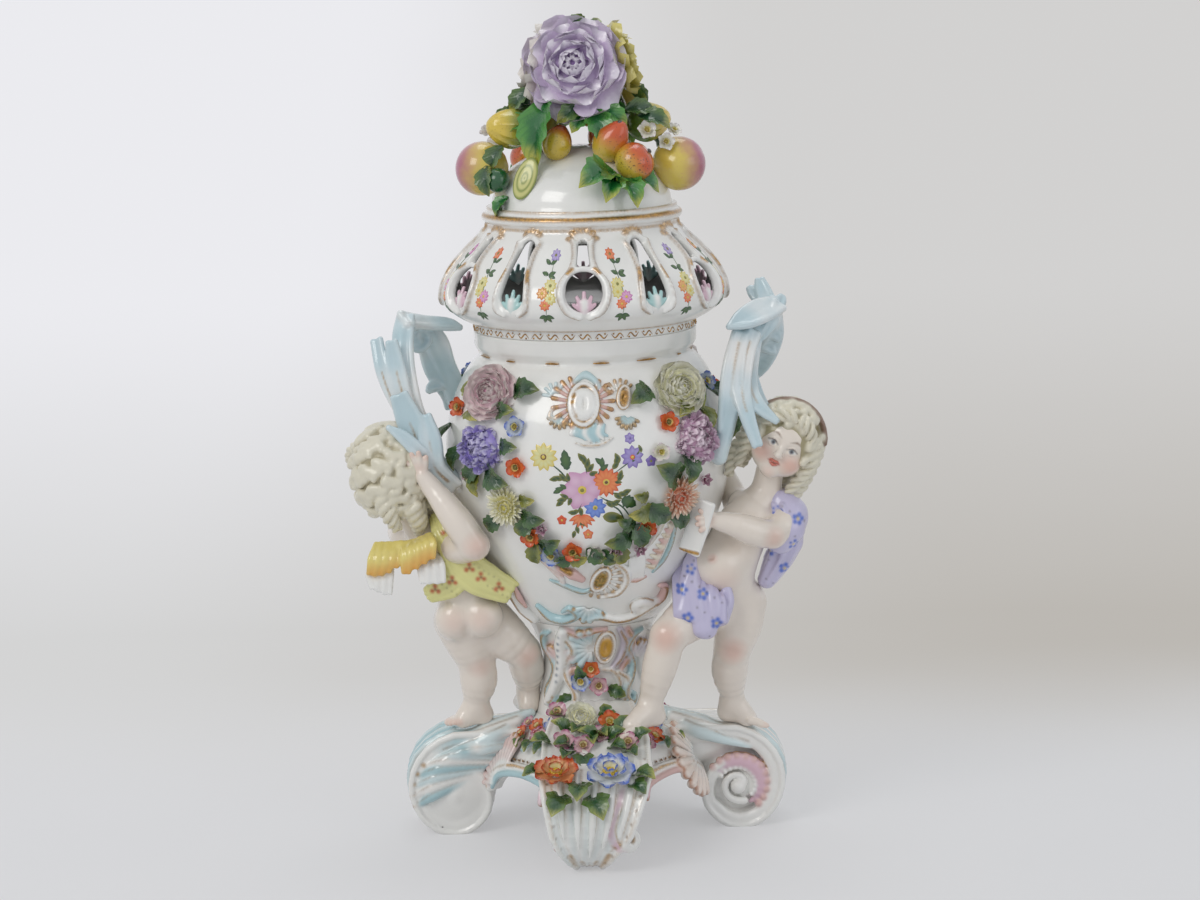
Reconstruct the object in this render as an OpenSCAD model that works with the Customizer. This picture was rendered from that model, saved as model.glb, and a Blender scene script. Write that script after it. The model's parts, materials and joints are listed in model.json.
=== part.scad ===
// Potpourri vase: a pierced cover on an ovoid body, raised on a scrolled base and carried by two putti.
// Millimetres, +Z up, origin on the vase axis at the level the feet stand on, front towards -Y.

/* [Base] */
// Height of the scroll feet at their shoulder, where the figures stand
foot_h = 66; // [58:1:72]
// Distance from the axis to the middle of a foot's volute
foot_reach = 91; // [84:1:100]
// Width of a foot across its scroll
foot_w = 44; // [32:1:52]
// Radius of the volute at the end of a foot
volute_r = 27; // [22:0.5:30]
// Depth of the flat ground under each volute
foot_flat = 0.8; // [0.4:0.1:1.5]
// Radius of the plinth at its lower rim
plinth_r = 72; // [64:1:78]
// Height of the plinth's lower rim above the ground
plinth_gap = 30; // [24:1:36]
// Height of the joint between plinth and pedestal
plinth_top = 76; // [72:1:82]
// Radius of the joint between plinth and pedestal
plinth_top_r = 38; // [35:0.5:42]
// Narrowest radius of the pedestal
waist_r = 33; // [28:0.5:36]
// Height of the pedestal, from plinth to body
pedestal_h = 64; // [56:1:72]
// Wall of the plinth and the pedestal
base_wall = 7; // [5:0.5:9]

/* [Body] */
// Radius of the body's foot on the pedestal
body_foot_r = 44; // [40:0.5:48]
// Largest radius of the body
belly_r = 90.5; // [84:0.5:96]
// Height of the largest radius above the body's foot
belly_h = 110; // [100:1:120]
// Height of the shoulder, from the largest radius to the groove under the neck
shoulder_h = 59; // [52:1:66]
// Outside radius of the neck
neck_r = 70.3; // [69:0.25:73]
// Depth of the groove under the neck, in from the neck
groove_step = 3.3; // [1.5:0.1:5]
// Height of the neck above the groove
neck_h = 16; // [14:0.5:20]
// Wall of the body
body_wall = 4; // [3:0.25:5.5]
// Wall of the neck beside the cover
neck_wall = 2.8; // [2.2:0.1:3.4]

/* [Cover] */
// Depth of the cover's seat below the rim
seat_depth = 8; // [6:0.5:10]
// Width of the ledge that carries the cover
seat_w = 6; // [4.5:0.25:7]
// Running gap between the cover's foot ring and the neck
cover_gap = 0.6; // [0.4:0.1:1]
// Height of the foot ring's gilt band that shows above the rim
band_h = 5; // [4:0.5:8]
// Largest radius of the cover
cover_r = 90; // [86:0.5:94]
// Height of the cover's bulge, from its band to the largest radius
bulge_h = 17; // [14:0.5:20]
// Height of the pierced flank above the largest radius
flank_h = 43; // [38:1:48]
// Radius of the gilt ring above the flank
ring_r = 60; // [57:0.5:63]
// Height of the gilt ring
ring_h = 13; // [10:0.5:16]
// Radius of the dome above the ring
dome_r = 56.5; // [52:0.5:58]
// Height of the dome
dome_h = 37; // [32:1:42]
// Wall of the cover
cover_wall = 4; // [3:0.25:5]
// Pierced windows round the flank, round and long in turn
windows = 12; // [8:2:14]
// Radius of the round part of a window
window_r = 11.5; // [9:0.5:13]
// Width of a long window
slot_w = 13; // [9:0.5:15]
// Length of a long window
slot_l = 34; // [26:1:38]

/* [Applied flowers] */
// Thickness of the slip that lutes an applied piece to what carries it
lute = 0.2; // [0.1:0.05:0.4]
// Thickness of a leaf
leaf_t = 1.6; // [1.2:0.1:2.2]
// Radius of the large roses on the garland
rose_r = 16.5; // [14:0.5:18]
// Radius of the carnations on the garland
carnation_r = 14.5; // [12:0.5:16]
// Radius of the asters on the garland
aster_r = 13; // [11:0.5:14]
// Radius of the small five-petalled flowers
floret_r = 7; // [5.5:0.25:7.5]
// Radius of the buds
bud_r = 4.5; // [3.5:0.25:5]
// Radius of the two large flowers on the base
base_bloom_r = 14; // [12:0.5:15]

/* [Finial] */
// Height of the arched branch above the top of the dome
branch_h = 28; // [24:1:34]
// Thickness of the branch
branch_r = 6.5; // [5:0.25:8]
// Radius of the ball that the finial's flowers are pressed into
core_r = 15; // [13:0.5:18]
// Radius of the large rose of the finial
finial_rose_r = 30; // [26:0.5:33]
// Radius of the side flowers of the finial
finial_side_r = 21; // [18:0.5:23]
// Radius of the peaches
peach_r = 17; // [14:0.5:18]
// Radius of the apples
apple_r = 11.5; // [9:0.5:12.5]

/* [Figures and handles] */
// Radius of a putto's head
head_r = 24; // [22:0.5:26]
// Thickness of the locks of hair
lock_r = 10; // [8:0.5:12]
// Radius of a putto's belly
belly_round = 23; // [21:0.5:25]
// Radius of a thigh
thigh_r = 15; // [13:0.5:16]
// Radius of a wrist or an ankle
wrist_r = 7; // [6:0.25:8]
// Radius of a handle's strands
strand_r = 7; // [6:0.25:8.5]
// Rise of the handles above the neck's groove
handle_rise = 30; // [24:1:36]

/* [Hidden] */
// Radius of the groove under the neck
groove_r = neck_r - groove_step;

// Facets of a full turn on lathe forms, and on the rounded limbs of the figures
turn_fn = 96;
limb_fn = 10;
// Facets of a lock of hair
lock_fn = 8;
// Facets of the fruit
fruit_fn = 40;
// Steps along a curved outline
curve_steps = 14;

// Heights of the joints, from the ground up
body_z = plinth_top + pedestal_h;
belly_z = body_z + belly_h;
groove_z = belly_z + shoulder_h;
rim_z = groove_z + neck_h;
seat_z = rim_z - seat_depth;
band_z = rim_z + band_h;
widest_z = band_z + bulge_h;
ring_z = widest_z + flank_h;
dome_z = ring_z + ring_h;
top_z = dome_z + dome_h;
mouth_r = neck_r - neck_wall - seat_w;
band_r = neck_r - neck_wall - cover_gap;
// How full the two halves of the body, the cover's bulge and its flank are
lower_fullness = 0.85;
upper_fullness = 0.7;
bulge_fullness = 0.8;
flank_fullness = 1.2;

// Outside radius of the body at a height
function body_r(z) = z < belly_z
    ? body_foot_r + (belly_r - body_foot_r) * pow(sin(90 * max(0, z - body_z) / belly_h), lower_fullness)
    : groove_r + (belly_r - groove_r) * pow(max(0, cos(90 * min(1, (z - belly_z) / shoulder_h))), upper_fullness);

// Outside radius of the cover's lower bulge, pierced flank and dome at a height
bulge_foot_r = neck_r;
function bulge_r(z) = bulge_foot_r
    + (cover_r - bulge_foot_r) * pow(sin(90 * (z - band_z) / bulge_h), bulge_fullness);
function flank_r(z) = ring_r + (cover_r - ring_r) * pow(max(0, cos(90 * (z - widest_z) / flank_h)), flank_fullness);
function dome_curve_r(z) = dome_r * sqrt(max(0, 1 - pow((z - dome_z) / dome_h, 2)));
function dome_inner_r(z) = (dome_r - cover_wall) * sqrt(max(0, 1 - pow((z - dome_z) / (dome_h - cover_wall), 2)));
function cover_r_at(z) = z > dome_z ? dome_curve_r(z) : z > ring_z ? ring_r : flank_r(z);

// Outside radius of the plinth and of the pedestal at a height
shoulder_power = 1.6;
function plinth_r_at(z) = plinth_top_r
    + (plinth_r - plinth_top_r) * (1 - pow(max(0, (z - plinth_gap) / (plinth_top - plinth_gap)), shoulder_power));
function pedestal_r_at(z) = let (t = (z - plinth_top) / pedestal_h, end = t < 0.5 ? plinth_top_r : body_foot_r)
    waist_r + (end - waist_r) * pow(abs(2 * t - 1), 2);

// Heights spread evenly over a stretch, and the outline they give on a radius function
function spread(a, b, n) = [for (i = [0:n]) a + (b - a) * i / n];

// Puts a flat-backed piece on the body, its back towards the wall; turn spins it about the wall's normal
slope_step = 0.5;
module on_body(angle, z, turn = 0, lift = lute) {
    r = body_r(z);
    lean = atan2(body_r(z - slope_step) - body_r(z + slope_step), 2 * slope_step);
    rotate([0, 0, angle]) translate([r, 0, z]) rotate([0, 90 - lean, 0]) rotate([0, 0, turn])
        translate([0, 0, lift]) children();
}
module on_cover(angle, z, turn = 0, lift = lute) {
    r = cover_r_at(z);
    lean = atan2(cover_r_at(z - slope_step) - cover_r_at(z + slope_step), 2 * slope_step);
    rotate([0, 0, angle]) translate([r, 0, z]) rotate([0, 90 - lean, 0]) rotate([0, 0, turn])
        translate([0, 0, lift]) children();
}
module on_plinth(angle, z, turn = 0, lift = lute) {
    r = plinth_r_at(z);
    lean = atan2(plinth_r_at(z - slope_step) - plinth_r_at(z + slope_step), 2 * slope_step);
    rotate([0, 0, angle]) translate([r, 0, z]) rotate([0, 90 - lean, 0]) rotate([0, 0, turn])
        translate([0, 0, lift]) children();
}
module front_and_back() {
    children();
    rotate([0, 0, 180]) children();
}

// A lobed petal outline, and a bloom as rings of petals that shrink towards the heart
module petal_outline(r, lobes) {
    wave = 0.1;
    points_per_lobe = 4;
    polygon([for (i = [0:lobes * points_per_lobe - 1])
        let (a = 360 * i / (lobes * points_per_lobe), k = r * (1 - wave + wave * cos(lobes * a)))
        [k * cos(a), k * sin(a)]]);
}
module bloom(r, h, rings, lobes) {
    shrink = 0.75 / rings;
    bite = 0.3;
    for (i = [0:rings - 1]) let (sink = i > 0 ? bite : 0)
        translate([0, 0, h * i / rings - sink]) rotate([0, 0, 180 / lobes * i])
            linear_extrude(h / rings + sink) petal_outline(r * (1 - shrink * i), lobes);
}
module rose(r) bloom(r, r * 0.75, 3, 6);
module carnation(r) bloom(r, r * 0.8, 3, 9);
module aster(r) bloom(r, r * 0.55, 2, 12);
module floret(r) bloom(r, r * 0.6, 2, 5);
module bud(r) rotate_extrude($fn = turn_fn)
    polygon(concat([[0, 0]], [for (i = [0:curve_steps]) let (a = 180 * i / curve_steps)
        [r * pow(sin(a), 0.8) + 0.001, r * 1.1 * (1 - cos(a))]], [[0, 2.2 * r]]));
module leaf(l, w, t = leaf_t) {
    steps = 7;
    half = [for (i = [1:steps - 1]) let (s = i / steps) [l * s, w / 2 * pow(sin(180 * s), 0.8)]];
    linear_extrude(t) polygon(concat([[0, 0]], half, [[l, 0]],
        [for (i = [len(half) - 1:-1:0]) [half[i][0], -half[i][1]]]));
}

// A rounded chain of spheres: limbs, strands and branches
module limb(path, r) for (i = [0:len(path) - 2]) hull() {
    translate(path[i]) sphere(r[i], $fn = limb_fn);
    translate(path[i + 1]) sphere(r[i + 1], $fn = limb_fn);
}
// A single faceted ball
module lump(at, r, fn = limb_fn) hull() translate(at) sphere(r, $fn = fn);

// Base

// Solid envelope of the plinth and pedestal, grown by the slip; the pieces on it are trimmed to this
module base_envelope(grow) rotate_extrude($fn = turn_fn)
    polygon(concat([[0, plinth_gap - grow]],
        [for (z = spread(plinth_gap, plinth_top, curve_steps)) [plinth_r_at(z) + grow, z - (z == plinth_gap ? grow : 0)]],
        [for (z = spread(plinth_top, body_z, curve_steps)) [pedestal_r_at(z) + grow, z + 0.001]],
        [[0, body_z]]));

module base_plinth() color("white") rotate_extrude($fn = turn_fn)
    polygon(concat([for (z = spread(plinth_gap, plinth_top, curve_steps)) [plinth_r_at(z), z]],
        [for (z = spread(plinth_top, plinth_gap, curve_steps)) [plinth_r_at(z) - base_wall, z]]));

module pedestal() color("white") rotate_extrude($fn = turn_fn)
    polygon(concat([for (z = spread(plinth_top, body_z, curve_steps)) [pedestal_r_at(z), z]],
        [for (z = spread(body_z, plinth_top, curve_steps)) [pedestal_r_at(z) - base_wall, z]]));

// Side outline of a foot: an arm out of the plinth that rolls over into a volute
arch_h = 34;
arm_start = plinth_top_r;
function volute_sweep(a) = volute_r + (foot_h - 2 * volute_r + foot_flat) * pow(max(0, min(1, (a + 30) / 120)), 1.5);
mound_rise = 20;
mound_start = arm_start - 6;
function arm_climb(angle) = abs(angle) == 90 ? mound_rise : arm_rise;
module foot_outline(rise) {
    centre_z = volute_r - foot_flat;
    roll = [for (a = [-90:10:90]) let (k = volute_sweep(a))
        [foot_reach + k * cos(a), max(0, centre_z + k * sin(a))]];
    inner = [for (a = [150:15:260]) [foot_reach + volute_r * cos(a), max(0, centre_z + volute_r * sin(a))]];
    polygon(concat([[mound_start, arch_h], [foot_reach - volute_r, arch_h + 4]], inner, roll,
        [[arm_start, foot_h + rise], [mound_start, foot_h + rise]]));
}
module foot_blank(angle) rotate([0, 0, angle]) rotate([90, 0, 0])
    linear_extrude(foot_w, center = true) foot_outline(arm_climb(angle));
// Sunk ring between the volute's band and its eye, on both sides of the foot
ring_band = 6;
ring_eye = 8;
ring_depth = 4;
module volute_rings(angle) rotate([0, 0, angle]) translate([foot_reach, 0, volute_r - foot_flat]) rotate([90, 0, 0])
    for (s = [0, 1]) mirror([0, 0, s]) translate([0, 0, foot_w / 2 - ring_depth]) difference() {
        cylinder(r = volute_r - ring_band, h = 2 * ring_depth, $fn = fruit_fn);
        translate([0, 0, -ring_depth]) cylinder(r = ring_eye, h = 4 * ring_depth, $fn = fruit_fn);
    }
module foot(angle) color("white") difference() {
    foot_blank(angle);
    base_envelope(lute);
    volute_rings(angle);
}
foot_angles = [-90, 0, 90, 180];
module all_feet() for (a = foot_angles) foot_blank(a);

// Fluted shells on the plinth's rim between the feet
shell_r = 17;
shell_h = 6;
shell_z = 40;
module base_shells() color("pink") for (i = [0:3]) on_plinth(45 + 90 * i, shell_z)
    bloom(shell_r, shell_h, 2, 9);

// C-scrolls on the pedestal below the body
scroll_r = 11;
scroll_t = 5.5;
scroll_z = body_z - 26;
module pedestal_scrolls_solid(grow = 0) for (i = [0:3])
    rotate([0, 0, 45 + 90 * i]) translate([pedestal_r_at(scroll_z) + lute, 0, scroll_z]) rotate([90, 0, 90])
        difference() {
            cylinder(r = scroll_r + grow, h = scroll_t + grow, $fn = fruit_fn);
            translate([0, 0, -scroll_t]) cylinder(r = scroll_r - scroll_t - grow, h = 3 * scroll_t, $fn = fruit_fn);
        }
module pedestal_scrolls() color("lightcyan") difference() {
    pedestal_scrolls_solid();
    base_envelope(lute);
}

// Puts a flat-backed piece on the rolled shoulder of a foot; roll runs from the toe to the top of the volute
function foot_point(roll) = let (k = volute_sweep(roll))
    [foot_reach + k * cos(roll), volute_r - foot_flat + k * sin(roll)];
module on_foot(angle, roll, side, turn = 0) {
    at = foot_point(roll);
    run = foot_point(roll + slope_step) - foot_point(roll - slope_step);
    rotate([0, 0, angle]) translate([at[0], side, at[1]]) rotate([0, atan2(run[1], -run[0]), 0])
        rotate([0, 0, turn]) translate([0, 0, lute]) children();
}

// Puts a flat-backed piece on the arm of a foot, between its shoulder and the plinth
arm_rise = 2;
module on_arm(angle, reach, side, turn = 0) {
    run = foot_reach - arm_start;
    climb = arm_climb(angle);
    rotate([0, 0, angle]) translate([reach, side, foot_h + climb * (foot_reach - reach) / run])
        rotate([0, atan2(climb, run), 0]) rotate([0, 0, turn]) translate([0, 0, lute]) children();
}

// Flowers strewn over the front and back of the base: on a foot's shoulder as roll and side, on its arm as
// reach and side, on the plinth as angle from the front and height
front = -90;
bloom_red_at = [66, -17];
bloom_blue_at = [66, 12];
base_rose_at = [70, -7];
base_rose_r = 8.5;
base_pinks = [[-45, 68]];
base_blues = [[45, 68]];
arm_reds = [[52, 3], [84, -18]];
base_leaf_at = [[-45, 62, 14, -20], [45, 62, 14, 20]];
shoulder_leaf_at = [[34, -6, 20, 12], [30, 8, 20, -14]];
arm_leaf_at = [[62, -12, 12, 200], [76, 4, 12, 30]];
module base_spread(list) front_and_back() for (p = list) on_plinth(front + p[0], p[1]) children();
module shoulder_spread(list) front_and_back() for (p = list) on_foot(front, p[0], p[1]) children();
module arm_spread(list) front_and_back() for (p = list) on_arm(front, p[0], p[1]) children();
module keep_out(r) translate([0, 0, -leaf_t]) cylinder(r = r + lute, h = base_bloom_r, $fn = turn_fn);
module base_keep_out() {
    shoulder_spread([bloom_red_at, bloom_blue_at]) keep_out(base_bloom_r);
    arm_spread([base_rose_at]) keep_out(base_rose_r);
    arm_spread(arm_reds) keep_out(floret_r);
    base_spread(concat(base_pinks, base_blues)) keep_out(floret_r);
    for (i = [0:3]) on_plinth(45 + 90 * i, shell_z) keep_out(shell_r);
}
module base_bloom() bloom(base_bloom_r, base_bloom_r * 0.6, 3, 8);
module base_bloom_red() color("orangered") shoulder_spread([bloom_red_at]) base_bloom();
module base_bloom_blue() color("royalblue") shoulder_spread([bloom_blue_at]) base_bloom();
module base_rose_cream() color("lemonchiffon") arm_spread([base_rose_at]) rose(base_rose_r);
module base_florets_red() color("tomato") arm_spread(arm_reds) floret(floret_r);
module base_florets_pink() color("plum") base_spread(base_pinks) floret(floret_r);
module base_florets_blue() color("cornflowerblue") base_spread(base_blues) floret(floret_r);
module base_leaves() color("olivedrab") difference() {
    front_and_back() {
        for (p = base_leaf_at) on_plinth(front + p[0], p[1], p[3]) leaf(p[2], p[2] * 0.6);
        for (p = shoulder_leaf_at) on_foot(front, p[0], p[1], p[3]) leaf(p[2], p[2] * 0.6);
        for (p = arm_leaf_at) on_arm(front, p[0], p[1], p[3]) leaf(p[2], p[2] * 0.6);
    }
    base_keep_out();
    all_feet();
    base_envelope(lute);
}

// Body

module vase_body() color("white") rotate_extrude($fn = turn_fn)
    polygon(concat(
        [[0, body_z]],
        [for (z = spread(body_z, belly_z, curve_steps)) [body_r(z), z]],
        [for (z = spread(belly_z, groove_z, curve_steps)) if (z > belly_z) [body_r(z), z]],
        [[neck_r, groove_z + neck_h * 0.4], [neck_r, rim_z]],
        [[neck_r - neck_wall, rim_z], [neck_r - neck_wall, seat_z], [mouth_r, seat_z], [mouth_r, groove_z]],
        [for (z = spread(groove_z, belly_z, curve_steps)) if (z < groove_z) [min(body_r(z) - body_wall, belly_r), z]],
        [for (z = spread(belly_z, body_z + body_wall, curve_steps)) if (z < belly_z) [body_r(z) - body_wall, z]],
        [[0, body_z + body_wall]]));

// Rocaille cartouches: an oval boss within a C-scroll, above and below the painted panel
cartouche_upper_z = groove_z - 14;
cartouche_lower_z = body_z + 36;
cartouche_w = 15;
cartouche_t = 4;
module cartouche(r) {
    bloom(r, cartouche_t, 2, 8);
    for (s = [-1, 1]) translate([0, s * r * 1.35, 0]) linear_extrude(cartouche_t * 0.8) petal_outline(r * 0.5, 5);
}
module cartouches_upper() color("mistyrose") front_and_back() on_body(front, cartouche_upper_z) cartouche(cartouche_w);
module cartouches_lower() color("mistyrose") front_and_back() on_body(front, cartouche_lower_z) cartouche(cartouche_w * 0.8);

// Garland in a U round the panel: angle from the front, height above the body's foot
roses_left = [[-46, 152]];
roses_right = [[44, 152]];
carnations_left = [[-46, 119]];
carnations_right = [[47, 122]];
asters_left = [[-35, 85]];
asters_right = [[38, 87]];
reds = [[-68, 140], [-29, 110], [-26, 66], [-8, 57], [34, 134], [24, 70]];
blues = [[-30, 134], [66, 152], [-18, 54]];
whites = [[29, 117], [2, 55]];
buds = [[-55, 102], [52, 95], [11, 57], [22, 56], [-20, 72]];
leaf_places = [
    [-58, 124, 12, -80], [-30, 121, 20, 120], [-46, 100, 22, -100], [-28, 96, 20, 60], [-20, 80, 20, 60],
    [-34, 146, 18, 90], [-58, 150, 14, -120], [-12, 68, 16, 90], [56, 138, 16, 100], [56, 150, 12, 120],
    [34, 100, 26, -90], [28, 78, 20, -70], [8, 64, 16, -90], [30, 152, 18, -90]
];
module garland(list) front_and_back() for (p = list) on_body(front + p[0], body_z + p[1]) children();
module garland_keep_out() {
    depth = rose_r;
    garland(concat(roses_left, roses_right)) translate([0, 0, -lute]) cylinder(r = rose_r + lute, h = depth, $fn = turn_fn);
    garland(concat(carnations_left, carnations_right))
        translate([0, 0, -lute]) cylinder(r = carnation_r + lute, h = depth, $fn = turn_fn);
    garland(concat(asters_left, asters_right))
        translate([0, 0, -lute]) cylinder(r = aster_r + lute, h = depth, $fn = turn_fn);
    garland(concat(reds, blues, whites))
        translate([0, 0, -lute]) cylinder(r = floret_r + lute, h = depth, $fn = turn_fn);
    garland(buds) translate([0, 0, -lute]) cylinder(r = bud_r + lute, h = depth, $fn = turn_fn);
}
module garland_leaves() color("forestgreen") difference() {
    front_and_back() for (p = leaf_places)
        on_body(front + p[0], body_z + p[1], p[3]) leaf(p[2], p[2] * 0.55);
    garland_keep_out();
}
module roses(list, tint) color(tint) garland(list) rose(rose_r);
module carnations(list, tint) color(tint) garland(list) carnation(carnation_r);
module asters(list, tint) color(tint) garland(list) aster(aster_r);
module florets(list, tint) color(tint) garland(list) floret(floret_r);
module buds_pink() color("palevioletred") garland(buds) bud(bud_r);

// Solid envelope of the body, grown by the slip
module body_envelope(grow) rotate_extrude($fn = turn_fn)
    polygon(concat([[0, body_z - grow]],
        [for (z = spread(body_z, belly_z, curve_steps)) [body_r(z) + grow, z - (z == body_z ? grow : 0)]],
        [for (z = spread(belly_z, groove_z, curve_steps)) if (z > belly_z) [body_r(z) + grow, z]],
        [[neck_r + grow, groove_z + neck_h * 0.4], [neck_r + grow, rim_z], [0, rim_z]]));

// Scroll handles: a front strand that rises from the body's side and a back strand to its shoulder
function skin(angle, z, out = 0) = [(body_r(z) + out) * cos(angle), (body_r(z) + out) * sin(angle), z];
handle_top_z = groove_z + handle_rise;
handle_low_z = belly_z - 14;
handle_back_z = belly_z + 30;
handle_out = 33;
handle_paths = [
    [skin(-157, handle_low_z, 4), skin(-160, belly_z + 12, 24), skin(-166, groove_z - 6, handle_out + 16),
     skin(-172, groove_z + 20, 52), [-112, -10, handle_top_z], [-103, 0, handle_top_z - 8],
     skin(170, groove_z - 8, 20), skin(166, handle_back_z, 0)],
    [skin(-32, belly_z - 2, 6), skin(-26, belly_z + 24, 14), skin(-17, groove_z - 14, 24),
     skin(-12, groove_z + 12, 38), [112, -4, handle_top_z], [122, 8, handle_top_z - 14],
     skin(16, groove_z - 12, 44), skin(18, belly_z + 12, 0)]
];
handle_taper = [[1, 1.1, 1.2, 1.15, 1.1, 1.1, 1.45, 1.6], [1, 1.1, 1.2, 1.15, 1.1, 1, 1.1, 1.2]];
// Leaves of each handle: points as azimuth, height above the belly and distance off the wall, then their sizes
handle_leaves = [
    [[[[-155, -5, 14], [-155, 12, 18], [-157, 26, 24]], [1.1, 1.1, 0.8]],
     [[[-155, 5, 24], [-157, 15, 34], [-160, 21, 44]], [0.8, 0.75, 0.4]],
     [[[-157, 4, 20], [-159, 23, 30], [-161, 41, 43]], [1.2, 1.3, 0.9]],
     [[[-160, 30, 33], [-164, 54, 49], [-166, 73, 57]], [1.1, 1.1, 0.85]],
     [[[-162, 29, 37], [-166, 54, 56], [-169, 73, 64]], [0.9, 1, 0.8]],
     [[[-173, 82, 47], [180, 79, 34], [175, 77, 20], [173, 75, 14]], [1, 1, 0.8, 0.45]]],
    [[[[-30, 13, 7], [-26, 35, 15], [-24, 52, 24], [-20, 69, 33]], [0.8, 1, 1, 0.9]],
     [[[-27, 5, 27], [-27, 24, 24], [-24, 39, 23], [-19, 59, 37]], [0.6, 0.9, 1, 1]],
     [[[-22, 19, 38], [-22, 30, 27], [-19, 42, 26], [-14, 58, 37]], [0.45, 0.8, 0.9, 0.9]],
     [[[-4, 87, 55], [-11, 83, 44], [-19, 79, 36], [-24, 78, 31]], [1.1, 1.3, 1, 0.4]],
     [[[-1, 89, 50], [2, 97, 46], [3, 101, 45]], [1, 0.9, 0.45]],
     [[[-3, 82, 54], [1, 90, 58]], [0.9, 0.45]]]
];
function leaf_point(p) = skin(p[0], belly_z + p[1], p[2]);
module handle_solid(side) {
    limb(handle_paths[side], [for (k = handle_taper[side]) strand_r * k]);
    for (blade = handle_leaves[side]) limb([for (p = blade[0]) leaf_point(p)], [for (k = blade[1]) strand_r * k]);
}
module handle(side) color("lightblue") difference() {
    handle_solid(side);
    body_envelope(lute);
}

// What a figure may touch: body, base and the handle beside it
module surroundings(side) {
    body_envelope(lute);
    base_envelope(lute);
    all_feet();
    pedestal_scrolls_solid(lute);
    handle_solid(side);
}

// Girl on the right, facing the front; heights are taken from the feet that she stands on
girl_hip = [86, -24, foot_h + 84];
girl_belly = [85, -31, foot_h + 106];
girl_chest = [97, -30, foot_h + 134];
girl_shoulder_out = [121, -27, foot_h + 143];
girl_shoulder_in = [98, -22, foot_h + 144];
girl_neck = [111, -27, foot_h + 153];
girl_head_at = [124.25, -30, foot_h + 185];
girl_knee_back = [88, -26, foot_h + 53];
girl_ankle_back = [88, -16, foot_h + 18];
girl_toe_back = [108, -20, foot_h + 4];
girl_knee_front = [47, -56, foot_h + 70];
girl_ankle_front = [36, -52, foot_h + 32];
girl_toe_front = [18, -63, foot_h + 15];
girl_elbow = [114, -47, foot_h + 131];
girl_hand = [79, -60, foot_h + 143];
girl_far_elbow = [94, 4, foot_h + 142];
girl_far_hand = [88, 15, foot_h + 160];
module girl_torso_solid() {
    limb([girl_hip, girl_belly, girl_chest, girl_neck], [belly_round, belly_round, belly_round * 0.9, 11]);
    limb([girl_shoulder_in, girl_shoulder_out], [12, 12]);
    limb([girl_hip + [-12, -2, -2], girl_hip + [10, 0, -4]], [thigh_r + 4, thigh_r + 4]);
}
module girl_head_solid() {
    lump(girl_head_at, head_r);
    limb([girl_neck, girl_head_at + [-6, -10, -13]], [9, 11]);
}
module girl_hair_solid() {
    for (i = [0:7]) lump(girl_head_at + [(head_r - 2) * sin(45 * i), 8, 8 + (head_r - 2) * cos(45 * i)], lock_r, lock_fn);
    for (i = [0:2]) lump(girl_head_at + [22 * sin(60 * i - 60), -8, 16 + 10 * cos(60 * i - 60)], lock_r, lock_fn);
    limb([girl_head_at + [24, 0, 0], girl_head_at + [22, 2, -22], girl_head_at + [20, 2, -34]], [lock_r, 9, 6]);
    limb([girl_head_at + [-22, 6, -4], girl_head_at + [-22, 8, -22]], [lock_r, 9]);
    lump(girl_head_at + [0, 10, 8], head_r);
}
module girl_arm_front_solid() {
    limb([girl_shoulder_out, girl_elbow, girl_hand], [10.5, 12, wrist_r]);
    limb([girl_hand, girl_hand + [-5, -2, 6]], [wrist_r + 1, 5]);
}
module girl_arm_back_solid() limb([girl_shoulder_in, girl_far_elbow, girl_far_hand], [10.5, 10, wrist_r]);
module girl_leg_back_solid() {
    limb([girl_hip + [10, 0, -4], girl_knee_back, girl_ankle_back], [thigh_r + 3, thigh_r - 1, wrist_r + 2]);
    limb([girl_ankle_back + [-3, 2, -4], girl_toe_back], [wrist_r + 1, 6]);
}
module girl_leg_front_solid() {
    limb([girl_hip + [-12, -2, -2], girl_knee_front, girl_ankle_front], [thigh_r + 3, thigh_r - 1, wrist_r + 2]);
    limb([girl_ankle_front + [3, 2, -4], girl_toe_front], [wrist_r + 1, 6]);
}
module girl_body_solid() {
    girl_torso_solid();
    girl_leg_front_solid();
    girl_leg_back_solid();
}
module girl_drapery_solid() {
    limb([girl_hip + [-24, -8, 18], girl_hip + [-14, -18, -2], girl_hip + [-2, -20, -16]], [12, 15, 9]);
    limb([girl_shoulder_out + [2, -4, 0], girl_elbow + [8, 8, 6], girl_hip + [24, 8, 14]], [14, 14, 8]);
}
tablet_size = [5, 17, 30];
tablet_tilt = 25;
module girl_tablet_solid() translate(girl_hand + [-7, 3, -3]) rotate([0, tablet_tilt, 20]) cube(tablet_size, center = true);

module girl_torso() color("antiquewhite") difference() { girl_torso_solid(); surroundings(1); }
module girl_head() color("antiquewhite") difference() { girl_head_solid(); girl_torso_solid(); surroundings(1); }
module girl_hair() color("tan") difference() {
    girl_hair_solid();
    girl_head_solid();
    girl_torso_solid();
    surroundings(1);
}
module girl_arm_front() color("antiquewhite") difference() {
    girl_arm_front_solid();
    girl_torso_solid();
    girl_head_solid();
    girl_hair_solid();
    surroundings(1);
}
module girl_arm_back() color("antiquewhite") difference() {
    girl_arm_back_solid();
    girl_torso_solid();
    girl_head_solid();
    girl_hair_solid();
    surroundings(1);
}
module girl_leg_back() color("antiquewhite") difference() {
    girl_leg_back_solid();
    girl_torso_solid();
    surroundings(1);
}
module girl_leg_front() color("antiquewhite") difference() {
    girl_leg_front_solid();
    girl_leg_back_solid();
    girl_torso_solid();
    surroundings(1);
}
module girl_drapery() color("lavender") difference() {
    girl_drapery_solid();
    girl_body_solid();
    girl_head_solid();
    girl_arm_front_solid();
    girl_arm_back_solid();
    girl_hair_solid();
    surroundings(1);
}
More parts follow.
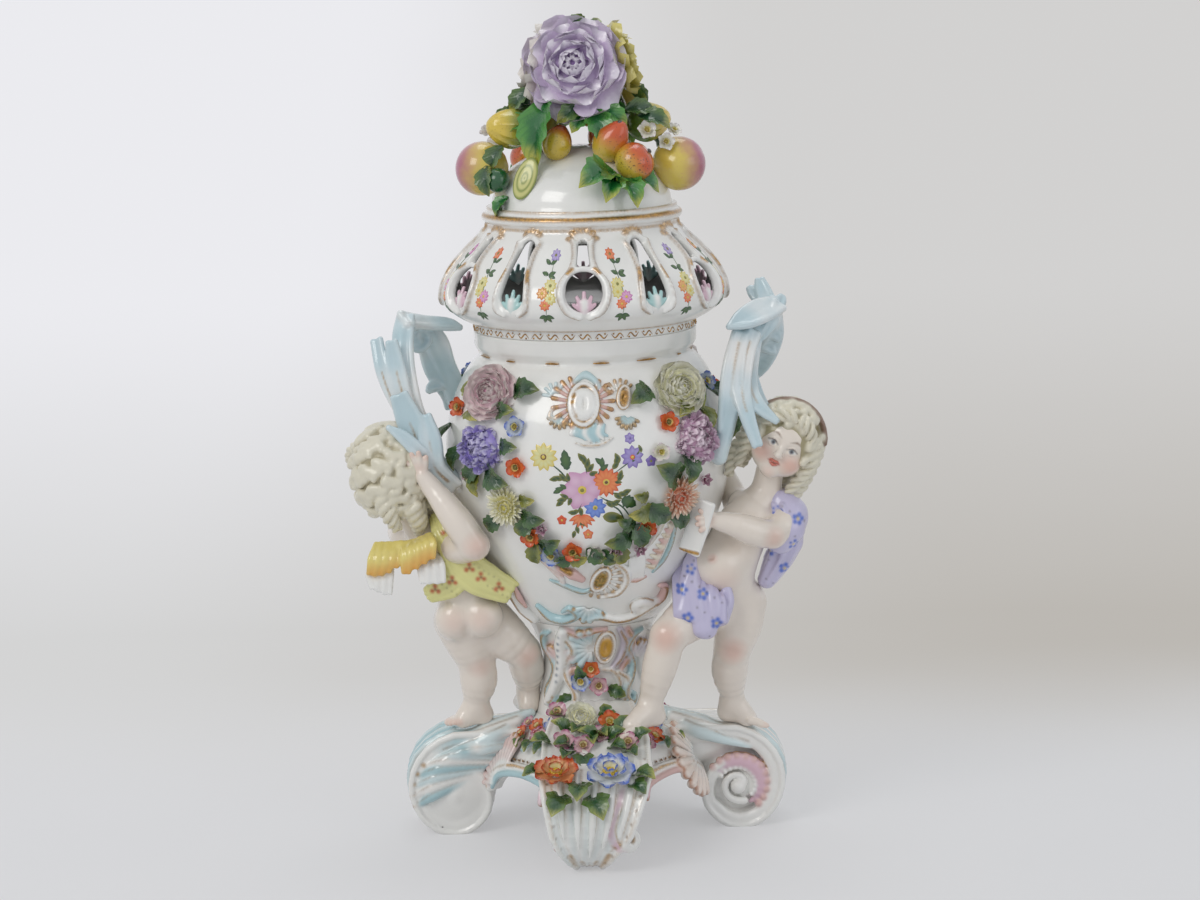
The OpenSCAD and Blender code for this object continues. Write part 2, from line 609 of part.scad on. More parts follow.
module girl_tablet() color("white") difference() {
    girl_tablet_solid();
    girl_arm_front_solid();
    girl_body_solid();
    girl_drapery_solid();
    surroundings(1);
}

// Boy on the left, seen from behind
boy_hip = [-76, -26, foot_h + 77];
boy_back = [-86, -30, foot_h + 104];
boy_chest = [-97, -30, foot_h + 122];
boy_shoulder_in = [-88, -40, foot_h + 126];
boy_shoulder_out = [-110, -18, foot_h + 126];
boy_neck = [-108, -28, foot_h + 140];
boy_head_at = [-121.25, -26, foot_h + 168];
boy_knee_front = [-74, -18, foot_h + 42];
boy_ankle_front = [-77, -14, foot_h + 16];
boy_toe_front = [-95, -16, foot_h + 4];
boy_knee_back = [-44, -20, foot_h + 48];
boy_ankle_back = [-42, 2, foot_h + 20];
boy_toe_back = [-46, 22, foot_h + 6];
boy_elbow = [-70, -62, foot_h + 132];
boy_hand = [-104, -48, foot_h + 176];
boy_far_elbow = [-122, 4, foot_h + 128];
boy_far_hand = [-100, 18, foot_h + 146];
module boy_torso_solid() {
    limb([boy_hip, boy_back, boy_chest, boy_neck], [belly_round, belly_round * 0.92, belly_round * 0.9, 11]);
    limb([boy_shoulder_in, boy_shoulder_out], [11, 12]);
    limb([boy_hip + [-8, -8, -6], boy_hip + [12, -6, -6]], [thigh_r + 3, thigh_r + 3]);
}
module boy_head_solid() {
    lump(boy_head_at, head_r);
    limb([boy_neck, boy_head_at + [0, 4, -12]], [9, 11]);
}
module boy_hair_solid() {
    for (i = [0:7]) lump(boy_head_at + [(head_r + 1) * sin(45 * i), -6, 4 + (head_r + 1) * cos(45 * i)], lock_r, lock_fn);
    for (i = [0:3]) lump(boy_head_at + [15 * sin(90 * i), -20, 4 + 15 * cos(90 * i)], lock_r, lock_fn);
    limb([boy_head_at + [-22, -4, 0], boy_head_at + [-30, -4, 4]], [lock_r, 7]);
    limb([boy_head_at + [-10, -8, -16], boy_head_at + [-12, -8, -34]], [lock_r + 2, 6.5]);
    lump(boy_head_at + [0, -6, 3], head_r + 3);
}
module boy_arm_front_solid() {
    limb([boy_shoulder_in, boy_elbow, boy_hand], [10, 11, wrist_r]);
    limb([boy_hand, boy_hand + [-6, 0, 8]], [wrist_r + 1, 5]);
}
module boy_arm_back_solid() limb([boy_shoulder_out, boy_far_elbow, boy_far_hand], [10.5, 10, wrist_r]);
module boy_leg_front_solid() {
    limb([boy_hip + [-8, -2, -8], boy_knee_front, boy_ankle_front], [thigh_r + 3, thigh_r - 1, wrist_r + 3]);
    limb([boy_ankle_front + [6, 1, -6], boy_toe_front], [wrist_r + 1, 6]);
}
module boy_leg_back_solid() {
    limb([boy_hip + [12, 0, -6], boy_knee_back, boy_ankle_back], [thigh_r + 2, thigh_r - 2, wrist_r + 2]);
    limb([boy_ankle_back + [0, -3, -5], boy_toe_back], [wrist_r + 1, 6]);
}
module boy_body_solid() {
    boy_torso_solid();
    boy_leg_front_solid();
    boy_leg_back_solid();
}
module boy_drapery_solid() {
    limb([boy_shoulder_in + [-4, -10, 2], boy_back + [4, -16, 0], boy_hip + [26, -14, 14]], [9, 13, 10]);
    limb([boy_back + [4, -16, 0], boy_hip + [-22, -14, 18]], [13, 10]);
}
module boy_wings_solid() {
    root = boy_chest + [-6, -22, -4];
    limb([root, root + [-18, -12, 2], root + [-30, -14, -16]], [5, 9, 5]);
    limb([root, root + [4, -16, 2], root + [-6, -22, -16]], [5, 9, 5]);
    limb([root + [-14, -12, -10], root + [-22, -14, -24]], [6, 8]);
    limb([root + [-2, -14, -10], root + [2, -16, -26]], [6, 8]);
}
module boy_torso() color("antiquewhite") difference() { boy_torso_solid(); surroundings(0); }
module boy_head() color("antiquewhite") difference() { boy_head_solid(); boy_torso_solid(); surroundings(0); }
module boy_hair() color("tan") difference() {
    boy_hair_solid();
    boy_head_solid();
    boy_torso_solid();
    surroundings(0);
}
module boy_arm_front() color("antiquewhite") difference() {
    boy_arm_front_solid();
    boy_torso_solid();
    boy_head_solid();
    boy_hair_solid();
    surroundings(0);
}
module boy_arm_back() color("antiquewhite") difference() {
    boy_arm_back_solid();
    boy_torso_solid();
    boy_head_solid();
    boy_hair_solid();
    surroundings(0);
}
module boy_leg_front() color("antiquewhite") difference() {
    boy_leg_front_solid();
    boy_torso_solid();
    surroundings(0);
}
module boy_leg_back() color("antiquewhite") difference() {
    boy_leg_back_solid();
    boy_leg_front_solid();
    boy_torso_solid();
    surroundings(0);
}
module boy_drapery() color("khaki") difference() {
    boy_drapery_solid();
    boy_body_solid();
    boy_arm_front_solid();
    boy_hair_solid();
    surroundings(0);
}
module boy_wings() color("gold") difference() {
    boy_wings_solid();
    boy_body_solid();
    boy_drapery_solid();
    boy_hair_solid();
    boy_arm_front_solid();
    surroundings(0);
}

// Cover

// A window tool: a round hole under a slit for even ones, a long slot for odd ones; inset narrows it
window_z = widest_z + 10;
slit_z = widest_z + 29;
slit_w = 7;
slit_l = 20;
through = 2 * cover_wall + cover_r;
module slot_outline(w, l) polygon(concat(
    [for (a = [0:20:180]) [l / 2 - w / 2 + w / 2 * sin(a), -w / 2 * cos(a)]],
    [for (a = [0:20:180]) [-l / 2 + w / 2 - w / 2 * sin(a), w / 2 * cos(a)]]));
module radial(angle, z) rotate([0, 0, angle]) translate([0, 0, z]) rotate([0, 90, 0]) children();
module window(i, inset = 0) {
    angle = front + 360 / windows * i;
    if (i % 2 == 0) {
        radial(angle, window_z) cylinder(r = window_r - inset, h = through, $fn = turn_fn);
        if (inset == 0) radial(angle, slit_z) linear_extrude(through) slot_outline(slit_w, slit_l);
    } else radial(angle, widest_z + slot_l / 2) linear_extrude(through) slot_outline(slot_w - 2 * inset, slot_l - 2 * inset);
}
module cover_shell() color("white") difference() {
    rotate_extrude($fn = turn_fn) polygon(concat(
        [[band_r - cover_wall, seat_z], [band_r, seat_z], [band_r, band_z]],
        [for (z = spread(band_z, widest_z, curve_steps)) [bulge_r(z), z]],
        [for (z = spread(widest_z, ring_z, curve_steps)) if (z > widest_z) [flank_r(z), z]],
        [[ring_r, dome_z - 1], [ring_r - 1, dome_z]],
        [for (z = spread(dome_z, top_z, curve_steps)) if (z < top_z) [dome_curve_r(z), z]],
        [[0, top_z], [0, top_z - cover_wall]],
        [for (z = spread(top_z - cover_wall, dome_z, curve_steps)) if (z < top_z - cover_wall) [dome_inner_r(z), z]],
        [for (z = spread(ring_z, widest_z, curve_steps)) [flank_r(z) - cover_wall, z]],
        [for (z = spread(widest_z, band_z + cover_wall, curve_steps)) if (z < widest_z) [bulge_r(z) - cover_wall, z]],
        [[band_r - cover_wall, band_z + cover_wall]]));
    for (i = [0:windows - 1]) window(i);
}
// Palmettes that stand in the windows, trimmed to the opening with the slip all round
palmette_t = 3;
module palmette_outline(r) polygon([for (i = [0:29]) let (a = 12 * i, k = r * (0.8 + 0.2 * cos(5 * a))) [k * cos(a), k * sin(a)]]);
palmette_r = 9;
module cover_palmettes() color("thistle") for (i = [0:windows - 1]) intersection() {
    window(i, lute);
    radial(front + 360 / windows * i, i % 2 == 0 ? window_z - window_r * 0.7 : widest_z + palmette_r * 0.4)
        translate([0, 0, cover_r - cover_wall - 1]) linear_extrude(palmette_t) palmette_outline(palmette_r);
}

// Finial: a branch arched over the dome, flowers at its crown and fruit round its feet
branch_foot_z = dome_z + dome_h * 0.88;
branch_foot_r = dome_curve_r(branch_foot_z) + lute;
crown = [0, -2, top_z + branch_h + core_r];
module dome_envelope(grow) translate([0, 0, dome_z]) rotate_extrude($fn = turn_fn)
    polygon(concat([[0, -ring_h]], [[ring_r + grow, -ring_h], [ring_r + grow, 0]],
        [for (z = spread(0, dome_h, curve_steps)) [dome_curve_r(dome_z + z) + grow, z + (z == dome_h ? grow : 0)]],
        [[0, dome_h + grow]]));
crown_rise = crown[2] - branch_foot_z;
leg_path = [[1, 0], [0.78, 0.32], [0.45, 0.6], [0.15, 0.9]];
module branch_solid() {
    for (s = [-1, 1]) limb([for (q = leg_path) [s * branch_foot_r * q[0], 0, branch_foot_z + crown_rise * q[1]]],
        [for (q = leg_path) branch_r]);
    lump(crown, core_r);
}
// Ribbed buds on stalks that leave the branch, placed from its crown
crown_bud = [[-43, -16, -30], [-30, -7, -31], [-17, 1, -25]];
crown_bud_r = [11, 6, 3.5];
module crown_buds(grow = 0) front_and_back()
    limb([for (p = crown_bud) [0, 0, crown[2]] + p], [for (r = crown_bud_r) r + grow]);
// Free leaves round the crown, rooted in the rose and in the branch: root from the crown, face, heading, length
rose_leaf_at = [
    [[-20, -22, -13], [-0.45, -0.85, 0.3], [-0.12, -0.25, -1], 40],
    [[8, -25, -20], [0.1, -0.9, 0.35], [0.3, -0.3, -0.9], 25],
    [[14, -24, -19], [0.3, -0.8, 0.5], [0.75, -0.3, -0.5], 22],
    [[-25, -15, -7], [-0.6, -0.7, 0.2], [-0.7, -0.1, -0.6], 16]
];
branch_leaf_at = [
    [[16, -4, -20], [0.3, -0.7, 0.6], [0.9, -0.45, 0.1], 28],
    [[17, 5, -21], [0, 0.4, 0.9], [-0.1, 1, 0.1], 24]
];
function unit(v) = v / norm(v);
module free_leaf(at, face, heading, l, grow = 0) {
    n = unit(face);
    u = unit(heading - n * (heading * n));
    v = cross(n, u);
    multmatrix([[u[0], v[0], n[0], at[0]], [u[1], v[1], n[1], at[1]], [u[2], v[2], n[2], at[2] + crown[2]]])
        translate([-grow, 0, -grow]) leaf(l + 2 * grow, l * 0.55 + 2 * grow, 1.5 * leaf_t + 2 * grow);
}
module crown_leaves(grow = 0) {
    for (p = rose_leaf_at) free_leaf(p[0], p[1], p[2], p[3], grow);
    front_and_back() for (p = branch_leaf_at) free_leaf(p[0], p[1], p[2], p[3], grow);
}
module finial_branch() color("saddlebrown") difference() {
    branch_solid();
    dome_envelope(lute);
    on_crown(rose_face[0], rose_face[1]) cylinder(r = finial_rose_r, h = finial_rose_r, $fn = fruit_fn);
    for (p = side_places) on_crown(p[0], p[1]) cylinder(r = p[2], h = p[2], $fn = fruit_fn);
    crown_buds(lute);
    crown_leaves(lute);
}
// Puts a bloom on the crown, facing a compass angle and raised by a tilt
module on_crown(angle, tilt) translate(crown) rotate([0, 0, angle]) rotate([0, 90 - tilt, 0])
    translate([0, 0, core_r]) children();
rose_face = [front - 8, 12];
bloom_depth = 0.6;
module finial_rose() color("thistle") on_crown(rose_face[0], rose_face[1])
    translate([0, 0, lute]) bloom(finial_rose_r, finial_rose_r * bloom_depth, 5, 6);
// Side flowers: compass angle, tilt, radius
side_places = [[14, 8, finial_side_r], [168, 8, finial_side_r], [91, 10, finial_side_r]];
module side_bloom(p) on_crown(p[0], p[1]) translate([0, 0, lute]) bloom(p[2], p[2] * bloom_depth, 3, 8);
module side_envelope(p, grow) on_crown(p[0], p[1]) cylinder(r = p[2] + grow, h = p[2] * bloom_depth + grow, $fn = turn_fn);
module finial_side_flowers() color("darkkhaki") {
    for (i = [0, 1]) difference() {
        side_bloom(side_places[i]);
        on_crown(rose_face[0], rose_face[1])
            cylinder(r = finial_rose_r + lute, h = finial_rose_r * bloom_depth + lute, $fn = turn_fn);
    }
    difference() {
        side_bloom(side_places[2]);
        for (i = [0, 1]) side_envelope(side_places[i], lute);
    }
}
// Fruit round the dome: angle from the front, height on the dome
peach_places = [[80, 18], [-80, 18]];
apple_places = [[34, 20], [-146, 20]];
fig_places = [[-44, 14], [136, 14]];
fig_r = 7;
pear_places = [[34, 31], [-40, 31], [-146, 31], [140, 31]];
pear_r = 9;
blossom_places = [[58, 27], [-62, 29], [124, 27]];
blossom_r = 5;
module fruit(list, r) for (p = list) on_cover(front + p[0], dome_z + p[1]) translate([0, 0, r]) children();
module peaches_solid(grow = 0) fruit(peach_places, peach_r) sphere(peach_r + grow, $fn = fruit_fn);
module apples_solid(grow = 0) fruit(apple_places, apple_r) sphere(apple_r + grow, $fn = fruit_fn);
module pears_solid(grow = 0) fruit(pear_places, pear_r) union() {
    sphere(pear_r + grow, $fn = fruit_fn);
    translate([-pear_r * 0.9, 0, pear_r * 0.3]) sphere(pear_r * 0.6 + grow, $fn = fruit_fn);
}
slice_places = [[-25, 12], [155, 12]];
slice_r = 8.5;
slice_t = 3;
module figs_solid(grow = 0) {
    fruit(fig_places, fig_r) sphere(fig_r + grow, $fn = fruit_fn);
    fruit(slice_places, 0) translate([0, 0, -grow]) cylinder(r = slice_r + grow, h = slice_t + grow, $fn = fruit_fn);
}
module finial_peaches() color("gold") peaches_solid();
module finial_apples() color("darkorange") apples_solid();
module finial_pears() color("goldenrod") {
    pears_solid();
    crown_buds();
}
module finial_figs() color("green") figs_solid();
module finial_blossoms() color("white") for (p = blossom_places) on_cover(front + p[0], dome_z + p[1])
    floret(blossom_r);
finial_leaf_at = [[14, 16, 26, 100], [-26, 26, 30, 170], [-62, 22, 22, 150], [150, 20, 26, 90], [-160, 24, 28, 160], [64, 30, 24, 30]];
module branch_feet() for (s = [-1, 1]) translate([s * branch_foot_r, 0, dome_z])
    cylinder(r = branch_r + 2, h = 2 * dome_h, $fn = turn_fn);
// What the leaves of the finial lie between
module fruit_keep_out() {
    pears_solid(lute);
    apples_solid(lute);
    peaches_solid(lute);
    figs_solid(lute);
}
module finial_leaves() color("forestgreen") {
    difference() {
        for (p = finial_leaf_at) on_cover(front + p[0], dome_z + p[1], p[3]) leaf(p[2], p[2] * 0.6);
        fruit_keep_out();
        for (p = blossom_places) on_cover(front + p[0], dome_z + p[1]) keep_out(blossom_r);
        branch_feet();
    }
    difference() {
        crown_leaves();
        fruit_keep_out();
        dome_envelope(lute);
        on_crown(rose_face[0], rose_face[1])
            cylinder(r = finial_rose_r + lute, h = finial_rose_r * bloom_depth + lute, $fn = turn_fn);
        for (p = side_places) side_envelope(p, lute);
    }
}

base_plinth();
pedestal();
foot(foot_angles[0]);  // foot_front
foot(foot_angles[1]);  // foot_right
foot(foot_angles[2]);  // foot_back
foot(foot_angles[3]);  // foot_left
base_shells();
pedestal_scrolls();
base_leaves();
base_bloom_red();
base_bloom_blue();
base_rose_cream();
base_florets_red();
base_florets_pink();
base_florets_blue();
vase_body();
cartouches_upper();
cartouches_lower();
garland_leaves();
roses(roses_left, "pink");  // roses_pink
roses(roses_right, "ivory");  // roses_white
carnations(carnations_left, "mediumpurple");  // carnations_purple
carnations(carnations_right, "plum");  // carnations_mauve
asters(asters_left, "lemonchiffon");  // asters_yellow
asters(asters_right, "sandybrown");  // asters_orange
florets(reds, "orangered");  // florets_red
florets(blues, "cornflowerblue");  // florets_blue
florets(whites, "ivory");  // florets_white
buds_pink();
handle(0);  // handle_left
handle(1);  // handle_right
girl_torso();
girl_head();
girl_hair();
girl_arm_front();
girl_arm_back();
girl_leg_front();
girl_leg_back();
girl_drapery();
girl_tablet();
boy_torso();
boy_head();
boy_hair();
boy_arm_front();
boy_arm_back();
boy_leg_front();
boy_leg_back();
boy_drapery();
boy_wings();
cover_shell();
cover_palmettes();
finial_branch();
finial_rose();
finial_side_flowers();
finial_leaves();
finial_peaches();
finial_apples();
finial_pears();
finial_figs();
finial_blossoms();
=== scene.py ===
"""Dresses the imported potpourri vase: modelled porcelain, enamels, gilding, flowers and putti.

Forms are worked out in millimetres in the part's own frame and become meshes in metres.
"""

import json
import logging
import math
from dataclasses import dataclass, field
from enum import Enum
from typing import Callable, Iterable, Optional, Sequence, Union

import bpy
import numpy as np
from mathutils import Euler, Matrix

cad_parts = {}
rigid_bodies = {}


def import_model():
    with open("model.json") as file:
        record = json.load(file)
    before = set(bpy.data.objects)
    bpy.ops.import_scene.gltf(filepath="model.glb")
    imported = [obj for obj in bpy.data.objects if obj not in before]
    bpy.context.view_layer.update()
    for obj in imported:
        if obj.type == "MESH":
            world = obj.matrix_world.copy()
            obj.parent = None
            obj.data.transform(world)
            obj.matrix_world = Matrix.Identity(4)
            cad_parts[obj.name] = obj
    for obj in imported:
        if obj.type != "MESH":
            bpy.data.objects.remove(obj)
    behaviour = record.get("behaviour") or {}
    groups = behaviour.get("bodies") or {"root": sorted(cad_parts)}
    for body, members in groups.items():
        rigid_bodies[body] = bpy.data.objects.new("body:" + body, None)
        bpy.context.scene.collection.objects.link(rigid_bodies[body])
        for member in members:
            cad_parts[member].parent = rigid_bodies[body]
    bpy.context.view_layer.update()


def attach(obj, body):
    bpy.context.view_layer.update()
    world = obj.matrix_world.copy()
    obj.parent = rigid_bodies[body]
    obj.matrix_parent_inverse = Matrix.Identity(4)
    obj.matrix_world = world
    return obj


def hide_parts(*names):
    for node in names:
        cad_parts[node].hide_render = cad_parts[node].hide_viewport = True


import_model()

LOG = logging.getLogger("vase")
MM = 0.001
FRONT = -90.0
SHARP_EDGE = math.radians(58)
BODY_FOOT = 140.0
DOME_FOOT, DOME_RISE = 403.0, 37.0
FOOT_REACH, FOOT_EYE = 91.0, 26.2
FOOT_CLIMB, FOOT_RUN = 20.0, 53.0
Point = Sequence[float]
Colour = tuple[float, float, float]
Pair = tuple[float, float]
Seat = tuple[np.ndarray, np.ndarray, float]


def linear(r: int, g: int, b: int) -> Colour:
    """Turns a display colour (0 to 255) into the linear colour that shaders use.

    Args:
        r: Red.
        g: Green.
        b: Blue.

    Returns:
        The linear colour.
    """
    return tuple(((c / 255 + 0.055) / 1.055) ** 2.4 if c > 10 else c / 3295 for c in (r, g, b))


class Enamel(Enum):
    """The enamel colours on the decorator's palette."""

    WHITE = linear(243, 242, 238)
    CREAM = linear(238, 232, 212)
    FLESH = linear(240, 229, 217)
    BLUSH = linear(226, 176, 158)
    LIP = linear(208, 118, 100)
    SKY = linear(176, 208, 214)
    MIST = linear(214, 230, 232)
    SHELL = linear(222, 184, 178)
    ROSE = linear(226, 190, 204)
    GOLD = linear(178, 132, 52)
    BROWN = linear(112, 78, 44)
    LEAF = linear(78, 110, 58)
    DARK_LEAF = linear(44, 78, 52)
    OLIVE = linear(134, 132, 56)
    RED = linear(220, 84, 40)
    YELLOW = linear(222, 196, 84)
    LEMON = linear(226, 224, 168)
    VIOLET = linear(128, 108, 180)
    MAUVE = linear(196, 150, 180)
    BLUE = linear(74, 108, 200)
    LILAC = linear(204, 198, 226)
    LIME = linear(226, 222, 150)
    INK = linear(64, 52, 50)
    HAIR = linear(226, 220, 200)
    # Painted shade in the hollows of the hair: the ground under the curls, the cores of the ringlets and a
    # line beside each curl.
    HAIR_SHADE = linear(168, 158, 124)


@dataclass(frozen=True)
class Paint:
    """What a form is coloured with.

    Attributes:
        rgb: Linear colour.
        gilt: Share of gilding, 0 to 1.
    """

    rgb: Colour
    gilt: float = 0.0


def paint(enamel: Enamel, gilt: float = 0.0) -> Paint:
    """Loads a brush with an enamel."""
    return Paint(enamel.value, gilt)


GILDING = paint(Enamel.GOLD, 1.0)


class Form:
    """A closed form given by its distance field."""

    def reach(self) -> tuple[np.ndarray, np.ndarray]:
        """Returns the lowest and the highest corner of the form's box."""
        raise NotImplementedError

    def distance(self, x: np.ndarray, y: np.ndarray, z: np.ndarray) -> np.ndarray:
        """Returns the distance to the form's surface, less than 0 inside."""
        raise NotImplementedError


@dataclass
class Strand(Form):
    """A rounded stroke of clay along a path, thick or thin by its radii."""

    path: Sequence[Point]
    radii: Sequence[float]

    def __post_init__(self) -> None:
        """Turns the path and the radii into arrays of one length."""
        self.path = np.asarray(self.path, float)
        self.radii = np.broadcast_to(np.asarray(self.radii, float), len(self.path))

    def reach(self) -> tuple[np.ndarray, np.ndarray]:
        """Returns the box of the stroke."""
        r = self.radii[:, None]
        return (self.path - r).min(0), (self.path + r).max(0)

    def distance(self, x: np.ndarray, y: np.ndarray, z: np.ndarray) -> np.ndarray:
        """Returns the distance to the nearest rounded cone of the stroke."""
        best = None
        if len(self.path) == 1:
            a = self.path[0]
            return np.sqrt((x - a[0]) ** 2 + (y - a[1]) ** 2 + (z - a[2]) ** 2) - self.radii[0]
        for a, b, ra, rb in zip(self.path, self.path[1:], self.radii, self.radii[1:]):
            d = b - a
            px, py, pz = x - a[0], y - a[1], z - a[2]
            t = np.clip((px * d[0] + py * d[1] + pz * d[2]) / max(d @ d, 1e-9), 0, 1)
            gap = np.sqrt((px - t * d[0]) ** 2 + (py - t * d[1]) ** 2 + (pz - t * d[2]) ** 2) - (ra
                + (rb - ra) * t)
            best = gap if best is None else np.minimum(best, gap)
        return best


@dataclass
class Egg(Form):
    """An ellipsoid, turned by a rotation matrix whose rows are its own axes."""

    at: Point
    radii: Point
    axes: Optional[np.ndarray] = None

    def reach(self) -> tuple[np.ndarray, np.ndarray]:
        """Returns the box of the ball round the egg."""
        r = max(self.radii)
        return np.asarray(self.at) - r, np.asarray(self.at) + r

    def distance(self, x: np.ndarray, y: np.ndarray, z: np.ndarray) -> np.ndarray:
        """Returns the usual close estimate of the distance to an ellipsoid."""
        p = [x - self.at[0], y - self.at[1], z - self.at[2]]
        if self.axes is not None:
            p = [a[0] * p[0] + a[1] * p[1] + a[2] * p[2] for a in self.axes]
        k0 = np.sqrt(sum((q / r) ** 2 for q, r in zip(p, self.radii)))
        k1 = np.sqrt(sum((q / r**2) ** 2 for q, r in zip(p, self.radii)))
        return k0 * (k0 - 1) / np.maximum(k1, 1e-6)


@dataclass
class Ribbon(Form):
    """A flat strip along a path, with a width, a thickness and flutes along it.

    Attributes:
        path: Points along the middle of the strip.
        across: Direction of the strip's width at each point, or one for all.
        widths: Width at each point.
        thick: Thickness at each point.
        flutes: Number of rounded flutes across the width.
        depth: Depth of the flutes.
    """

    path: Sequence[Point]
    across: Union[Point, Sequence[Point]]
    widths: Sequence[float]
    thick: Sequence[float]
    flutes: int = 0
    depth: float = 0.0

    def __post_init__(self) -> None:
        """Turns the lists into arrays of one length."""
        self.path = np.asarray(self.path, float)
        n = len(self.path)
        self.across = np.broadcast_to(np.asarray(self.across, float), (n, 3))
        self.widths = np.broadcast_to(np.asarray(self.widths, float), n)
        self.thick = np.broadcast_to(np.asarray(self.thick, float), n)

    def reach(self) -> tuple[np.ndarray, np.ndarray]:
        """Returns the box of the strip."""
        r = (self.widths / 2 + self.thick)[:, None]
        return (self.path - r).min(0), (self.path + r).max(0)

    def distance(self, x: np.ndarray, y: np.ndarray, z: np.ndarray) -> np.ndarray:
        """Returns the distance to the nearest flat stretch of the strip."""
        best = None
        for i in range(len(self.path) - 1):
            a, d = self.path[i], self.path[i + 1] - self.path[i]
            p = [x - a[0], y - a[1], z - a[2]]
            t = np.clip((p[0] * d[0] + p[1] * d[1] + p[2] * d[2]) / max(d @ d, 1e-9), 0, 1)
            q = [p[k] - t * d[k] for k in range(3)]
            side = self.across[i] + self.across[i + 1]
            side = side - d * (side @ d) / max(d @ d, 1e-9)
            side = side / np.linalg.norm(side)
            u = q[0] * side[0] + q[1] * side[1] + q[2] * side[2]
            v2 = np.maximum(q[0] ** 2 + q[1] ** 2 + q[2] ** 2 - u * u, 0)
            half = (self.widths[i] + (self.widths[i + 1] - self.widths[i]) * t) / 2
            body = (self.thick[i] + (self.thick[i + 1] - self.thick[i]) * t) / 2
            if self.flutes:
                body = body + self.depth * (np.abs(np.cos(np.pi * self.flutes * (u / (2 * half) + 0.5)))
                    - 0.6)
            over = np.maximum(np.abs(u) - half + body, 0)
            gap = np.sqrt(over * over + v2) - body
            best = gap if best is None else np.minimum(best, gap)
        return best


@dataclass
class Turned(Form):
    """A solid of revolution about the vase's axis between two heights."""

    radius: Callable[[np.ndarray], np.ndarray]
    low: float
    high: float
    widest: float

    def reach(self) -> tuple[np.ndarray, np.ndarray]:
        """Returns the box of the turned solid."""
        w = self.widest
        return np.array([-w, -w, self.low]), np.array([w, w, self.high])

    def distance(self, x: np.ndarray, y: np.ndarray, z: np.ndarray) -> np.ndarray:
        """Returns the distance to the profile, made true by the profile's slope."""
        zc = np.clip(z, self.low, self.high)
        slope = (self.radius(zc + 0.5) - self.radius(zc - 0.5))
        side = (np.sqrt(x * x + y * y) - self.radius(zc)) / np.sqrt(1 + np.minimum(slope * slope, 4))
        return np.maximum(side, np.maximum(self.low - z, z - self.high))


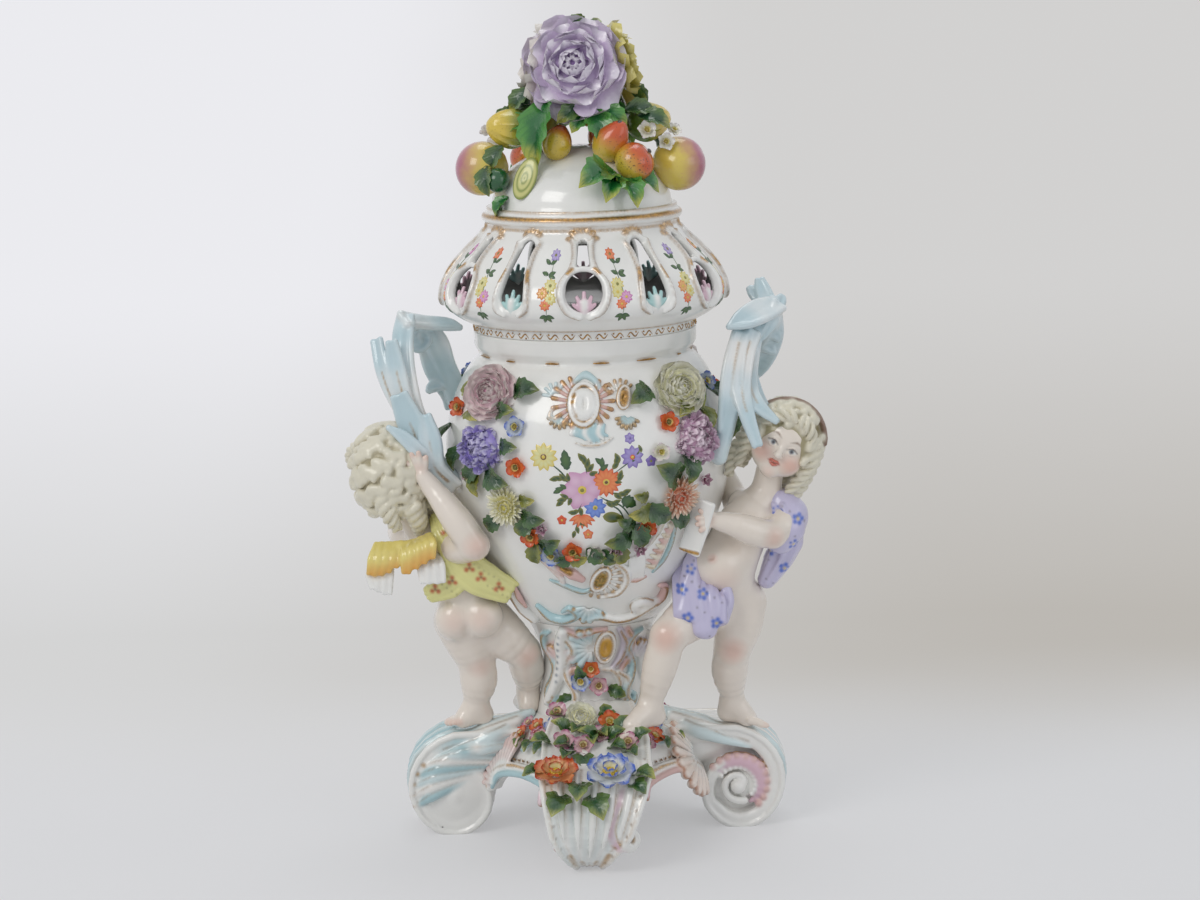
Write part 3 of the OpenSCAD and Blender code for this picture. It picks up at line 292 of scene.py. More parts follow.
class Clay:
    """A block of clay that forms are pressed onto, cut from and painted on."""

    def __init__(self, low: Point, high: Point, cell: float, ground: Paint = paint(Enamel.WHITE)) -> None:
        """Lays out an empty block.

        Args:
            low: Lowest corner in millimetres.
            high: Highest corner.
            cell: Size of a grid cell.
            ground: Colour of what is not painted.
        """
        self.low, self.cell = np.asarray(low, float), cell
        shape = np.ceil((np.asarray(high, float) - self.low) / cell).astype(int) + 1
        self.axes = [(self.low[k] + cell * np.arange(shape[k])).astype(np.float32) for k in range(3)]
        self.field = np.full(shape, 60.0, np.float32)
        self.colour = np.empty((*shape, 4), np.float32)
        self.colour[:] = (*ground.rgb, ground.gilt)

    def _window(self, form: Form, margin: float) -> Optional[tuple[tuple, list[np.ndarray]]]:
        """Finds the part of the block near a form and its open coordinates."""
        lo, hi = form.reach()
        cut = []
        for k in range(3):
            a = int(np.floor((lo[k] - margin - self.low[k]) / self.cell))
            b = int(np.ceil((hi[k] + margin - self.low[k]) / self.cell)) + 1
            a, b = max(a, 0), min(b, len(self.axes[k]))
            if b - a < 1:
                return None
            cut.append(slice(a, b))
        grids = np.ix_(*[self.axes[k][cut[k]] for k in range(3)])
        return tuple(cut), list(grids)

    def add(self, form: Form, blend: float = 1.5, coat: Optional[Paint] = None) -> "Clay":
        """Presses a form on, smoothed into what is there.

        Args:
            form: The form.
            blend: Width of the smoothed join.
            coat: Colour of the form, or None to keep what is there.

        Returns:
            The block.
        """
        found = self._window(form, blend + 3 * self.cell)
        if found is None:
            return self
        cut, grids = found
        old = self.field[cut]
        new = form.distance(*grids).astype(np.float32)
        h = np.clip(0.5 + 0.5 * (old - new) / max(blend, 1e-3), 0, 1)
        self.field[cut] = old + (new - old) * h - blend * h * (1 - h)
        if coat is not None:
            tone = np.array((*coat.rgb, coat.gilt), np.float32)
            self.colour[cut] += (tone - self.colour[cut]) * h[..., None]
        return self

    def cut(self, form: Form, blend: float = 1.0) -> "Clay":
        """Cuts a form out, with the edge rounded by blend."""
        found = self._window(form, blend + 3 * self.cell)
        if found is None:
            return self
        cut, grids = found
        old = self.field[cut]
        new = -form.distance(*grids).astype(np.float32)
        h = np.clip(0.5 - 0.5 * (old - new) / max(blend, 1e-3), 0, 1)
        self.field[cut] = old + (new - old) * h + blend * h * (1 - h)
        return self

    def stain(self, form: Form, coat: Paint, soft: float = 0.5, strength: float = 1.0) -> "Clay":
        """Paints what lies inside a form, with a soft edge, and leaves the shape alone."""
        found = self._window(form, soft + self.cell)
        if found is None:
            return self
        cut, grids = found
        h = strength * np.clip(0.5 - form.distance(*grids) / (2 * soft), 0, 1)
        tone = np.array((*coat.rgb, coat.gilt), np.float32)
        self.colour[cut] += (tone - self.colour[cut]) * h[..., None].astype(np.float32)
        return self

    def _sample(self, grid: np.ndarray, at: np.ndarray) -> np.ndarray:
        """Reads a grid between its points."""
        f = np.clip((at - self.low) / self.cell, 0, np.array(self.field.shape) - 1.001)
        i = f.astype(int)
        w = f - i
        out = 0.0
        for dx in (0, 1):
            for dy in (0, 1):
                for dz in (0, 1):
                    k = (np.abs(1 - dx - w[:, 0]) * np.abs(1 - dy - w[:, 1]) * np.abs(1 - dz - w[:, 2]))
                    v = grid[i[:, 0] + dx, i[:, 1] + dy, i[:, 2] + dz]
                    out = out + v * (k if v.ndim == 1 else k[:, None])
        return out

    def mesh(self) -> tuple[np.ndarray, np.ndarray, np.ndarray]:
        """Draws the surface of the block as quads.

        Returns:
            Points in millimetres, quads and the colour with gilding of each point.
        """
        d = self.field
        d[[0, -1], :, :] = d[:, [0, -1], :] = np.maximum(1e-3, 0.5 * self.cell)
        d[:, :, [0, -1]] = np.maximum(1e-3, 0.5 * self.cell)
        inside = d < 0
        corners = [(i, j, k) for i in (0, 1) for j in (0, 1) for k in (0, 1)]
        nx, ny, nz = (n - 1 for n in d.shape)
        count = np.zeros((nx, ny, nz), np.int8)
        for i, j, k in corners:
            count += inside[i:nx + i, j:ny + j, k:nz + k]
        cells = np.argwhere((count > 0) & (count < 8))
        index = np.full((nx, ny, nz), -1, np.int32)
        index[tuple(cells.T)] = np.arange(len(cells))
        value = [d[tuple((cells + c).T)] for c in corners]
        total, hits = np.zeros((len(cells), 3)), np.zeros(len(cells))
        for a in range(8):
            for b in range(a + 1, 8):
                ca, cb = np.array(corners[a]), np.array(corners[b])
                if np.abs(ca - cb).sum() != 1:
                    continue
                crosses = (value[a] < 0) != (value[b] < 0)
                t = np.where(crosses, value[a] / np.where(crosses, value[a] - value[b], 1), 0)
                total += np.where(crosses[:, None], ca + t[:, None] * (cb - ca), 0)
                hits += crosses
        points = self.low + self.cell * (cells + total / hits[:, None])
        quads = []
        for axis in range(3):
            u, v = (axis + 1) % 3, (axis + 2) % 3
            lo = [slice(None)] * 3
            hi = [slice(None)] * 3
            lo[axis], hi[axis] = slice(None, -1), slice(1, None)
            for s in (lo, hi):
                s[u], s[v] = slice(1, -1), slice(1, -1)
            first, second = inside[tuple(lo)], inside[tuple(hi)]
            edge = np.argwhere(first != second)
            out = first[tuple(edge.T)]
            at = edge.copy()
            at[:, u] += 1
            at[:, v] += 1
            ring = []
            for du, dv in ((-1, -1), (0, -1), (0, 0), (-1, 0)):
                c = at.copy()
                c[:, u] += du
                c[:, v] += dv
                ring.append(index[tuple(c.T)])
            ring = np.stack(ring, 1)
            ring[~out] = ring[~out][:, ::-1]
            quads.append(ring)
        faces = np.concatenate(quads)
        e = 0.5 * self.cell
        for _ in range(2):
            here = self._sample(d, points)
            grad = np.stack([self._sample(d, points + e * np.eye(3)[k])
                - self._sample(d, points - e * np.eye(3)[k]) for k in range(3)], 1) / (2 * e)
            step = here / np.maximum((grad**2).sum(1), 0.2)
            points = points - np.clip(step, -0.5 * self.cell, 0.5 * self.cell)[:, None] * grad
        return points, faces, self._sample(self.colour, points)


def graded(count: int, values: Sequence[float], shares: Optional[Sequence[float]] = None) -> np.ndarray:
    """Spreads values over the points of a path.

    Args:
        count: Number of points.
        values: Values from the start to the end.
        shares: Where they hold, as shares of the path, or None for even steps.

    Returns:
        One value for each point.
    """
    steps = np.linspace(0, 1, len(values)) if shares is None else shares
    return np.interp(np.linspace(0, 1, count), steps, values)


def make_piece(name: str, points: np.ndarray, faces: np.ndarray, material: bpy.types.Material,
        colour: Optional[np.ndarray] = None,
        extra: Optional[dict[str, np.ndarray]] = None) -> bpy.types.Object:
    """Makes a smooth mesh object.

    Args:
        name: Name of the piece.
        points: Points in millimetres.
        faces: Quads or triangles, one row each.
        material: Finish of the piece.
        colour: Colour and gilding of each point.
        extra: Further point values by attribute name.

    Returns:
        The object.
    """
    mesh = bpy.data.meshes.new(name)
    n, m, k = len(points), len(faces), faces.shape[1]
    mesh.vertices.add(n)
    mesh.vertices.foreach_set("co", (np.asarray(points, np.float32) * MM).ravel())
    mesh.loops.add(m * k)
    mesh.loops.foreach_set("vertex_index", np.asarray(faces, np.int32).ravel())
    mesh.polygons.add(m)
    mesh.polygons.foreach_set("loop_start", np.arange(0, m * k, k, dtype=np.int32))
    mesh.update(calc_edges=True)
    mesh.polygons.foreach_set("use_smooth", np.ones(m, bool))
    mesh.set_sharp_from_angle(angle=SHARP_EDGE)
    if colour is not None:
        rgba = np.concatenate([colour[:, :3], np.ones((n, 1))], 1).astype(np.float32)
        mesh.attributes.new("paint", "FLOAT_COLOR", "POINT").data.foreach_set("color", rgba.ravel())
        mesh.attributes.new("gilt", "FLOAT", "POINT").data.foreach_set("value",
            colour[:, 3].astype(np.float32))
    for key, value in (extra or {}).items():
        mesh.attributes.new(key, "FLOAT", "POINT").data.foreach_set("value", value.astype(np.float32))
    mesh.validate()
    obj = bpy.data.objects.new(name, mesh)
    bpy.context.scene.collection.objects.link(obj)
    mesh.materials.append(material)
    return obj


def thin(obj: bpy.types.Object, heavy: int = 80000, share: float = 0.6) -> None:
    """Thins a heavy mesh where its colour is even, so that painted lines stay sharp.

    Brushed enamels are left alone, because their lines are as thin as their triangles.

    Args:
        obj: Piece to thin.
        heavy: Triangles up to which a piece is left alone.
        share: Share of the triangles to keep.
    """
    mesh = obj.data
    count = len(mesh.vertices)
    brushed = obj.name.endswith("_enamels")
    if brushed or len(mesh.loops) - 2 * len(mesh.polygons) <= heavy or "paint" not in mesh.attributes:
        return
    ends = np.empty(2 * len(mesh.edges), np.int32)
    mesh.edges.foreach_get("vertices", ends)
    ends = ends.reshape(-1, 2)
    tone = np.empty(4 * count, np.float32)
    mesh.attributes["paint"].data.foreach_get("color", tone)
    tone = tone.reshape(-1, 4)
    painted = np.abs(tone[ends[:, 0]] - tone[ends[:, 1]]).max(1) > 0.02
    even = np.ones(count, bool)
    even[ends[painted].ravel()] = False
    obj.vertex_groups.new(name="even").add(np.flatnonzero(even).tolist(), 1.0, "REPLACE")
    tool = obj.modifiers.new("thin", "DECIMATE")
    tool.ratio = share
    tool.vertex_group = "even"
    graph = bpy.context.evaluated_depsgraph_get()
    fresh = bpy.data.meshes.new_from_object(obj.evaluated_get(graph))
    obj.modifiers.remove(tool)
    obj.vertex_groups.clear()
    obj.data = fresh
    bpy.data.meshes.remove(mesh)
    fresh.name = obj.name
    fresh.polygons.foreach_set("use_smooth", np.ones(len(fresh.polygons), bool))
    fresh.set_sharp_from_angle(angle=SHARP_EDGE)


def seat(obj: bpy.types.Object, body: str, nodes: Iterable[str]) -> bpy.types.Object:
    """Rides a piece on its body and hides the plain solids that it stands for."""
    thin(obj)
    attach(obj, body)
    for node in nodes:
        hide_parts(node)
    LOG.info("%s: %d faces", obj.name, len(obj.data.polygons))
    return obj


def fire(clay: Clay, name: str, glaze: bpy.types.Material, body: str,
        nodes: Iterable[str]) -> None:
    """Takes the mesh of modelled clay and seats it as a piece.

    Args:
        clay: The modelled clay.
        name: Name of the piece.
        glaze: Finish of the piece.
        body: Body that it rides on.
        nodes: The solids that it stands for.
    """
    points, faces, tones = clay.mesh()
    seat(make_piece(name, points, faces, glaze, tones), body, nodes)


class Sock:
    """An output socket that does maths with ordinary operators."""

    def __init__(self, shader: "Shader", out: bpy.types.NodeSocket) -> None:
        """Wraps an output socket of a shader's tree."""
        self.shader, self.out = shader, out

    def _math(self, operation: str, *values: "Value") -> "Sock":
        """Adds one Math node."""
        return self.shader.node("ShaderNodeMath", {"operation": operation}, dict(enumerate(values)))

    def __add__(self, other: "Value") -> "Sock":
        """Adds."""
        return self._math("ADD", self, other)

    __radd__ = __add__

    def __mul__(self, other: "Value") -> "Sock":
        """Multiplies."""
        return self._math("MULTIPLY", self, other)

    __rmul__ = __mul__

    def __sub__(self, other: "Value") -> "Sock":
        """Subtracts."""
        return self._math("SUBTRACT", self, other)

    def __rsub__(self, other: "Value") -> "Sock":
        """Subtracts this from a number."""
        return self._math("SUBTRACT", other, self)

    def power(self, other: "Value") -> "Sock":
        """Raises to a power."""
        return self._math("POWER", self, other)

    def sine(self) -> "Sock":
        """Takes the sine."""
        return self._math("SINE", self)

    def ramp(self, low: float, high: float) -> "Sock":
        """Maps low to 0 and high to 1 with a smooth step."""
        return self.shader.node("ShaderNodeMapRange", {"interpolation_type": "SMOOTHSTEP"},
            {"Value": self, "From Min": low, "From Max": high})


Value = Union[Sock, float]


class Shader:
    """A material's node tree, written as maths on sockets."""

    def __init__(self, name: str) -> None:
        """Makes an empty material."""
        self.material = bpy.data.materials.new(name)
        self.material.use_nodes = True
        self.tree = self.material.node_tree
        self.tree.nodes.clear()

    def node(self, kind: str, settings: Optional[dict] = None, inputs: Optional[dict] = None,
            output: Union[int, str] = 0) -> Sock:
        """Adds any node.

        Args:
            kind: Blender's name of the node type.
            settings: Properties to set.
            inputs: Values or sockets by input name or number.
            output: Which output to hand back.

        Returns:
            The output socket.
        """
        made = self.tree.nodes.new(kind)
        for key, value in (settings or {}).items():
            setattr(made, key, value)
        for key, value in (inputs or {}).items():
            if isinstance(value, Sock):
                self.tree.links.new(value.out, made.inputs[key])
            else:
                made.inputs[key].default_value = value
        return Sock(self, made.outputs[output])

    def mix(self, factor: Value, first: Union[Sock, Colour], second: Union[Sock, Colour],
            blend: str = "MIX") -> Sock:
        """Mixes two colours."""
        first, second = ((*c, 1.0) if isinstance(c, tuple) else c for c in (first, second))
        return self.node("ShaderNodeMix", {"data_type": "RGBA", "blend_type": blend},
            {0: factor, 6: first, 7: second}, 2)

    def noise(self, scale: float, detail: float) -> Sock:
        """Adds noise in the object's own metres."""
        place = self.node("ShaderNodeTexCoord", output="Object")
        return self.node("ShaderNodeTexNoise", {}, {"Vector": place, "Scale": scale, "Detail": detail}, 0)

    def value(self, name: str) -> Sock:
        """Reads a number stored on the mesh."""
        return self.node("ShaderNodeAttribute", {"attribute_name": name}, output="Fac")

    def colour(self, name: str) -> Sock:
        """Reads a colour stored on the mesh."""
        return self.node("ShaderNodeAttribute", {"attribute_name": name}, output="Color")

    def bump(self, height: Sock, strength: float, depth: float) -> Sock:
        """Turns a height into a normal."""
        return self.node("ShaderNodeBump", {}, {"Height": height, "Strength": strength, "Distance": depth})

    def place(self) -> tuple[Sock, Sock, Sock]:
        """Splits the place in the object's own metres."""
        at = self.node("ShaderNodeTexCoord", output="Object")
        return tuple(self.node("ShaderNodeSeparateXYZ", {}, {0: at}, k) for k in range(3))

    def sight(self) -> Sock:
        """Tells the rays that see or mirror a surface from those that light it."""
        ways = [self.node("ShaderNodeLightPath", output=f"Is {w} Ray") for w in ("Camera", "Glossy",
            "Transmission")]
        return self.node("ShaderNodeMath", {"operation": "ADD", "use_clamp": True},
            {0: ways[0], 1: ways[1] + ways[2]})

    def end(self, shade: Sock) -> bpy.types.Material:
        """Ends the tree in a shader."""
        out = self.tree.nodes.new("ShaderNodeOutputMaterial")
        self.tree.links.new(shade.out, out.inputs["Surface"])
        return self.material

    def surface(self, inputs: dict) -> bpy.types.Material:
        """Ends the tree in a principled surface."""
        return self.end(self.node("ShaderNodeBsdfPrincipled", {}, inputs))


@dataclass(frozen=True)
class Glaze:
    """A glazed and enamelled finish that reads the paint and the gilding of each point.

    Attributes:
        name: Name of the material.
        rough: Roughness of the glaze.
        coat: Weight of the clear glaze over the colour.
        mottle: Unevenness of the colour.
        ripple: Strength of the glaze's ripples.
    """

    name: str
    rough: float = 0.16
    coat: float = 0.6
    mottle: float = 0.05
    ripple: float = 0.06

    def material(self) -> bpy.types.Material:
        """Builds the material."""
        s = Shader(self.name)
        broad, fine = s.noise(70, 3), s.noise(620, 4)
        shade = 1.0 - self.mottle + broad * (2 * self.mottle)
        body = s.mix(1.0, s.colour("paint"), shade, "MULTIPLY")
        gold = s.mix(fine.ramp(0.35, 0.65), linear(122, 84, 40), linear(196, 150, 72))
        worn = s.value("gilt") * fine.ramp(0.22, 0.5)
        return s.surface({
            "Base Color": s.mix(worn, body, gold),
            "Metallic": worn * 0.75,
            "Roughness": self.rough + worn * 0.16 + fine * 0.08,
            "Coat Weight": self.coat,
            "Coat Roughness": 0.06,
            "Normal": s.bump(broad + fine * 0.25, self.ripple, 0.0006),
        })


@dataclass(frozen=True)
class PetalGlaze:
    """A petal's enamel from heart to rim, with streaks from its foot to its tip.

    Attributes:
        name: Name of the material.
        heart: Colour in the middle of the bloom.
        flesh: Colour of the petals.
        rim: Colour of the petals' edges.
        streak: Strength of the streaks.
    """

    name: str
    heart: Colour
    flesh: Colour
    rim: Colour
    streak: float = 0.35

    def material(self) -> bpy.types.Material:
        """Builds the material."""
        s = Shader(self.name)
        ring, along, across = s.value("ring"), s.value("along"), s.value("across")
        fine = s.noise(420, 3)
        inner = s.mix(ring.ramp(0.0, 0.75), self.heart, self.flesh)
        edge = (along + fine * 0.3).ramp(0.72, 1.18)
        lines = ((across * 26.0 + fine * 5.0).sine() * 0.5 + 0.5) * (1.0 - along) * self.streak
        tinted = s.mix(edge, inner, self.rim)
        shade = 0.95 + s.noise(90, 2) * 0.1
        return s.surface({
            "Base Color": s.mix(1.0, s.mix(lines, tinted, self.heart), shade, "MULTIPLY"),
            "Roughness": 0.2 + fine * 0.1,
            "Coat Weight": 0.5,
            "Coat Roughness": 0.08,
            "Normal": s.bump((across * 40.0).sine() * 0.5 + fine, 0.12, 0.0004),
        })


@dataclass(frozen=True)
class FruitGlaze:
    """A fruit's skin: one colour at the stalk, one at the flower end, with specks.

    Attributes:
        name: Name of the material.
        low: Colour at the foot of the fruit.
        high: Colour at the far end.
        speck: Colour of the specks.
        specks: Strength of the specks.
    """

    name: str
    low: Colour
    high: Colour
    speck: Colour
    specks: float = 0.5

    def material(self) -> bpy.types.Material:
        """Builds the material."""
        s = Shader(self.name)
        along, fine = s.value("along"), s.noise(520, 2)
        skin = s.mix((along + s.noise(110, 2) * 0.3).ramp(0.42, 0.98), self.low, self.high)
        dots = s.noise(900, 1).ramp(0.62, 0.7) * self.specks
        return s.surface({
            "Base Color": s.mix(dots, skin, self.speck),
            "Roughness": 0.18 + fine * 0.1,
            "Coat Weight": 0.6,
            "Coat Roughness": 0.06,
            "Normal": s.bump(fine, 0.08, 0.0004),
        })


def lathe(profile: Sequence[Pair], segments: int) -> tuple[np.ndarray, np.ndarray]:
    """Turns a profile about the axis; a profile that ends on the axis is closed there.

    Args:
        profile: Radius and height pairs, upwards along the outside.
        segments: Even number of segments round the axis.

    Returns:
        Points in millimetres and quads.
    """
    a = np.radians(np.arange(segments) * 360 / segments)
    poles = [p for p in (profile[0], profile[-1]) if p[0] < 1e-6]
    rings = [p for p in profile if p[0] >= 1e-6]
    points = [np.stack([r * np.cos(a), r * np.sin(a), np.full(segments, z)], 1) for r, z in rings]
    i = np.arange(segments)
    j = (i + 1) % segments
    faces = []
    count = len(rings)
    loops = range(count if not poles else count - 1)
    for k in loops:
        n = (k + 1) % count
        faces.append(np.stack([k * segments + i, k * segments + j, n * segments + j, n * segments + i], 1))
    total = count * segments
    even, mid, far = i[::2], (i[::2] + 1) % segments, (i[::2] + 2) % segments
    if profile[0][0] < 1e-6:
        points.append(np.array([[0, 0, profile[0][1]]]))
        faces.append(np.stack([np.full(len(even), total), far, mid, even], 1))
        total += 1
    if profile[-1][0] < 1e-6:
        points.append(np.array([[0, 0, profile[-1][1]]]))
        base = (count - 1) * segments
        faces.append(np.stack([np.full(len(even), total), base + even, base + mid, base + far], 1))
    return np.concatenate(points), np.concatenate(faces)


def flat_paint(count: int, coat: Paint) -> np.ndarray:
    """Gives every point of a mesh one paint."""
    return np.tile(np.array((*coat.rgb, coat.gilt)), (count, 1))


@dataclass
class Skin:
    """A turned surface that enamel is laid on.

    Attributes:
        radius: Radius in millimetres for a height.
    """

    radius: Callable[[np.ndarray], np.ndarray]

    def place(self, turn: np.ndarray, z: np.ndarray, out: np.ndarray) -> np.ndarray:
        """Finds points by angle from the front, height and distance from the skin."""
        turn, z, out = (np.asarray(v, float) for v in (turn, z, out))
        slope = self.radius(z + 0.25) - self.radius(z - 0.25)
        slope = np.clip(slope / 0.5, -6, 6)
        flat = np.sqrt(1 + slope * slope)
        r = self.radius(z) + out / flat
        a = np.radians(FRONT + turn)
        return np.stack(np.broadcast_arrays(r * np.cos(a), r * np.sin(a), z - out * slope / flat), -1)

    def spread(self, turn: float, z: float, u: np.ndarray, v: np.ndarray, out: np.ndarray) -> np.ndarray:
        """Lays a flat drawing on the skin.

        Args:
            turn: Angle of the drawing's middle from the front.
            z: Height of the middle.
            u: Millimetres to the right.
            v: Millimetres up.
            out: Distance from the skin.

        Returns:
            Points in millimetres.
        """
        slope = float(np.clip((self.radius(np.array(z + 0.5)) - self.radius(np.array(z - 0.5))), -3, 3))
        up = 1 / math.sqrt(1 + slope * slope)
        high = z + np.asarray(v) * up
        return self.place(turn + np.degrees(np.asarray(u) / self.radius(np.full_like(high, z))), high, out)


class Painter:
    """Lays thin closed patches of enamel on a skin."""

    RINGS = (1.0, 0.8, 0.5, 0.22)

    def __init__(self, skin: Skin) -> None:
        """Takes up a brush for one skin."""
        self.skin = skin
        self.points: list[np.ndarray] = []
        self.faces: list[np.ndarray] = []
        self.tones: list[np.ndarray] = []
        self.total = 0

    def _keep(self, points: np.ndarray, faces: np.ndarray, tones: np.ndarray) -> None:
        """Stores one patch."""
        self.points.append(points)
        self.faces.append(faces + self.total)
        self.tones.append(tones)
        self.total += len(points)

    def blot(self, turn: float, z: float, outline: np.ndarray, rim: Paint, heart: Paint,
            lift: float = 0.35) -> None:
        """Lays one patch with a given outline.

        Args:
            turn: Angle of the drawing's middle from the front.
            z: Height of the middle.
            outline: Points of the outline, in order, to the right and up.
            rim: Paint at the edge.
            heart: Paint in the middle.
            lift: Height of the patch in its middle.
        """
        n = len(outline)
        mid = outline.mean(0)
        area = np.roll(outline, -1, 0)
        if (outline[:, 0] * area[:, 1] - outline[:, 1] * area[:, 0]).sum() < 0:
            outline = outline[::-1]
        rings, tones = [], []
        a, b = (np.array((*c.rgb, c.gilt)) for c in (rim, heart))
        for t in self.RINGS:
            flat = mid + (outline - mid) * t
            rings.append(self.skin.spread(turn, z, flat[:, 0], flat[:, 1],
                np.full(n, lift * (1 - t**3) + 0.04)))
            tones.append(np.tile(b + (a - b) * t**1.5, (n, 1)))
        rings.append(self.skin.spread(turn, z, outline[:, 0], outline[:, 1], np.full(n, -0.5)))
        tones.append(np.tile(a, (n, 1)))
        top = self.skin.spread(turn, z, mid[None, 0], mid[None, 1], np.array([lift + 0.04]))
        low = self.skin.spread(turn, z, mid[None, 0], mid[None, 1], np.array([-1.2]))
        i = np.arange(n)
        j = (i + 1) % n
        faces = []
        for k in range(len(self.RINGS) - 1):
            faces.append(np.stack([k * n + i, k * n + j, (k + 1) * n + j, (k + 1) * n + i], 1))
        last = len(self.RINGS)
        faces.append(np.stack([last * n + i, last * n + j, j, i], 1))
        e, m, f = i[::2], (i[::2] + 1) % n, (i[::2] + 2) % n
        hub = (last + 1) * n
        inner = (last - 1) * n
        faces.append(np.stack([np.full(len(e), hub), inner + e, inner + m, inner + f], 1))
        faces.append(np.stack([np.full(len(e), hub + 1), last * n + f, last * n + m, last * n + e], 1))
        self._keep(np.concatenate([*rings, top, low]), np.concatenate(faces),
            np.concatenate([*tones, b[None], a[None]]))

    def leaf(self, turn: float, z: float, length: float, width: float, lean: float, rim: Paint,
            heart: Paint, at: Pair = (0, 0), teeth: int = 0) -> None:
        """Paints a leaf or a petal that starts at a point and leans by degrees from upright."""
        t = np.linspace(0, 1, 13)
        half = width / 2 * np.sin(np.pi * t**0.8) ** 0.8
        if teeth:
            half = half * (1 + 0.16 * np.sin(t * teeth * 2 * np.pi))
        side = np.concatenate([np.stack([half, t * length], 1),
            np.stack([-half[-2:0:-1], t[-2:0:-1] * length], 1)])
        a = math.radians(lean)
        turned = np.stack([side[:, 0] * math.cos(a) + side[:, 1] * math.sin(a), -side[:, 0] * math.sin(a)
            + side[:, 1] * math.cos(a)], 1)
        self.blot(turn, z, turned + np.asarray(at), rim, heart)

    def bloom(self, turn: float, z: float, radius: float, petals: int, rim: Paint, heart: Paint, eye: Paint,
            at: Pair = (0, 0)) -> None:
        """Paints a flower as petals round an eye."""
        wide = radius * 4.2 / petals + radius * 0.16
        for k in range(petals):
            self.leaf(turn, z, radius, wide, 360 * k / petals, rim, heart, at)
        self.dot(turn, z, radius * 0.26, eye, at)

    def dot(self, turn: float, z: float, radius: float, coat: Paint, at: Pair = (0, 0),
            lift: float = 0.6) -> None:
        """Paints a round dot."""
        a = np.radians(np.arange(10) * 36)
        ring = np.stack([radius * np.cos(a), radius * np.sin(a)], 1)
        self.blot(turn, z, ring + np.asarray(at), coat, coat, lift)

    def stroke(self, turn: float, z: float, path: Sequence[Pair], width: float, coat: Paint) -> None:
        """Draws a brush stroke with thin ends along a path of points to the right and up.

        Args:
            turn: Angle of the drawing's middle from the front.
            z: Height of the middle.
            path: Points of the stroke.
            width: Full width.
            coat: Paint of the stroke.
        """
        p = smooth(np.asarray(path, float), 6)
        n = len(p)
        d = np.gradient(p, axis=0)
        d /= np.maximum(np.linalg.norm(d, axis=1), 1e-9)[:, None]
        side = np.stack([d[:, 1], -d[:, 0]], 1)
        t = np.linspace(0, 1, n)
        half = width / 2 * np.maximum(np.sin(np.pi * t), 0.12) ** 0.6
        rows = []
        for k, out in ((1, 0.03), (0, 0.3), (-1, 0.03), (0, -0.8)):
            q = p + side * (half * k)[:, None]
            rows.append(self.skin.spread(turn, z, q[:, 0], q[:, 1], np.full(n, out)))
        i = np.arange(n - 1)
        faces = [np.stack([a * n + i, b * n + i, b * n + i + 1, a * n + i + 1], 1)[:, ::-1]
            for a, b in ((0, 1), (1, 2), (2, 3), (3, 0))]
        faces.append(np.array([[0, n, 2 * n, 3 * n], [4 * n - 1, 3 * n - 1, 2 * n - 1, n - 1]])[:, ::-1])
        self._keep(np.concatenate(rows), np.concatenate(faces), flat_paint(4 * n, coat))

    def piece(self, name: str, material: bpy.types.Material) -> bpy.types.Object:
        """Hands over everything that was painted as one mesh."""
        return make_piece(name, np.concatenate(self.points), np.concatenate(self.faces), material,
            np.concatenate(self.tones))


def smooth(path: np.ndarray, steps: int) -> np.ndarray:
    """Draws a smooth curve through points.

    Args:
        path: Points of any dimension.
        steps: Steps between two points.

    Returns:
        The points of the curve.
    """
    path = np.asarray(path, float)
    if len(path) < 3:
        t = np.linspace(0, 1, steps + 1)[:, None]
        return path[0] + (path[-1] - path[0]) * t
    p = np.concatenate([[2 * path[0] - path[1]], path, [2 * path[-1] - path[-2]]])
    out = []
    for k in range(len(path) - 1):
        a, b, c, d = p[k:k + 4]
        t = np.linspace(0, 1, steps, endpoint=False)[:, None]
        out.append(0.5 * (2 * b + (c - a) * t + (2 * a - 5 * b + 4 * c - d) * t**2
            + (3 * b - a - 3 * c + d) * t**3))
    return np.concatenate([*out, path[-1:]])


def body_radius(z: np.ndarray) -> np.ndarray:
    """Radius of the vase's body and neck at a height."""
    z = np.asarray(z, float)
    low = 44 + 46.5 * np.sin(np.radians(90 * np.clip((z - BODY_FOOT) / 110, 0, 1))) ** 0.85
    high = 67 + 23.5 * np.maximum(np.cos(np.radians(90 * np.clip((z - 250) / 59, 0, 1))), 0) ** 0.7
    neck = 67 + 3.3 * np.clip((z - 309) / 6.4, 0, 1)
    return np.where(z < 250, low, np.where(z < 309, high, neck))


def cover_radius(z: np.ndarray) -> np.ndarray:
    """Radius of the pierced cover at a height."""
    z = np.asarray(z, float)
    bulge = 70.3 + 19.7 * np.sin(np.radians(90 * np.clip((z - 330) / 17, 0, 1))) ** 0.8
    flank = 60 + 30 * np.cos(np.radians(90 * np.clip((z - 347) / 43, 0, 1))) ** 1.2
    return np.where(z < 330, 70.3, np.where(z < 347, bulge, np.where(z < 390, flank, 60.0)))


def dome_radius(z: np.ndarray) -> np.ndarray:
    """Radius of the dome that carries the finial."""
    return 56.5 * np.sqrt(np.maximum(1 - ((np.asarray(z, float) - DOME_FOOT) / DOME_RISE) ** 2, 1e-4))


BODY, COVER, DOME = Skin(body_radius), Skin(cover_radius), Skin(dome_radius)


def trace(skin: Skin, turn: float, path: Sequence[Pair], out: float = 0.0, steps: int = 4) -> np.ndarray:
    """Lays a drawn line on a skin.

    Args:
        skin: The skin.
        turn: Angle of the drawing's middle from the front.
        path: Millimetres to the right and height of each point.
        out: Distance from the skin.
        steps: Steps between two points.

    Returns:
        Points in millimetres.
    """
    p = smooth(np.asarray(path, float), steps)
    return skin.place(turn + np.degrees(p[:, 0] / skin.radius(p[:, 1])), p[:, 1], np.full(len(p), out))


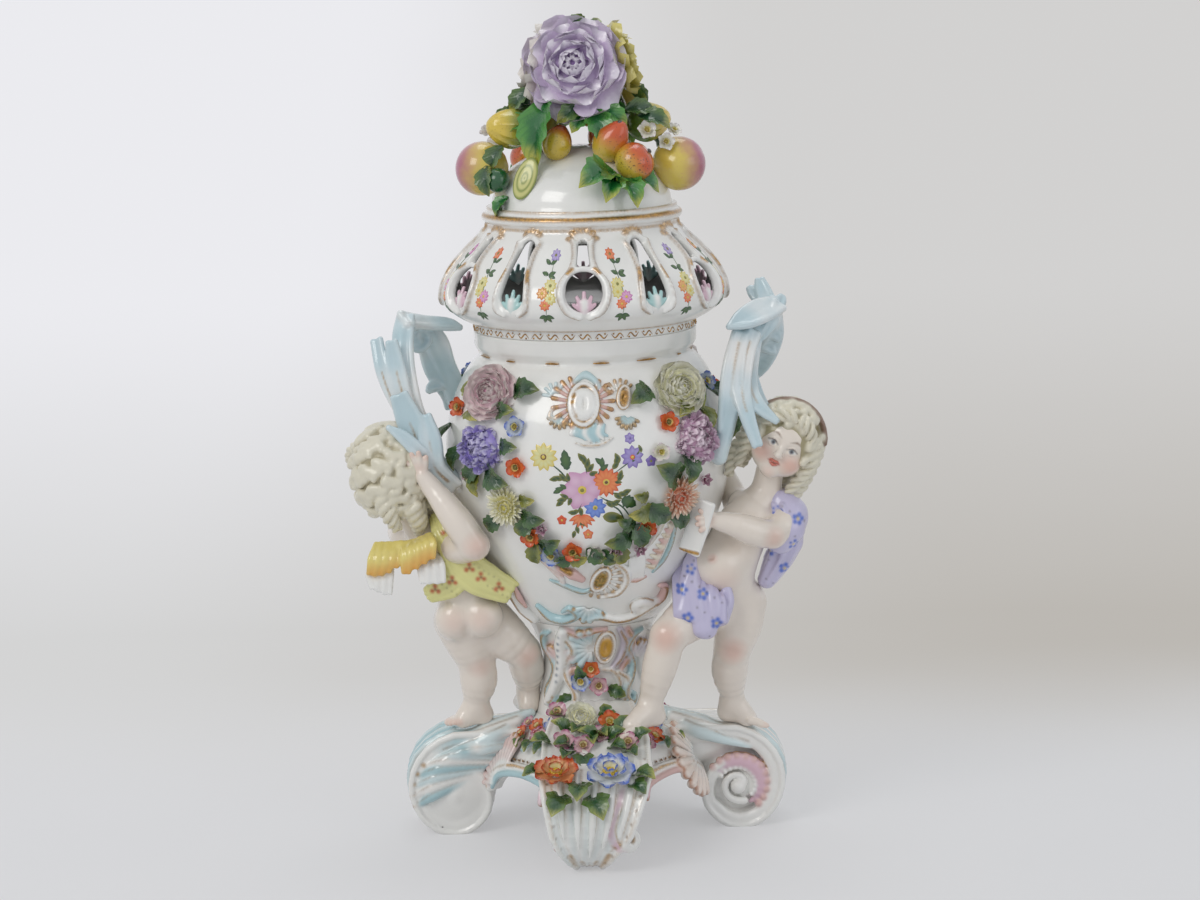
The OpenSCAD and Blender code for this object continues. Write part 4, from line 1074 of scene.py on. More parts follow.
def oval(u: float, z: float, a: float, b: float, tilt: float = 0.0, count: int = 12) -> list[Pair]:
    """Draws a closed oval round a point, tilted by degrees."""
    t = np.linspace(0, 2 * np.pi, count + 1)
    c, s = math.cos(math.radians(tilt)), math.sin(math.radians(tilt))
    x, y = a * np.cos(t), b * np.sin(t)
    return [(u + c * p - s * q, z + s * p + c * q) for p, q in zip(x, y)]


@dataclass
class Relief:
    """Modelled relief on a skin: scrolls, fans of ribs and framed ovals.

    Attributes:
        clay: Block that the relief is built in.
        skin: Surface that carries it.
        turn: Angle of the relief's middle from the front.
    """

    clay: Clay
    skin: Skin
    turn: float = 0.0

    def scroll(self, path: Sequence[Pair], wide: Sequence[float], coat: Paint, out: float = 0.4,
            line: Optional[Paint] = None) -> None:
        """Lays a scroll of clay, with a painted line along its crest."""
        p = trace(self.skin, self.turn, path, out)
        r = graded(len(p), wide)
        self.clay.add(Strand(p, r), 1.2, coat)
        if line is not None:
            q = trace(self.skin, self.turn, path, out + float(np.mean(wide)))
            self.clay.stain(Strand(q, 0.26 * r), line, 0.35, 0.85)

    def shell(self, u: float, z: float, start: float, end: float, inner: float, outer: float, ribs: int,
            tip: Paint, out: float = 1.2, rim: Paint = GILDING) -> None:
        """Lays a scallop: ribs that swell towards a scalloped and gilt rim.

        Args:
            u: Millimetres to the right of the middle.
            z: Height.
            start: First angle from the right, anticlockwise.
            end: Last angle.
            inner: Radius where the ribs start.
            outer: Radius where they end.
            ribs: Number of ribs.
            tip: Paint of their outer halves.
            out: Distance from the skin.
            rim: Paint of the scalloped edge.
        """
        swell = 0.52 * math.radians(abs(end - start)) / (ribs - 1)
        edge = []
        for k in range(ribs):
            f = k / (ribs - 1)
            a = math.radians(start + (end - start) * f)
            far = outer * (0.86 + 0.14 * math.sin(math.pi * f))
            reach = np.linspace(inner, far, 4)
            p = trace(self.skin, self.turn, [(u + q * math.cos(a), z + q * math.sin(a)) for q in reach],
                out, 2)
            r = graded(len(p), np.clip(swell * reach, 0.7, 4.0))
            self.clay.add(Strand(p, r), 0.5, paint(Enamel.WHITE))
            n = len(p)
            self.clay.stain(Strand(p[n // 3:], r[n // 3:] + 0.6), tip, 2.2, 0.6)
            self.clay.stain(Strand(p[2 * n // 3:], r[2 * n // 3:] + 0.6), tip, 1.6, 0.8)
            for w in (-0.5, 0.0, 0.5):
                b = a + w * math.radians(end - start) / (ribs - 1)
                q = far + (swell * far * 0.9 if w == 0 else 0.0)
                edge.append((u + q * math.cos(b), z + q * math.sin(b)))
        self.clay.stain(Strand(trace(self.skin, self.turn, edge, out + 1.0, 2), 1.0), rim, 0.4, 0.85)

    def fan(self, u: float, z: float, start: float, end: float, inner: float, outer: float, ribs: int,
            coat: Paint, tip: Optional[Paint] = None, thick: float = 1.5, out: float = 0.3,
            bulge: float = 0.0) -> None:
        """Lays a fan of ribs round a point, between two angles from the right, anticlockwise.

        Args:
            u: Millimetres to the right of the middle.
            z: Height.
            start: First angle.
            end: Last angle.
            inner: Radius where the ribs start.
            outer: Radius where they end.
            ribs: Number of ribs.
            coat: Paint of the ribs.
            tip: Paint of their ends.
            thick: Radius of a rib at its end.
            out: Distance from the skin.
            bulge: Extra length in the middle of the fan.
        """
        for k in range(ribs):
            f = k / max(ribs - 1, 1)
            a = math.radians(start + (end - start) * f)
            far = outer + bulge * math.sin(math.pi * f)
            line = [(u + r * math.cos(a), z + r * math.sin(a)) for r in (inner, (inner + far) / 2, far)]
            p = trace(self.skin, self.turn, line, out, 2)
            r = np.linspace(thick * 0.7, thick, len(p))
            self.clay.add(Strand(p, r), 0.6, coat)
            if tip is not None:
                self.clay.stain(Strand(p[-2:], r[-2:] + 0.25), tip, 0.6, 0.8)
                self.clay.stain(Strand(trace(self.skin, self.turn, line, out + thick, 2), 0.35), tip, 0.4,
                    0.35)

    def frame(self, u: float, z: float, a: float, b: float, tilt: float, wide: float, inside: Paint,
            edge: Paint = GILDING) -> None:
        """Lays a framed oval with a painted inside and a thin gilt line."""
        rim = oval(u, z, a, b, tilt)
        self.clay.add(Strand(trace(self.skin, self.turn, oval(u, z, a * 0.5, b * 0.5, tilt), 0.0, 2),
            a * 0.52), 1.0, paint(Enamel.WHITE))
        self.clay.stain(Strand(trace(self.skin, self.turn, oval(u, z, a * 0.4, b * 0.45, tilt), a * 0.4, 2),
            a * 0.5), inside, 0.8)
        self.clay.add(Strand(trace(self.skin, self.turn, rim, 1.2, 2), wide), 0.8, paint(Enamel.WHITE))
        for grow in (-0.75, 1.05):
            line = oval(u, z, a + grow * wide, b + grow * wide, tilt)
            self.clay.stain(Strand(trace(self.skin, self.turn, line, 1.8, 2), 0.6), edge, 0.4)

    def fill(self, back: float = 3.0) -> None:
        """Cuts away what lies deep inside the wall that carries the relief."""
        self.clay.cut(Turned(lambda z: self.skin.radius(z) - back, 0, 600, 120), 0.2)


@dataclass
class Studio:
    """Floor, light and camera.

    Attributes:
        eye: Place of the camera in metres.
        pitch: Degrees that the camera looks down.
        yaw: Degrees that it looks to the right.
        lens: Focal length on a 36 mm frame.
        roll: Degrees that the object's top leans to the left in the picture.
    """

    eye: Point = (0.0, -1.8, 0.56)
    pitch: float = 9.92
    yaw: float = math.degrees(math.atan(12 / 2864))
    lens: float = 85.92
    roll: float = 1.5

    def camera(self) -> None:
        """Places the camera."""
        data = bpy.data.cameras.new("camera")
        data.lens, data.sensor_width = self.lens, 36.0
        cam = bpy.data.objects.new("camera", data)
        cam.location = self.eye
        turn = Euler((math.radians(90 - self.pitch), 0, math.radians(-self.yaw))).to_matrix()
        cam.rotation_euler = (turn @ Matrix.Rotation(math.radians(-self.roll), 3, "Z")).to_euler()
        bpy.context.scene.collection.objects.link(cam)
        bpy.context.scene.camera = cam

    def lamp(self, name: str, at: Point, aim: Point, size: float, watts: float,
            tone: Colour = (1, 1, 1)) -> None:
        """Hangs a soft lamp."""
        data = bpy.data.lights.new(name, "AREA")
        data.size, data.energy, data.color = size, watts, tone
        obj = bpy.data.objects.new(name, data)
        obj.location = at
        away = np.asarray(aim, float) - np.asarray(at, float)
        obj.rotation_euler = (math.atan2(math.hypot(away[0], away[1]), -away[2]), 0,
            math.atan2(away[1], away[0]) - math.pi / 2)
        bpy.context.scene.collection.objects.link(obj)

    def light(self) -> None:
        """Sets the world and the lamps."""
        world = bpy.data.worlds.new("studio")
        bpy.context.scene.world = world
        world.use_nodes = True
        tree = world.node_tree
        tree.nodes.clear()
        path = tree.nodes.new("ShaderNodeLightPath")
        seen = tree.nodes.new("ShaderNodeMath")
        seen.operation = "ADD"
        seen.use_clamp = True
        also = tree.nodes.new("ShaderNodeMath")
        also.operation = "ADD"
        tree.links.new(path.outputs["Is Camera Ray"], seen.inputs[0])
        tree.links.new(path.outputs["Is Glossy Ray"], also.inputs[0])
        tree.links.new(path.outputs["Is Transmission Ray"], also.inputs[1])
        tree.links.new(also.outputs[0], seen.inputs[1])
        soft, shown = tree.nodes.new("ShaderNodeBackground"), tree.nodes.new("ShaderNodeBackground")
        soft.inputs["Color"].default_value = (0.94, 0.97, 1.0, 1)
        soft.inputs["Strength"].default_value = 0.5
        shown.inputs["Color"].default_value = (*linear(232, 233, 236), 1)
        shown.inputs["Strength"].default_value = 1.0
        mix, out = tree.nodes.new("ShaderNodeMixShader"), tree.nodes.new("ShaderNodeOutputWorld")
        tree.links.new(seen.outputs[0], mix.inputs[0])
        tree.links.new(soft.outputs[0], mix.inputs[1])
        tree.links.new(shown.outputs[0], mix.inputs[2])
        tree.links.new(mix.outputs[0], out.inputs["Surface"])
        self.lamp("key", (-1.3, -1.5, 1.7), (0, 0, 0.25), 1.1, 15.0, (1.0, 0.98, 0.95))
        self.lamp("fill", (1.6, -1.2, 0.9), (0, 0, 0.25), 1.2, 3.5, (0.95, 0.97, 1.0))
        self.lamp("top", (0.1, 0.5, 1.9), (0, 0, 0.3), 0.9, 5.0)

    def floor(self) -> None:
        """Lays the floor and the backdrop in one sweep; what the camera sees carries painted shade."""
        s = Shader("sweep")
        grain = s.noise(3.0, 2)
        x, y, _ = s.place()
        right = (x + grain * 0.1).ramp(-0.45, 0.45)
        low, mid = (y + grain * 0.1).ramp(0.05, 0.5), (y + grain * 0.1).ramp(0.6, 3.2).power(0.45)
        # Painted shade and light: the seen colour is darker to the right and across the lower backdrop, and
        # lighter near the floor and towards the top.
        near = s.mix(right, linear(228, 228, 230), linear(223, 223, 224))
        wall = s.mix(right, linear(213, 213, 213), linear(188, 184, 178))
        high = s.mix(right, linear(238, 238, 242), linear(212, 211, 210))
        lit = s.node("ShaderNodeBsdfPrincipled", {},
            {"Base Color": s.mix(grain.ramp(0.3, 0.7), linear(226, 226, 228), linear(229, 229, 231)),
            "Roughness": 0.6 + grain * 0.1, "Specular IOR Level": 0.1})
        shown = s.node("ShaderNodeBsdfPrincipled", {},
            {"Base Color": (0, 0, 0, 1), "Specular IOR Level": 0.0, "Emission Strength": 1.0,
            "Emission Color": s.mix(mid, s.mix(low, near, wall), high)})
        seen = s.sight() * (0.45 + low * 0.5)
        material = s.end(s.node("ShaderNodeMixShader", {}, {0: seen, 1: lit, 2: shown}))
        bend = [(-4.0, 0.0), (2.8, 0.0)]
        bend += [(2.8 + 3.0 * math.sin(a), 3.0 - 3.0 * math.cos(a))
            for a in np.radians(np.arange(3, 46, 3))]
        points = np.array([(x, y, z) for y, z in bend for x in (-4.5, 4.5)]) / MM
        faces = np.array([[2 * k, 2 * k + 1, 2 * k + 3, 2 * k + 2] for k in range(len(bend) - 1)])
        make_piece("sweep", points, faces, material)


@dataclass
class VaseBody:
    """The pear-shaped body, its painted bouquets and its modelled cartouches.

    Attributes:
        foot: Height of the foot of the body.
        segments: Segments round the axis.
    """

    foot: float = BODY_FOOT
    segments: int = 192

    def shell(self, glaze: bpy.types.Material) -> None:
        """Turns the body's wall."""
        zs = np.concatenate([np.linspace(self.foot + 0.6, 250, 60), np.linspace(252, 308, 34)])
        out = [(float(body_radius(z)), float(z)) for z in zs]
        neck = [(67.0, 309.2), (66.8, 310.4), (67.4, 312), (69.2, 314), (70.3, 316.4), (70.3, 322),
            (70.7, 323.6), (70.4, 324.8), (69.6, 325), (67.6, 325), (67.5, 324.4), (67.5, 317),
            (61.5, 317), (61.2, 309)]
        back = [(float(body_radius(z)) - 4.0, float(z)) for z in np.linspace(306, 150, 44)]
        profile = [(0.0, self.foot), (30.0, self.foot), (43.4, self.foot)] + out + neck + back + [(20, 147),
            (0, 146.5)]
        points, faces = lathe(profile, self.segments)
        obj = make_piece("body_wall", points, faces, glaze, flat_paint(len(points), paint(Enamel.WHITE)))
        seat(obj, "vase", ["vase_body"])

    def bouquet(self, brush: Painter, turn: float) -> None:
        """Paints the bouquet of one side."""
        z = 236.0
        olive, dark = (paint(Enamel.OLIVE), paint(Enamel.DARK_LEAF)), (paint(Enamel.DARK_LEAF),
            paint(Enamel.LEAF))
        ink, rose = paint(Enamel.DARK_LEAF), Paint(linear(206, 150, 188))
        sprigs = [((-2, 18), (-38, -12, 14, 40, 70), 7.0, olive), ((9, 16), (-50, 4, 52), 6.5, dark),
            ((19, 17), (-26, 6, 40), 6.5, olive), ((-18, 8), (-100, -72, -42, -15), 6.5, olive),
            ((-17, 1), (-116, -84, -56), 6.0, dark), ((-16, -6), (-128, -100, -68, -150), 6.5, olive),
            ((18, 6), (20, 58, 92), 6.6, olive), ((20, -3), (70, 100, 130), 6.6, olive),
            ((14, -9), (70, 112, 142), 6.0, olive), ((-8, -14), (-90, -122, 170), 6.0, olive),
            ((33, 22), (-18, 32, 80), 5.0, olive), ((-10, -26), (-160, 170, 128), 5.4, olive)]
        for at, leans, size, (rim, heart) in sprigs:
            brush.stroke(turn, z, [(at[0] * 0.45, at[1] * 0.45), at], 0.8, ink)
            for k, lean in enumerate(leans):
                along = 0.12 * k
                start = (at[0] * (1 - along), at[1] * (1 - along))
                brush.leaf(turn, z, size, size * 0.52, lean, rim, heart, start)
        brush.leaf(turn, z, 13, 6.4, -8, *dark, at=(-13, 13), teeth=4)
        brush.leaf(turn, z, 11, 8, 120, *dark, at=(20, -6), teeth=4)
        brush.leaf(turn, z, 14, 7.2, 98, *olive, at=(8, -17))
        brush.stroke(turn, z, [(10, -6), (20, -11), (27, -20)], 1.0, ink)
        brush.stroke(turn, z, [(9, -8), (18, -13), (23, -22)], 1.0, ink)
        brush.stroke(turn, z, [(-23, 17), (-17, 12), (-12, 6)], 1.0, ink)
        yellow, eye = paint(Enamel.YELLOW), paint(Enamel.OLIVE)
        brush.bloom(turn, z, 9, 11, yellow, paint(Enamel.LEMON), paint(Enamel.BROWN), (-27.5, 21))
        brush.dot(turn, z, 1.6, yellow, (-27.5, 21), lift=0.9)
        violet = paint(Enamel.VIOLET)
        brush.bloom(turn, z, 7.4, 9, violet, Paint(linear(170, 156, 214)), paint(Enamel.RED), (27, 19.5))
        brush.dot(turn, z, 1.3, yellow, (27, 19.5), lift=0.9)
        brush.bloom(turn, z, 3.6, 6, violet, Paint(linear(170, 156, 214)), violet, (26, 31))
        brush.bloom(turn, z, 3.8, 5, violet, paint(Enamel.VIOLET), paint(Enamel.OLIVE), (39, 16))
        red = paint(Enamel.RED)
        for k in range(7):
            brush.leaf(turn, z, 9.5, 3.2, 118 + 21 * k, red, Paint(linear(238, 150, 96)), (-5, -15.5))
        brush.bloom(turn, z, 3.4, 5, red, red, yellow, (-18, -19))
        brush.bloom(turn, z, 3.6, 5, red, Paint(linear(238, 150, 96)), yellow, (-1.5, -28.5))
        brush.bloom(turn, z, 9.6, 14, red, Paint(linear(240, 146, 88)), yellow, (10.4, 5))
        brush.dot(turn, z, 1.5, paint(Enamel.BROWN), (10.4, 5), lift=0.9)
        brush.bloom(turn, z, 7.2, 9, paint(Enamel.BLUE), Paint(linear(128, 156, 226)), yellow, (3.4, -11))
        brush.dot(turn, z, 1.0, eye, (3.4, -11), lift=0.9)
        for k in range(6):
            brush.leaf(turn, z, 13.6, 12.6, 60 * k + 26, rose, Paint(linear(228, 192, 216)), (-4.3, 0.5))
        brush.dot(turn, z, 3.2, yellow, (-4.3, 0.5))
        brush.dot(turn, z, 1.8, eye, (-4.3, 0.5), lift=0.9)

    def enamels(self, glaze: bpy.types.Material) -> None:
        """Paints both bouquets and the dashes of the neck."""
        brush = Painter(BODY)
        for turn in (0.0, 180.0):
            self.bouquet(brush, turn)
        for k in range(14):
            mid = 360 / 14 * k + 8
            long = 5.0 + 3.0 * math.sin(2.4 * k)
            brush.stroke(mid, 310.6, [(-long, 0), (0, 0.2), (long, 0)], 1.5, GILDING)
        seat(brush.piece("body_enamels", glaze), "vase", [])

    def upper(self, clay: Clay, turn: float) -> None:
        """Models the cartouche under the neck."""
        r = Relief(clay, BODY, turn)
        white, sky, pink = paint(Enamel.WHITE), paint(Enamel.SKY), paint(Enamel.SHELL)
        r.fan(-5, 289, 110, 252, 7, 14.5, 8, pink, GILDING, 1.55, bulge=1.5)
        r.fan(2, 289, -62, 64, 7, 13, 7, pink, GILDING, 1.5, bulge=1.0)
        for k in range(4):
            r.scroll([(-9 + 1.5 * k, 299 + k), (-3 + k, 303.5 + 0.6 * k), (4 + 0.6 * k, 302 - 0.5 * k),
                (7 + 0.3 * k, 297)], (0.8, 1.7, 1.5, 0.8), sky if k % 2 else paint(Enamel.MIST), 0.3)
        r.fan(20, 291, 40, 150, 5, 10, 6, white, GILDING, 1.2)
        r.fan(-19, 292, 60, 170, 3, 8, 5, paint(Enamel.MIST), None, 1.2)
        r.fan(-17, 281, 190, 320, 2, 7, 6, sky, GILDING, 1.2)
        r.fan(25, 280, 190, 330, 2, 7.5, 7, sky, GILDING, 1.2)
        for k in range(8):
            r.scroll([(-8 + 2.6 * k, 276.5 - 0.2 * abs(k - 4)), (-10 + 2.7 * k, 271),
                (-7 + 2.7 * k, 266 + 0.35 * (k - 4) ** 2)], (0.9, 1.6, 0.9), sky if k % 3 else white, 0.3)
        r.scroll([(-8, 265.5), (0, 263.5), (9, 264.5), (15, 268)], (0.7, 1.2, 1.2, 0.7),
            white, 0.5, GILDING)
        r.scroll([(-21, 286), (-23, 281), (-19, 279)], (1, 1.6, 1), white, 0.5, GILDING)
        r.frame(22.5, 290.5, 3.6, 6.2, -8, 1.3, GILDING)
        r.frame(-2, 287.5, 8.4, 11.6, -4, 1.7, white)
        clay.stain(Strand(trace(BODY, turn, [(-7, 293), (-8, 287), (-6, 281)], 2.6),
            (0.9, 1.7, 0.9, 1.7, 0.9, 0.9, .9, .9, .9)), GILDING, 0.5)
        r.fill()

    def lower(self, clay: Clay, turn: float) -> None:
        """Models the cartouche above the foot, and the shells beside it."""
        r = Relief(clay, BODY, turn)
        white, sky, pink = paint(Enamel.WHITE), paint(Enamel.SKY), paint(Enamel.SHELL)
        r.fan(4, 178, -110, 70, 8, 14, 10, white, GILDING, 1.4, bulge=1.5)
        r.scroll([(12, 189), (20, 184), (22, 175), (16, 166), (6, 164)], (1.2, 2.2, 2.6, 2.2, 1.2),
            white, 0.8, GILDING)
        for k in range(5):
            r.scroll([(-38 + 3.4 * k, 196 - 3 * k), (-29 + 2.6 * k, 189 - 3 * k), (-18, 182 - 2.4 * k)],
                (0.9, 1.7, 1.0), pink if k % 2 else white, 0.3, GILDING if k % 2 else None)
        r.scroll([(-20, 185), (-12, 181), (-6, 177)], (2.2, 4.0, 2.4), pink, 0.4)
        r.scroll([(-18, 186), (-13, 183.5)], (1.0, 1.6), GILDING, 3.0)
        r.scroll([(-26, 176), (-16, 172), (-6, 168), (0, 170)], (1.0, 1.8, 2.0, 1.2), sky, 0.6, GILDING)
        for k in range(5):
            r.scroll([(24 + 2.4 * k, 190 + 0.8 * k), (24.5 + 2.2 * k, 183), (24 + 2.2 * k, 176)],
                (0.9, 1.5, 0.9), white, 0.3)
        r.scroll([(22, 174.5), (28, 173.5), (35, 175.5)], (0.9, 1.4, 0.9), pink, 0.5, GILDING)
        for k in range(9):
            f = k / 8
            r.scroll([(34 + 17 * f, 184 + 26 * f), (40 + 14 * f, 182 + 27 * f),
                (44 + 12 * f, 188 + 28 * f)], (0.9, 1.9, 1.0), pink if k % 2 else paint(Enamel.CREAM), 0.3,
                GILDING if k % 3 == 0 else None)
        r.scroll([(36, 196), (44, 207), (50, 220), (56, 236)], (1.0, 2.2, 2.4, 1.2), white, 0.4,
            paint(Enamel.OLIVE, 0.7))
        r.scroll([(40, 178), (48, 186), (54, 198), (58, 214)], (1.0, 1.8, 1.8, 1.0), sky, 0.4, GILDING)
        r.frame(5.5, 177, 4.6, 8.0, -28, 1.5, paint(Enamel.OLIVE, 0.75))
        r.scroll([(-60, 174), (-56, 162), (-49, 152), (-41, 145)], (1.8, 3.6, 4.4, 3.4),
            white, 1.2, GILDING)
        r.scroll([(-53, 172), (-50, 162), (-45, 155)], (0.9, 2.2, 1.2), pink, 2.4, GILDING)
        r.scroll([(-36, 156), (-28, 149), (-18, 147), (-10, 151), (-14, 156), (-19, 153)],
            (1.8, 3.2, 3.4, 2.8, 2.2, 1.2), sky, 1.2, GILDING)
        r.scroll([(-6, 146), (4, 150), (14, 147), (24, 148), (34, 153), (43, 156)],
            (1.8, 3.0, 3.2, 3.4, 4.2, 3.0), white, 1.2, GILDING)
        r.shell(-2, 158, 200, 320, 3, 11, 6, sky, 1.2)
        r.frame(33, 154, 3.4, 6.4, 68, 3.4, Paint(linear(210, 160, 62)))
        r.scroll([(43, 155), (48, 159), (50, 166), (45, 168)], (2.8, 3.2, 2.6, 1.4), pink, 1.6, GILDING)
        r.fill()

    def reliefs(self, glaze: bpy.types.Material) -> None:
        """Models the cartouches of both sides."""
        for part, name, low, high in ((self.upper, "cartouches_upper", (-32, -96, 258), (38, -60, 309)),
                (self.lower, "cartouches_lower", (-66, -96, 140), (66, -26, 242))):
            clay = Clay(low, high, 0.75)
            part(clay, 0.0)
            points, faces, tones = clay.mesh()
            both = np.concatenate([points, points * (-1, -1, 1)])
            obj = make_piece(name.replace("cartouches", "cartouche"), both,
                np.concatenate([faces, faces + len(points)]), glaze, np.concatenate([tones, tones]))
            seat(obj, "vase", [name])


@dataclass
class Piercing(Form):
    """A hole through a wall, drawn as a rounded stroke seen from outside.

    Attributes:
        turn: Angle from the front.
        path: Millimetres to the right and height of each point.
        radii: Radius at each point.
        near: Least distance from the axis.
    """

    turn: float
    path: Sequence[Pair]
    radii: Sequence[float]
    near: float = 30.0

    def reach(self) -> tuple[np.ndarray, np.ndarray]:
        """Returns the box round the hole."""
        a = math.radians(FRONT + self.turn)
        out, side = np.array([math.cos(a), math.sin(a)]), np.array([-math.sin(a), math.cos(a)])
        wide = max(abs(p[0]) + r for p, r in zip(self.path, self.radii))
        flat = np.array([out * d + side * w for d in (self.near, 95) for w in (-wide, wide)])
        zs = [p[1] + s * r for p, r in zip(self.path, self.radii) for s in (-1, 1)]
        return np.array([*flat.min(0), min(zs)]), np.array([*flat.max(0), max(zs)])

    def distance(self, x: np.ndarray, y: np.ndarray, z: np.ndarray) -> np.ndarray:
        """Returns the distance to the drawn stroke, the same at any depth."""
        a = math.radians(FRONT + self.turn)
        u = -math.sin(a) * x + math.cos(a) * y
        deep = math.cos(a) * x + math.sin(a) * y
        flat = Strand([(p[0], p[1], 0.0) for p in self.path], self.radii)
        return np.maximum(flat.distance(u, z, np.zeros(1)), self.near - deep)


@dataclass
class Cover:
    """The pierced cover with its framed windows, sprigs and gilt lines.

    Attributes:
        windows: Number of windows.
        wall: Thickness of the wall.
        inside_shade: Brightness of the inside against the outside, as painted shade inside the cover.
    """

    windows: int = 12
    wall: float = 4.0
    inside_shade: float = 0.28

    def pierced(self, glaze: bpy.types.Material) -> None:
        """Models the flank with its windows, ribs and crests."""
        clay = Clay((-94, -94, 323), (94, 94, 405), 1.0)
        clay.add(Turned(cover_radius, 325.0, 403.0, 92), 0.5)
        clay.cut(Turned(lambda z: cover_radius(z) - self.wall, 320, 410, 92), 0.6)
        clay.add(Strand(COVER.place(np.arange(0, 361, 6), np.full(61, 396.5), np.full(61, 0.2)), 3.0), 1.5)
        white = paint(Enamel.WHITE)
        for k in range(self.windows):
            turn = 360 / self.windows * k
            r = Relief(clay, COVER, turn)
            if k % 2 == 0:
                for s in (-1, 1):
                    r.scroll([(3 * s, 341.5), (10.5 * s, 345.5), (14.3 * s, 354), (13 * s, 362),
                        (7.5 * s, 369), (5.2 * s, 376), (5.6 * s, 384), (8.2 * s, 386.5)],
                        (1.6, 2.0, 2.2, 2.2, 2.0, 1.8, 1.8, 1.2), white, 0.6)
                r.fan(0, 383.5, 20, 160, 3, 9.0, 7, white, GILDING, 1.5, 0.4)
                clay.cut(Piercing(turn, [(0, 356), (0, 357.5)], [11.2, 11.0]), 1.4)
                clay.cut(Piercing(turn, [(0, 373), (0, 383)], [3.7, 2.6]), 1.0)
                r.scroll([(-9, 367.5), (-4, 369.5), (0, 370), (4, 369.5), (9, 367.5)],
                    (1.2, 1.5, 1.9, 1.5, 1.2), white, 0.2)
                for s in (-1, 1):
                    for off in (2.0, 0.2):
                        line = [(3 * s, 340.5), ((10.6 + off) * s, 345), ((14.6 + off) * s, 354),
                            ((13.2 + off) * s, 362.4), ((7.6 + off) * s, 369.4), ((5.3 + off) * s, 376),
                            ((5.8 + off) * s, 383), ((8 + off) * s, 386)]
                        clay.stain(Strand(trace(COVER, turn, line, 1.6), 0.55),
                            paint(Enamel.BROWN, 0.8), 0.5, 0.9)
                    clay.stain(Strand(trace(COVER, turn, [(9.5 * s, 366.5), (6.5 * s, 369)], 2.6), 1.0),
                        GILDING, 0.6)
            else:
                for s in (-1, 1):
                    r.scroll([(5 * s, 343), (10.5 * s, 347), (10 * s, 358), (7.4 * s, 368), (6.6 * s, 378),
                        (8.0 * s, 384)], (1.6, 2.0, 2.0, 1.9, 1.8, 1.4), white, 0.5)
                r.scroll([(-6.5, 384), (0, 387.5), (6.5, 384)], (1.5, 1.9, 1.5), white, 0.4)
                r.fan(0, 385, 35, 145, 2, 6.5, 5, white, GILDING, 1.4, 0.3)
                clay.cut(Piercing(turn, [(0, 353.5), (0, 364), (0, 381)], [7.8, 6.4, 4.2]), 1.2)
                for s in (-1, 1):
                    for off in (2.0, 0.1):
                        line = [(6 * s, 342), ((10.6 + off) * s, 347), ((10 + off) * s, 358),
                            ((7.4 + off) * s, 368), ((6.6 + off) * s, 378), ((8 + off) * s, 383.5)]
                        clay.stain(Strand(trace(COVER, turn, line, 1.5), 0.55),
                            paint(Enamel.BROWN, 0.8), 0.5, 0.9)
                    clay.stain(Strand(trace(COVER, turn, [(9.6 * s, 362), (8 * s, 368)], 2.2), 0.9),
                        GILDING, 0.6)
        for z, wide, out in ((398.6, 1.5, 3.0), (402.6, 0.55, 0.2), (391.2, 0.6, 0.4), (331.2, 0.7, 0.2)):
            ring = COVER.place(np.arange(0, 361, 5), np.full(73, z), np.full(73, out))
            clay.stain(Strand(ring, wide), GILDING, 0.5)
        points, faces, tones = clay.mesh()
        # The inside of the wall is painted darker: painted shade where little light gets into the cover.
        inner = np.hypot(points[:, 0], points[:, 1]) < cover_radius(points[:, 2]) - 0.75 * self.wall
        tones[inner, :3] *= self.inside_shade
        seat(make_piece("cover_flank", points, faces, glaze, tones), "cover",
            ["cover_shell"])

    def dome(self, glaze: bpy.types.Material) -> None:
        """Turns the dome and the tongue that drops into the neck."""
        zs = DOME_FOOT + DOME_RISE * np.sin(np.linspace(0, math.pi / 2, 24))[:-1]
        out = [(57.2, 400.5), (57.4, 402.4), (56.9, 403.6)] + [(float(dome_radius(z)), float(z))
            for z in zs[1:]]
        back = [(float(dome_radius(z)) - 3.6, float(z) - 3.4) for z in zs[-2::-1]] + [(52.6, 398)]
        points, faces = lathe(out + [(1.2, 440.0)] + [(1.0, 436.2)] + back, 144)
        tongue = [(62.9, 317.4), (66.5, 317.4), (66.9, 318), (66.9, 326), (68.2, 329), (67.4, 332),
            (64.5, 331), (62.9, 326)]
        more, rims = lathe(tongue, 144)
        points, faces = np.concatenate([points, more]), np.concatenate([faces, rims + len(points)])
        obj = make_piece("cover_dome", points, faces, glaze, flat_paint(len(points), paint(Enamel.WHITE)))
        seat(obj, "cover", [])

    def palmettes(self, glaze: bpy.types.Material) -> None:
        """Models the small leaves that stand in the windows."""
        clay = Clay((-92, -92, 338), (92, 92, 366), 1.0)
        for k in range(self.windows):
            turn = 360 / self.windows * k
            tone = paint(Enamel.ROSE) if k % 2 == 0 else Paint(linear(176, 216, 214))
            foot = 345.0 if k % 2 == 0 else 345.5
            for lobe in (-2, -1, 0, 1, 2):
                a = math.radians(30 * lobe)
                far = 12.5 - 1.4 * abs(lobe)
                line = [(0.3 * lobe, foot), (0.5 * far * math.sin(a), foot + 0.55 * far * math.cos(a)),
                    (0.8 * far * math.sin(a), foot + far * math.cos(a))]
                p = trace(COVER, turn, line, -2.4, 2)
                clay.add(Strand(p, np.linspace(1.7, 1.3, len(p))), 0.8, tone)
            clay.add(Strand(trace(COVER, turn, [(0, foot - 2), (0, foot + 6)], -2.0, 2), 2.2), 1.0,
                paint(Enamel.WHITE))
        fire(clay, "window_palmettes", glaze, "cover", ["cover_palmettes"])

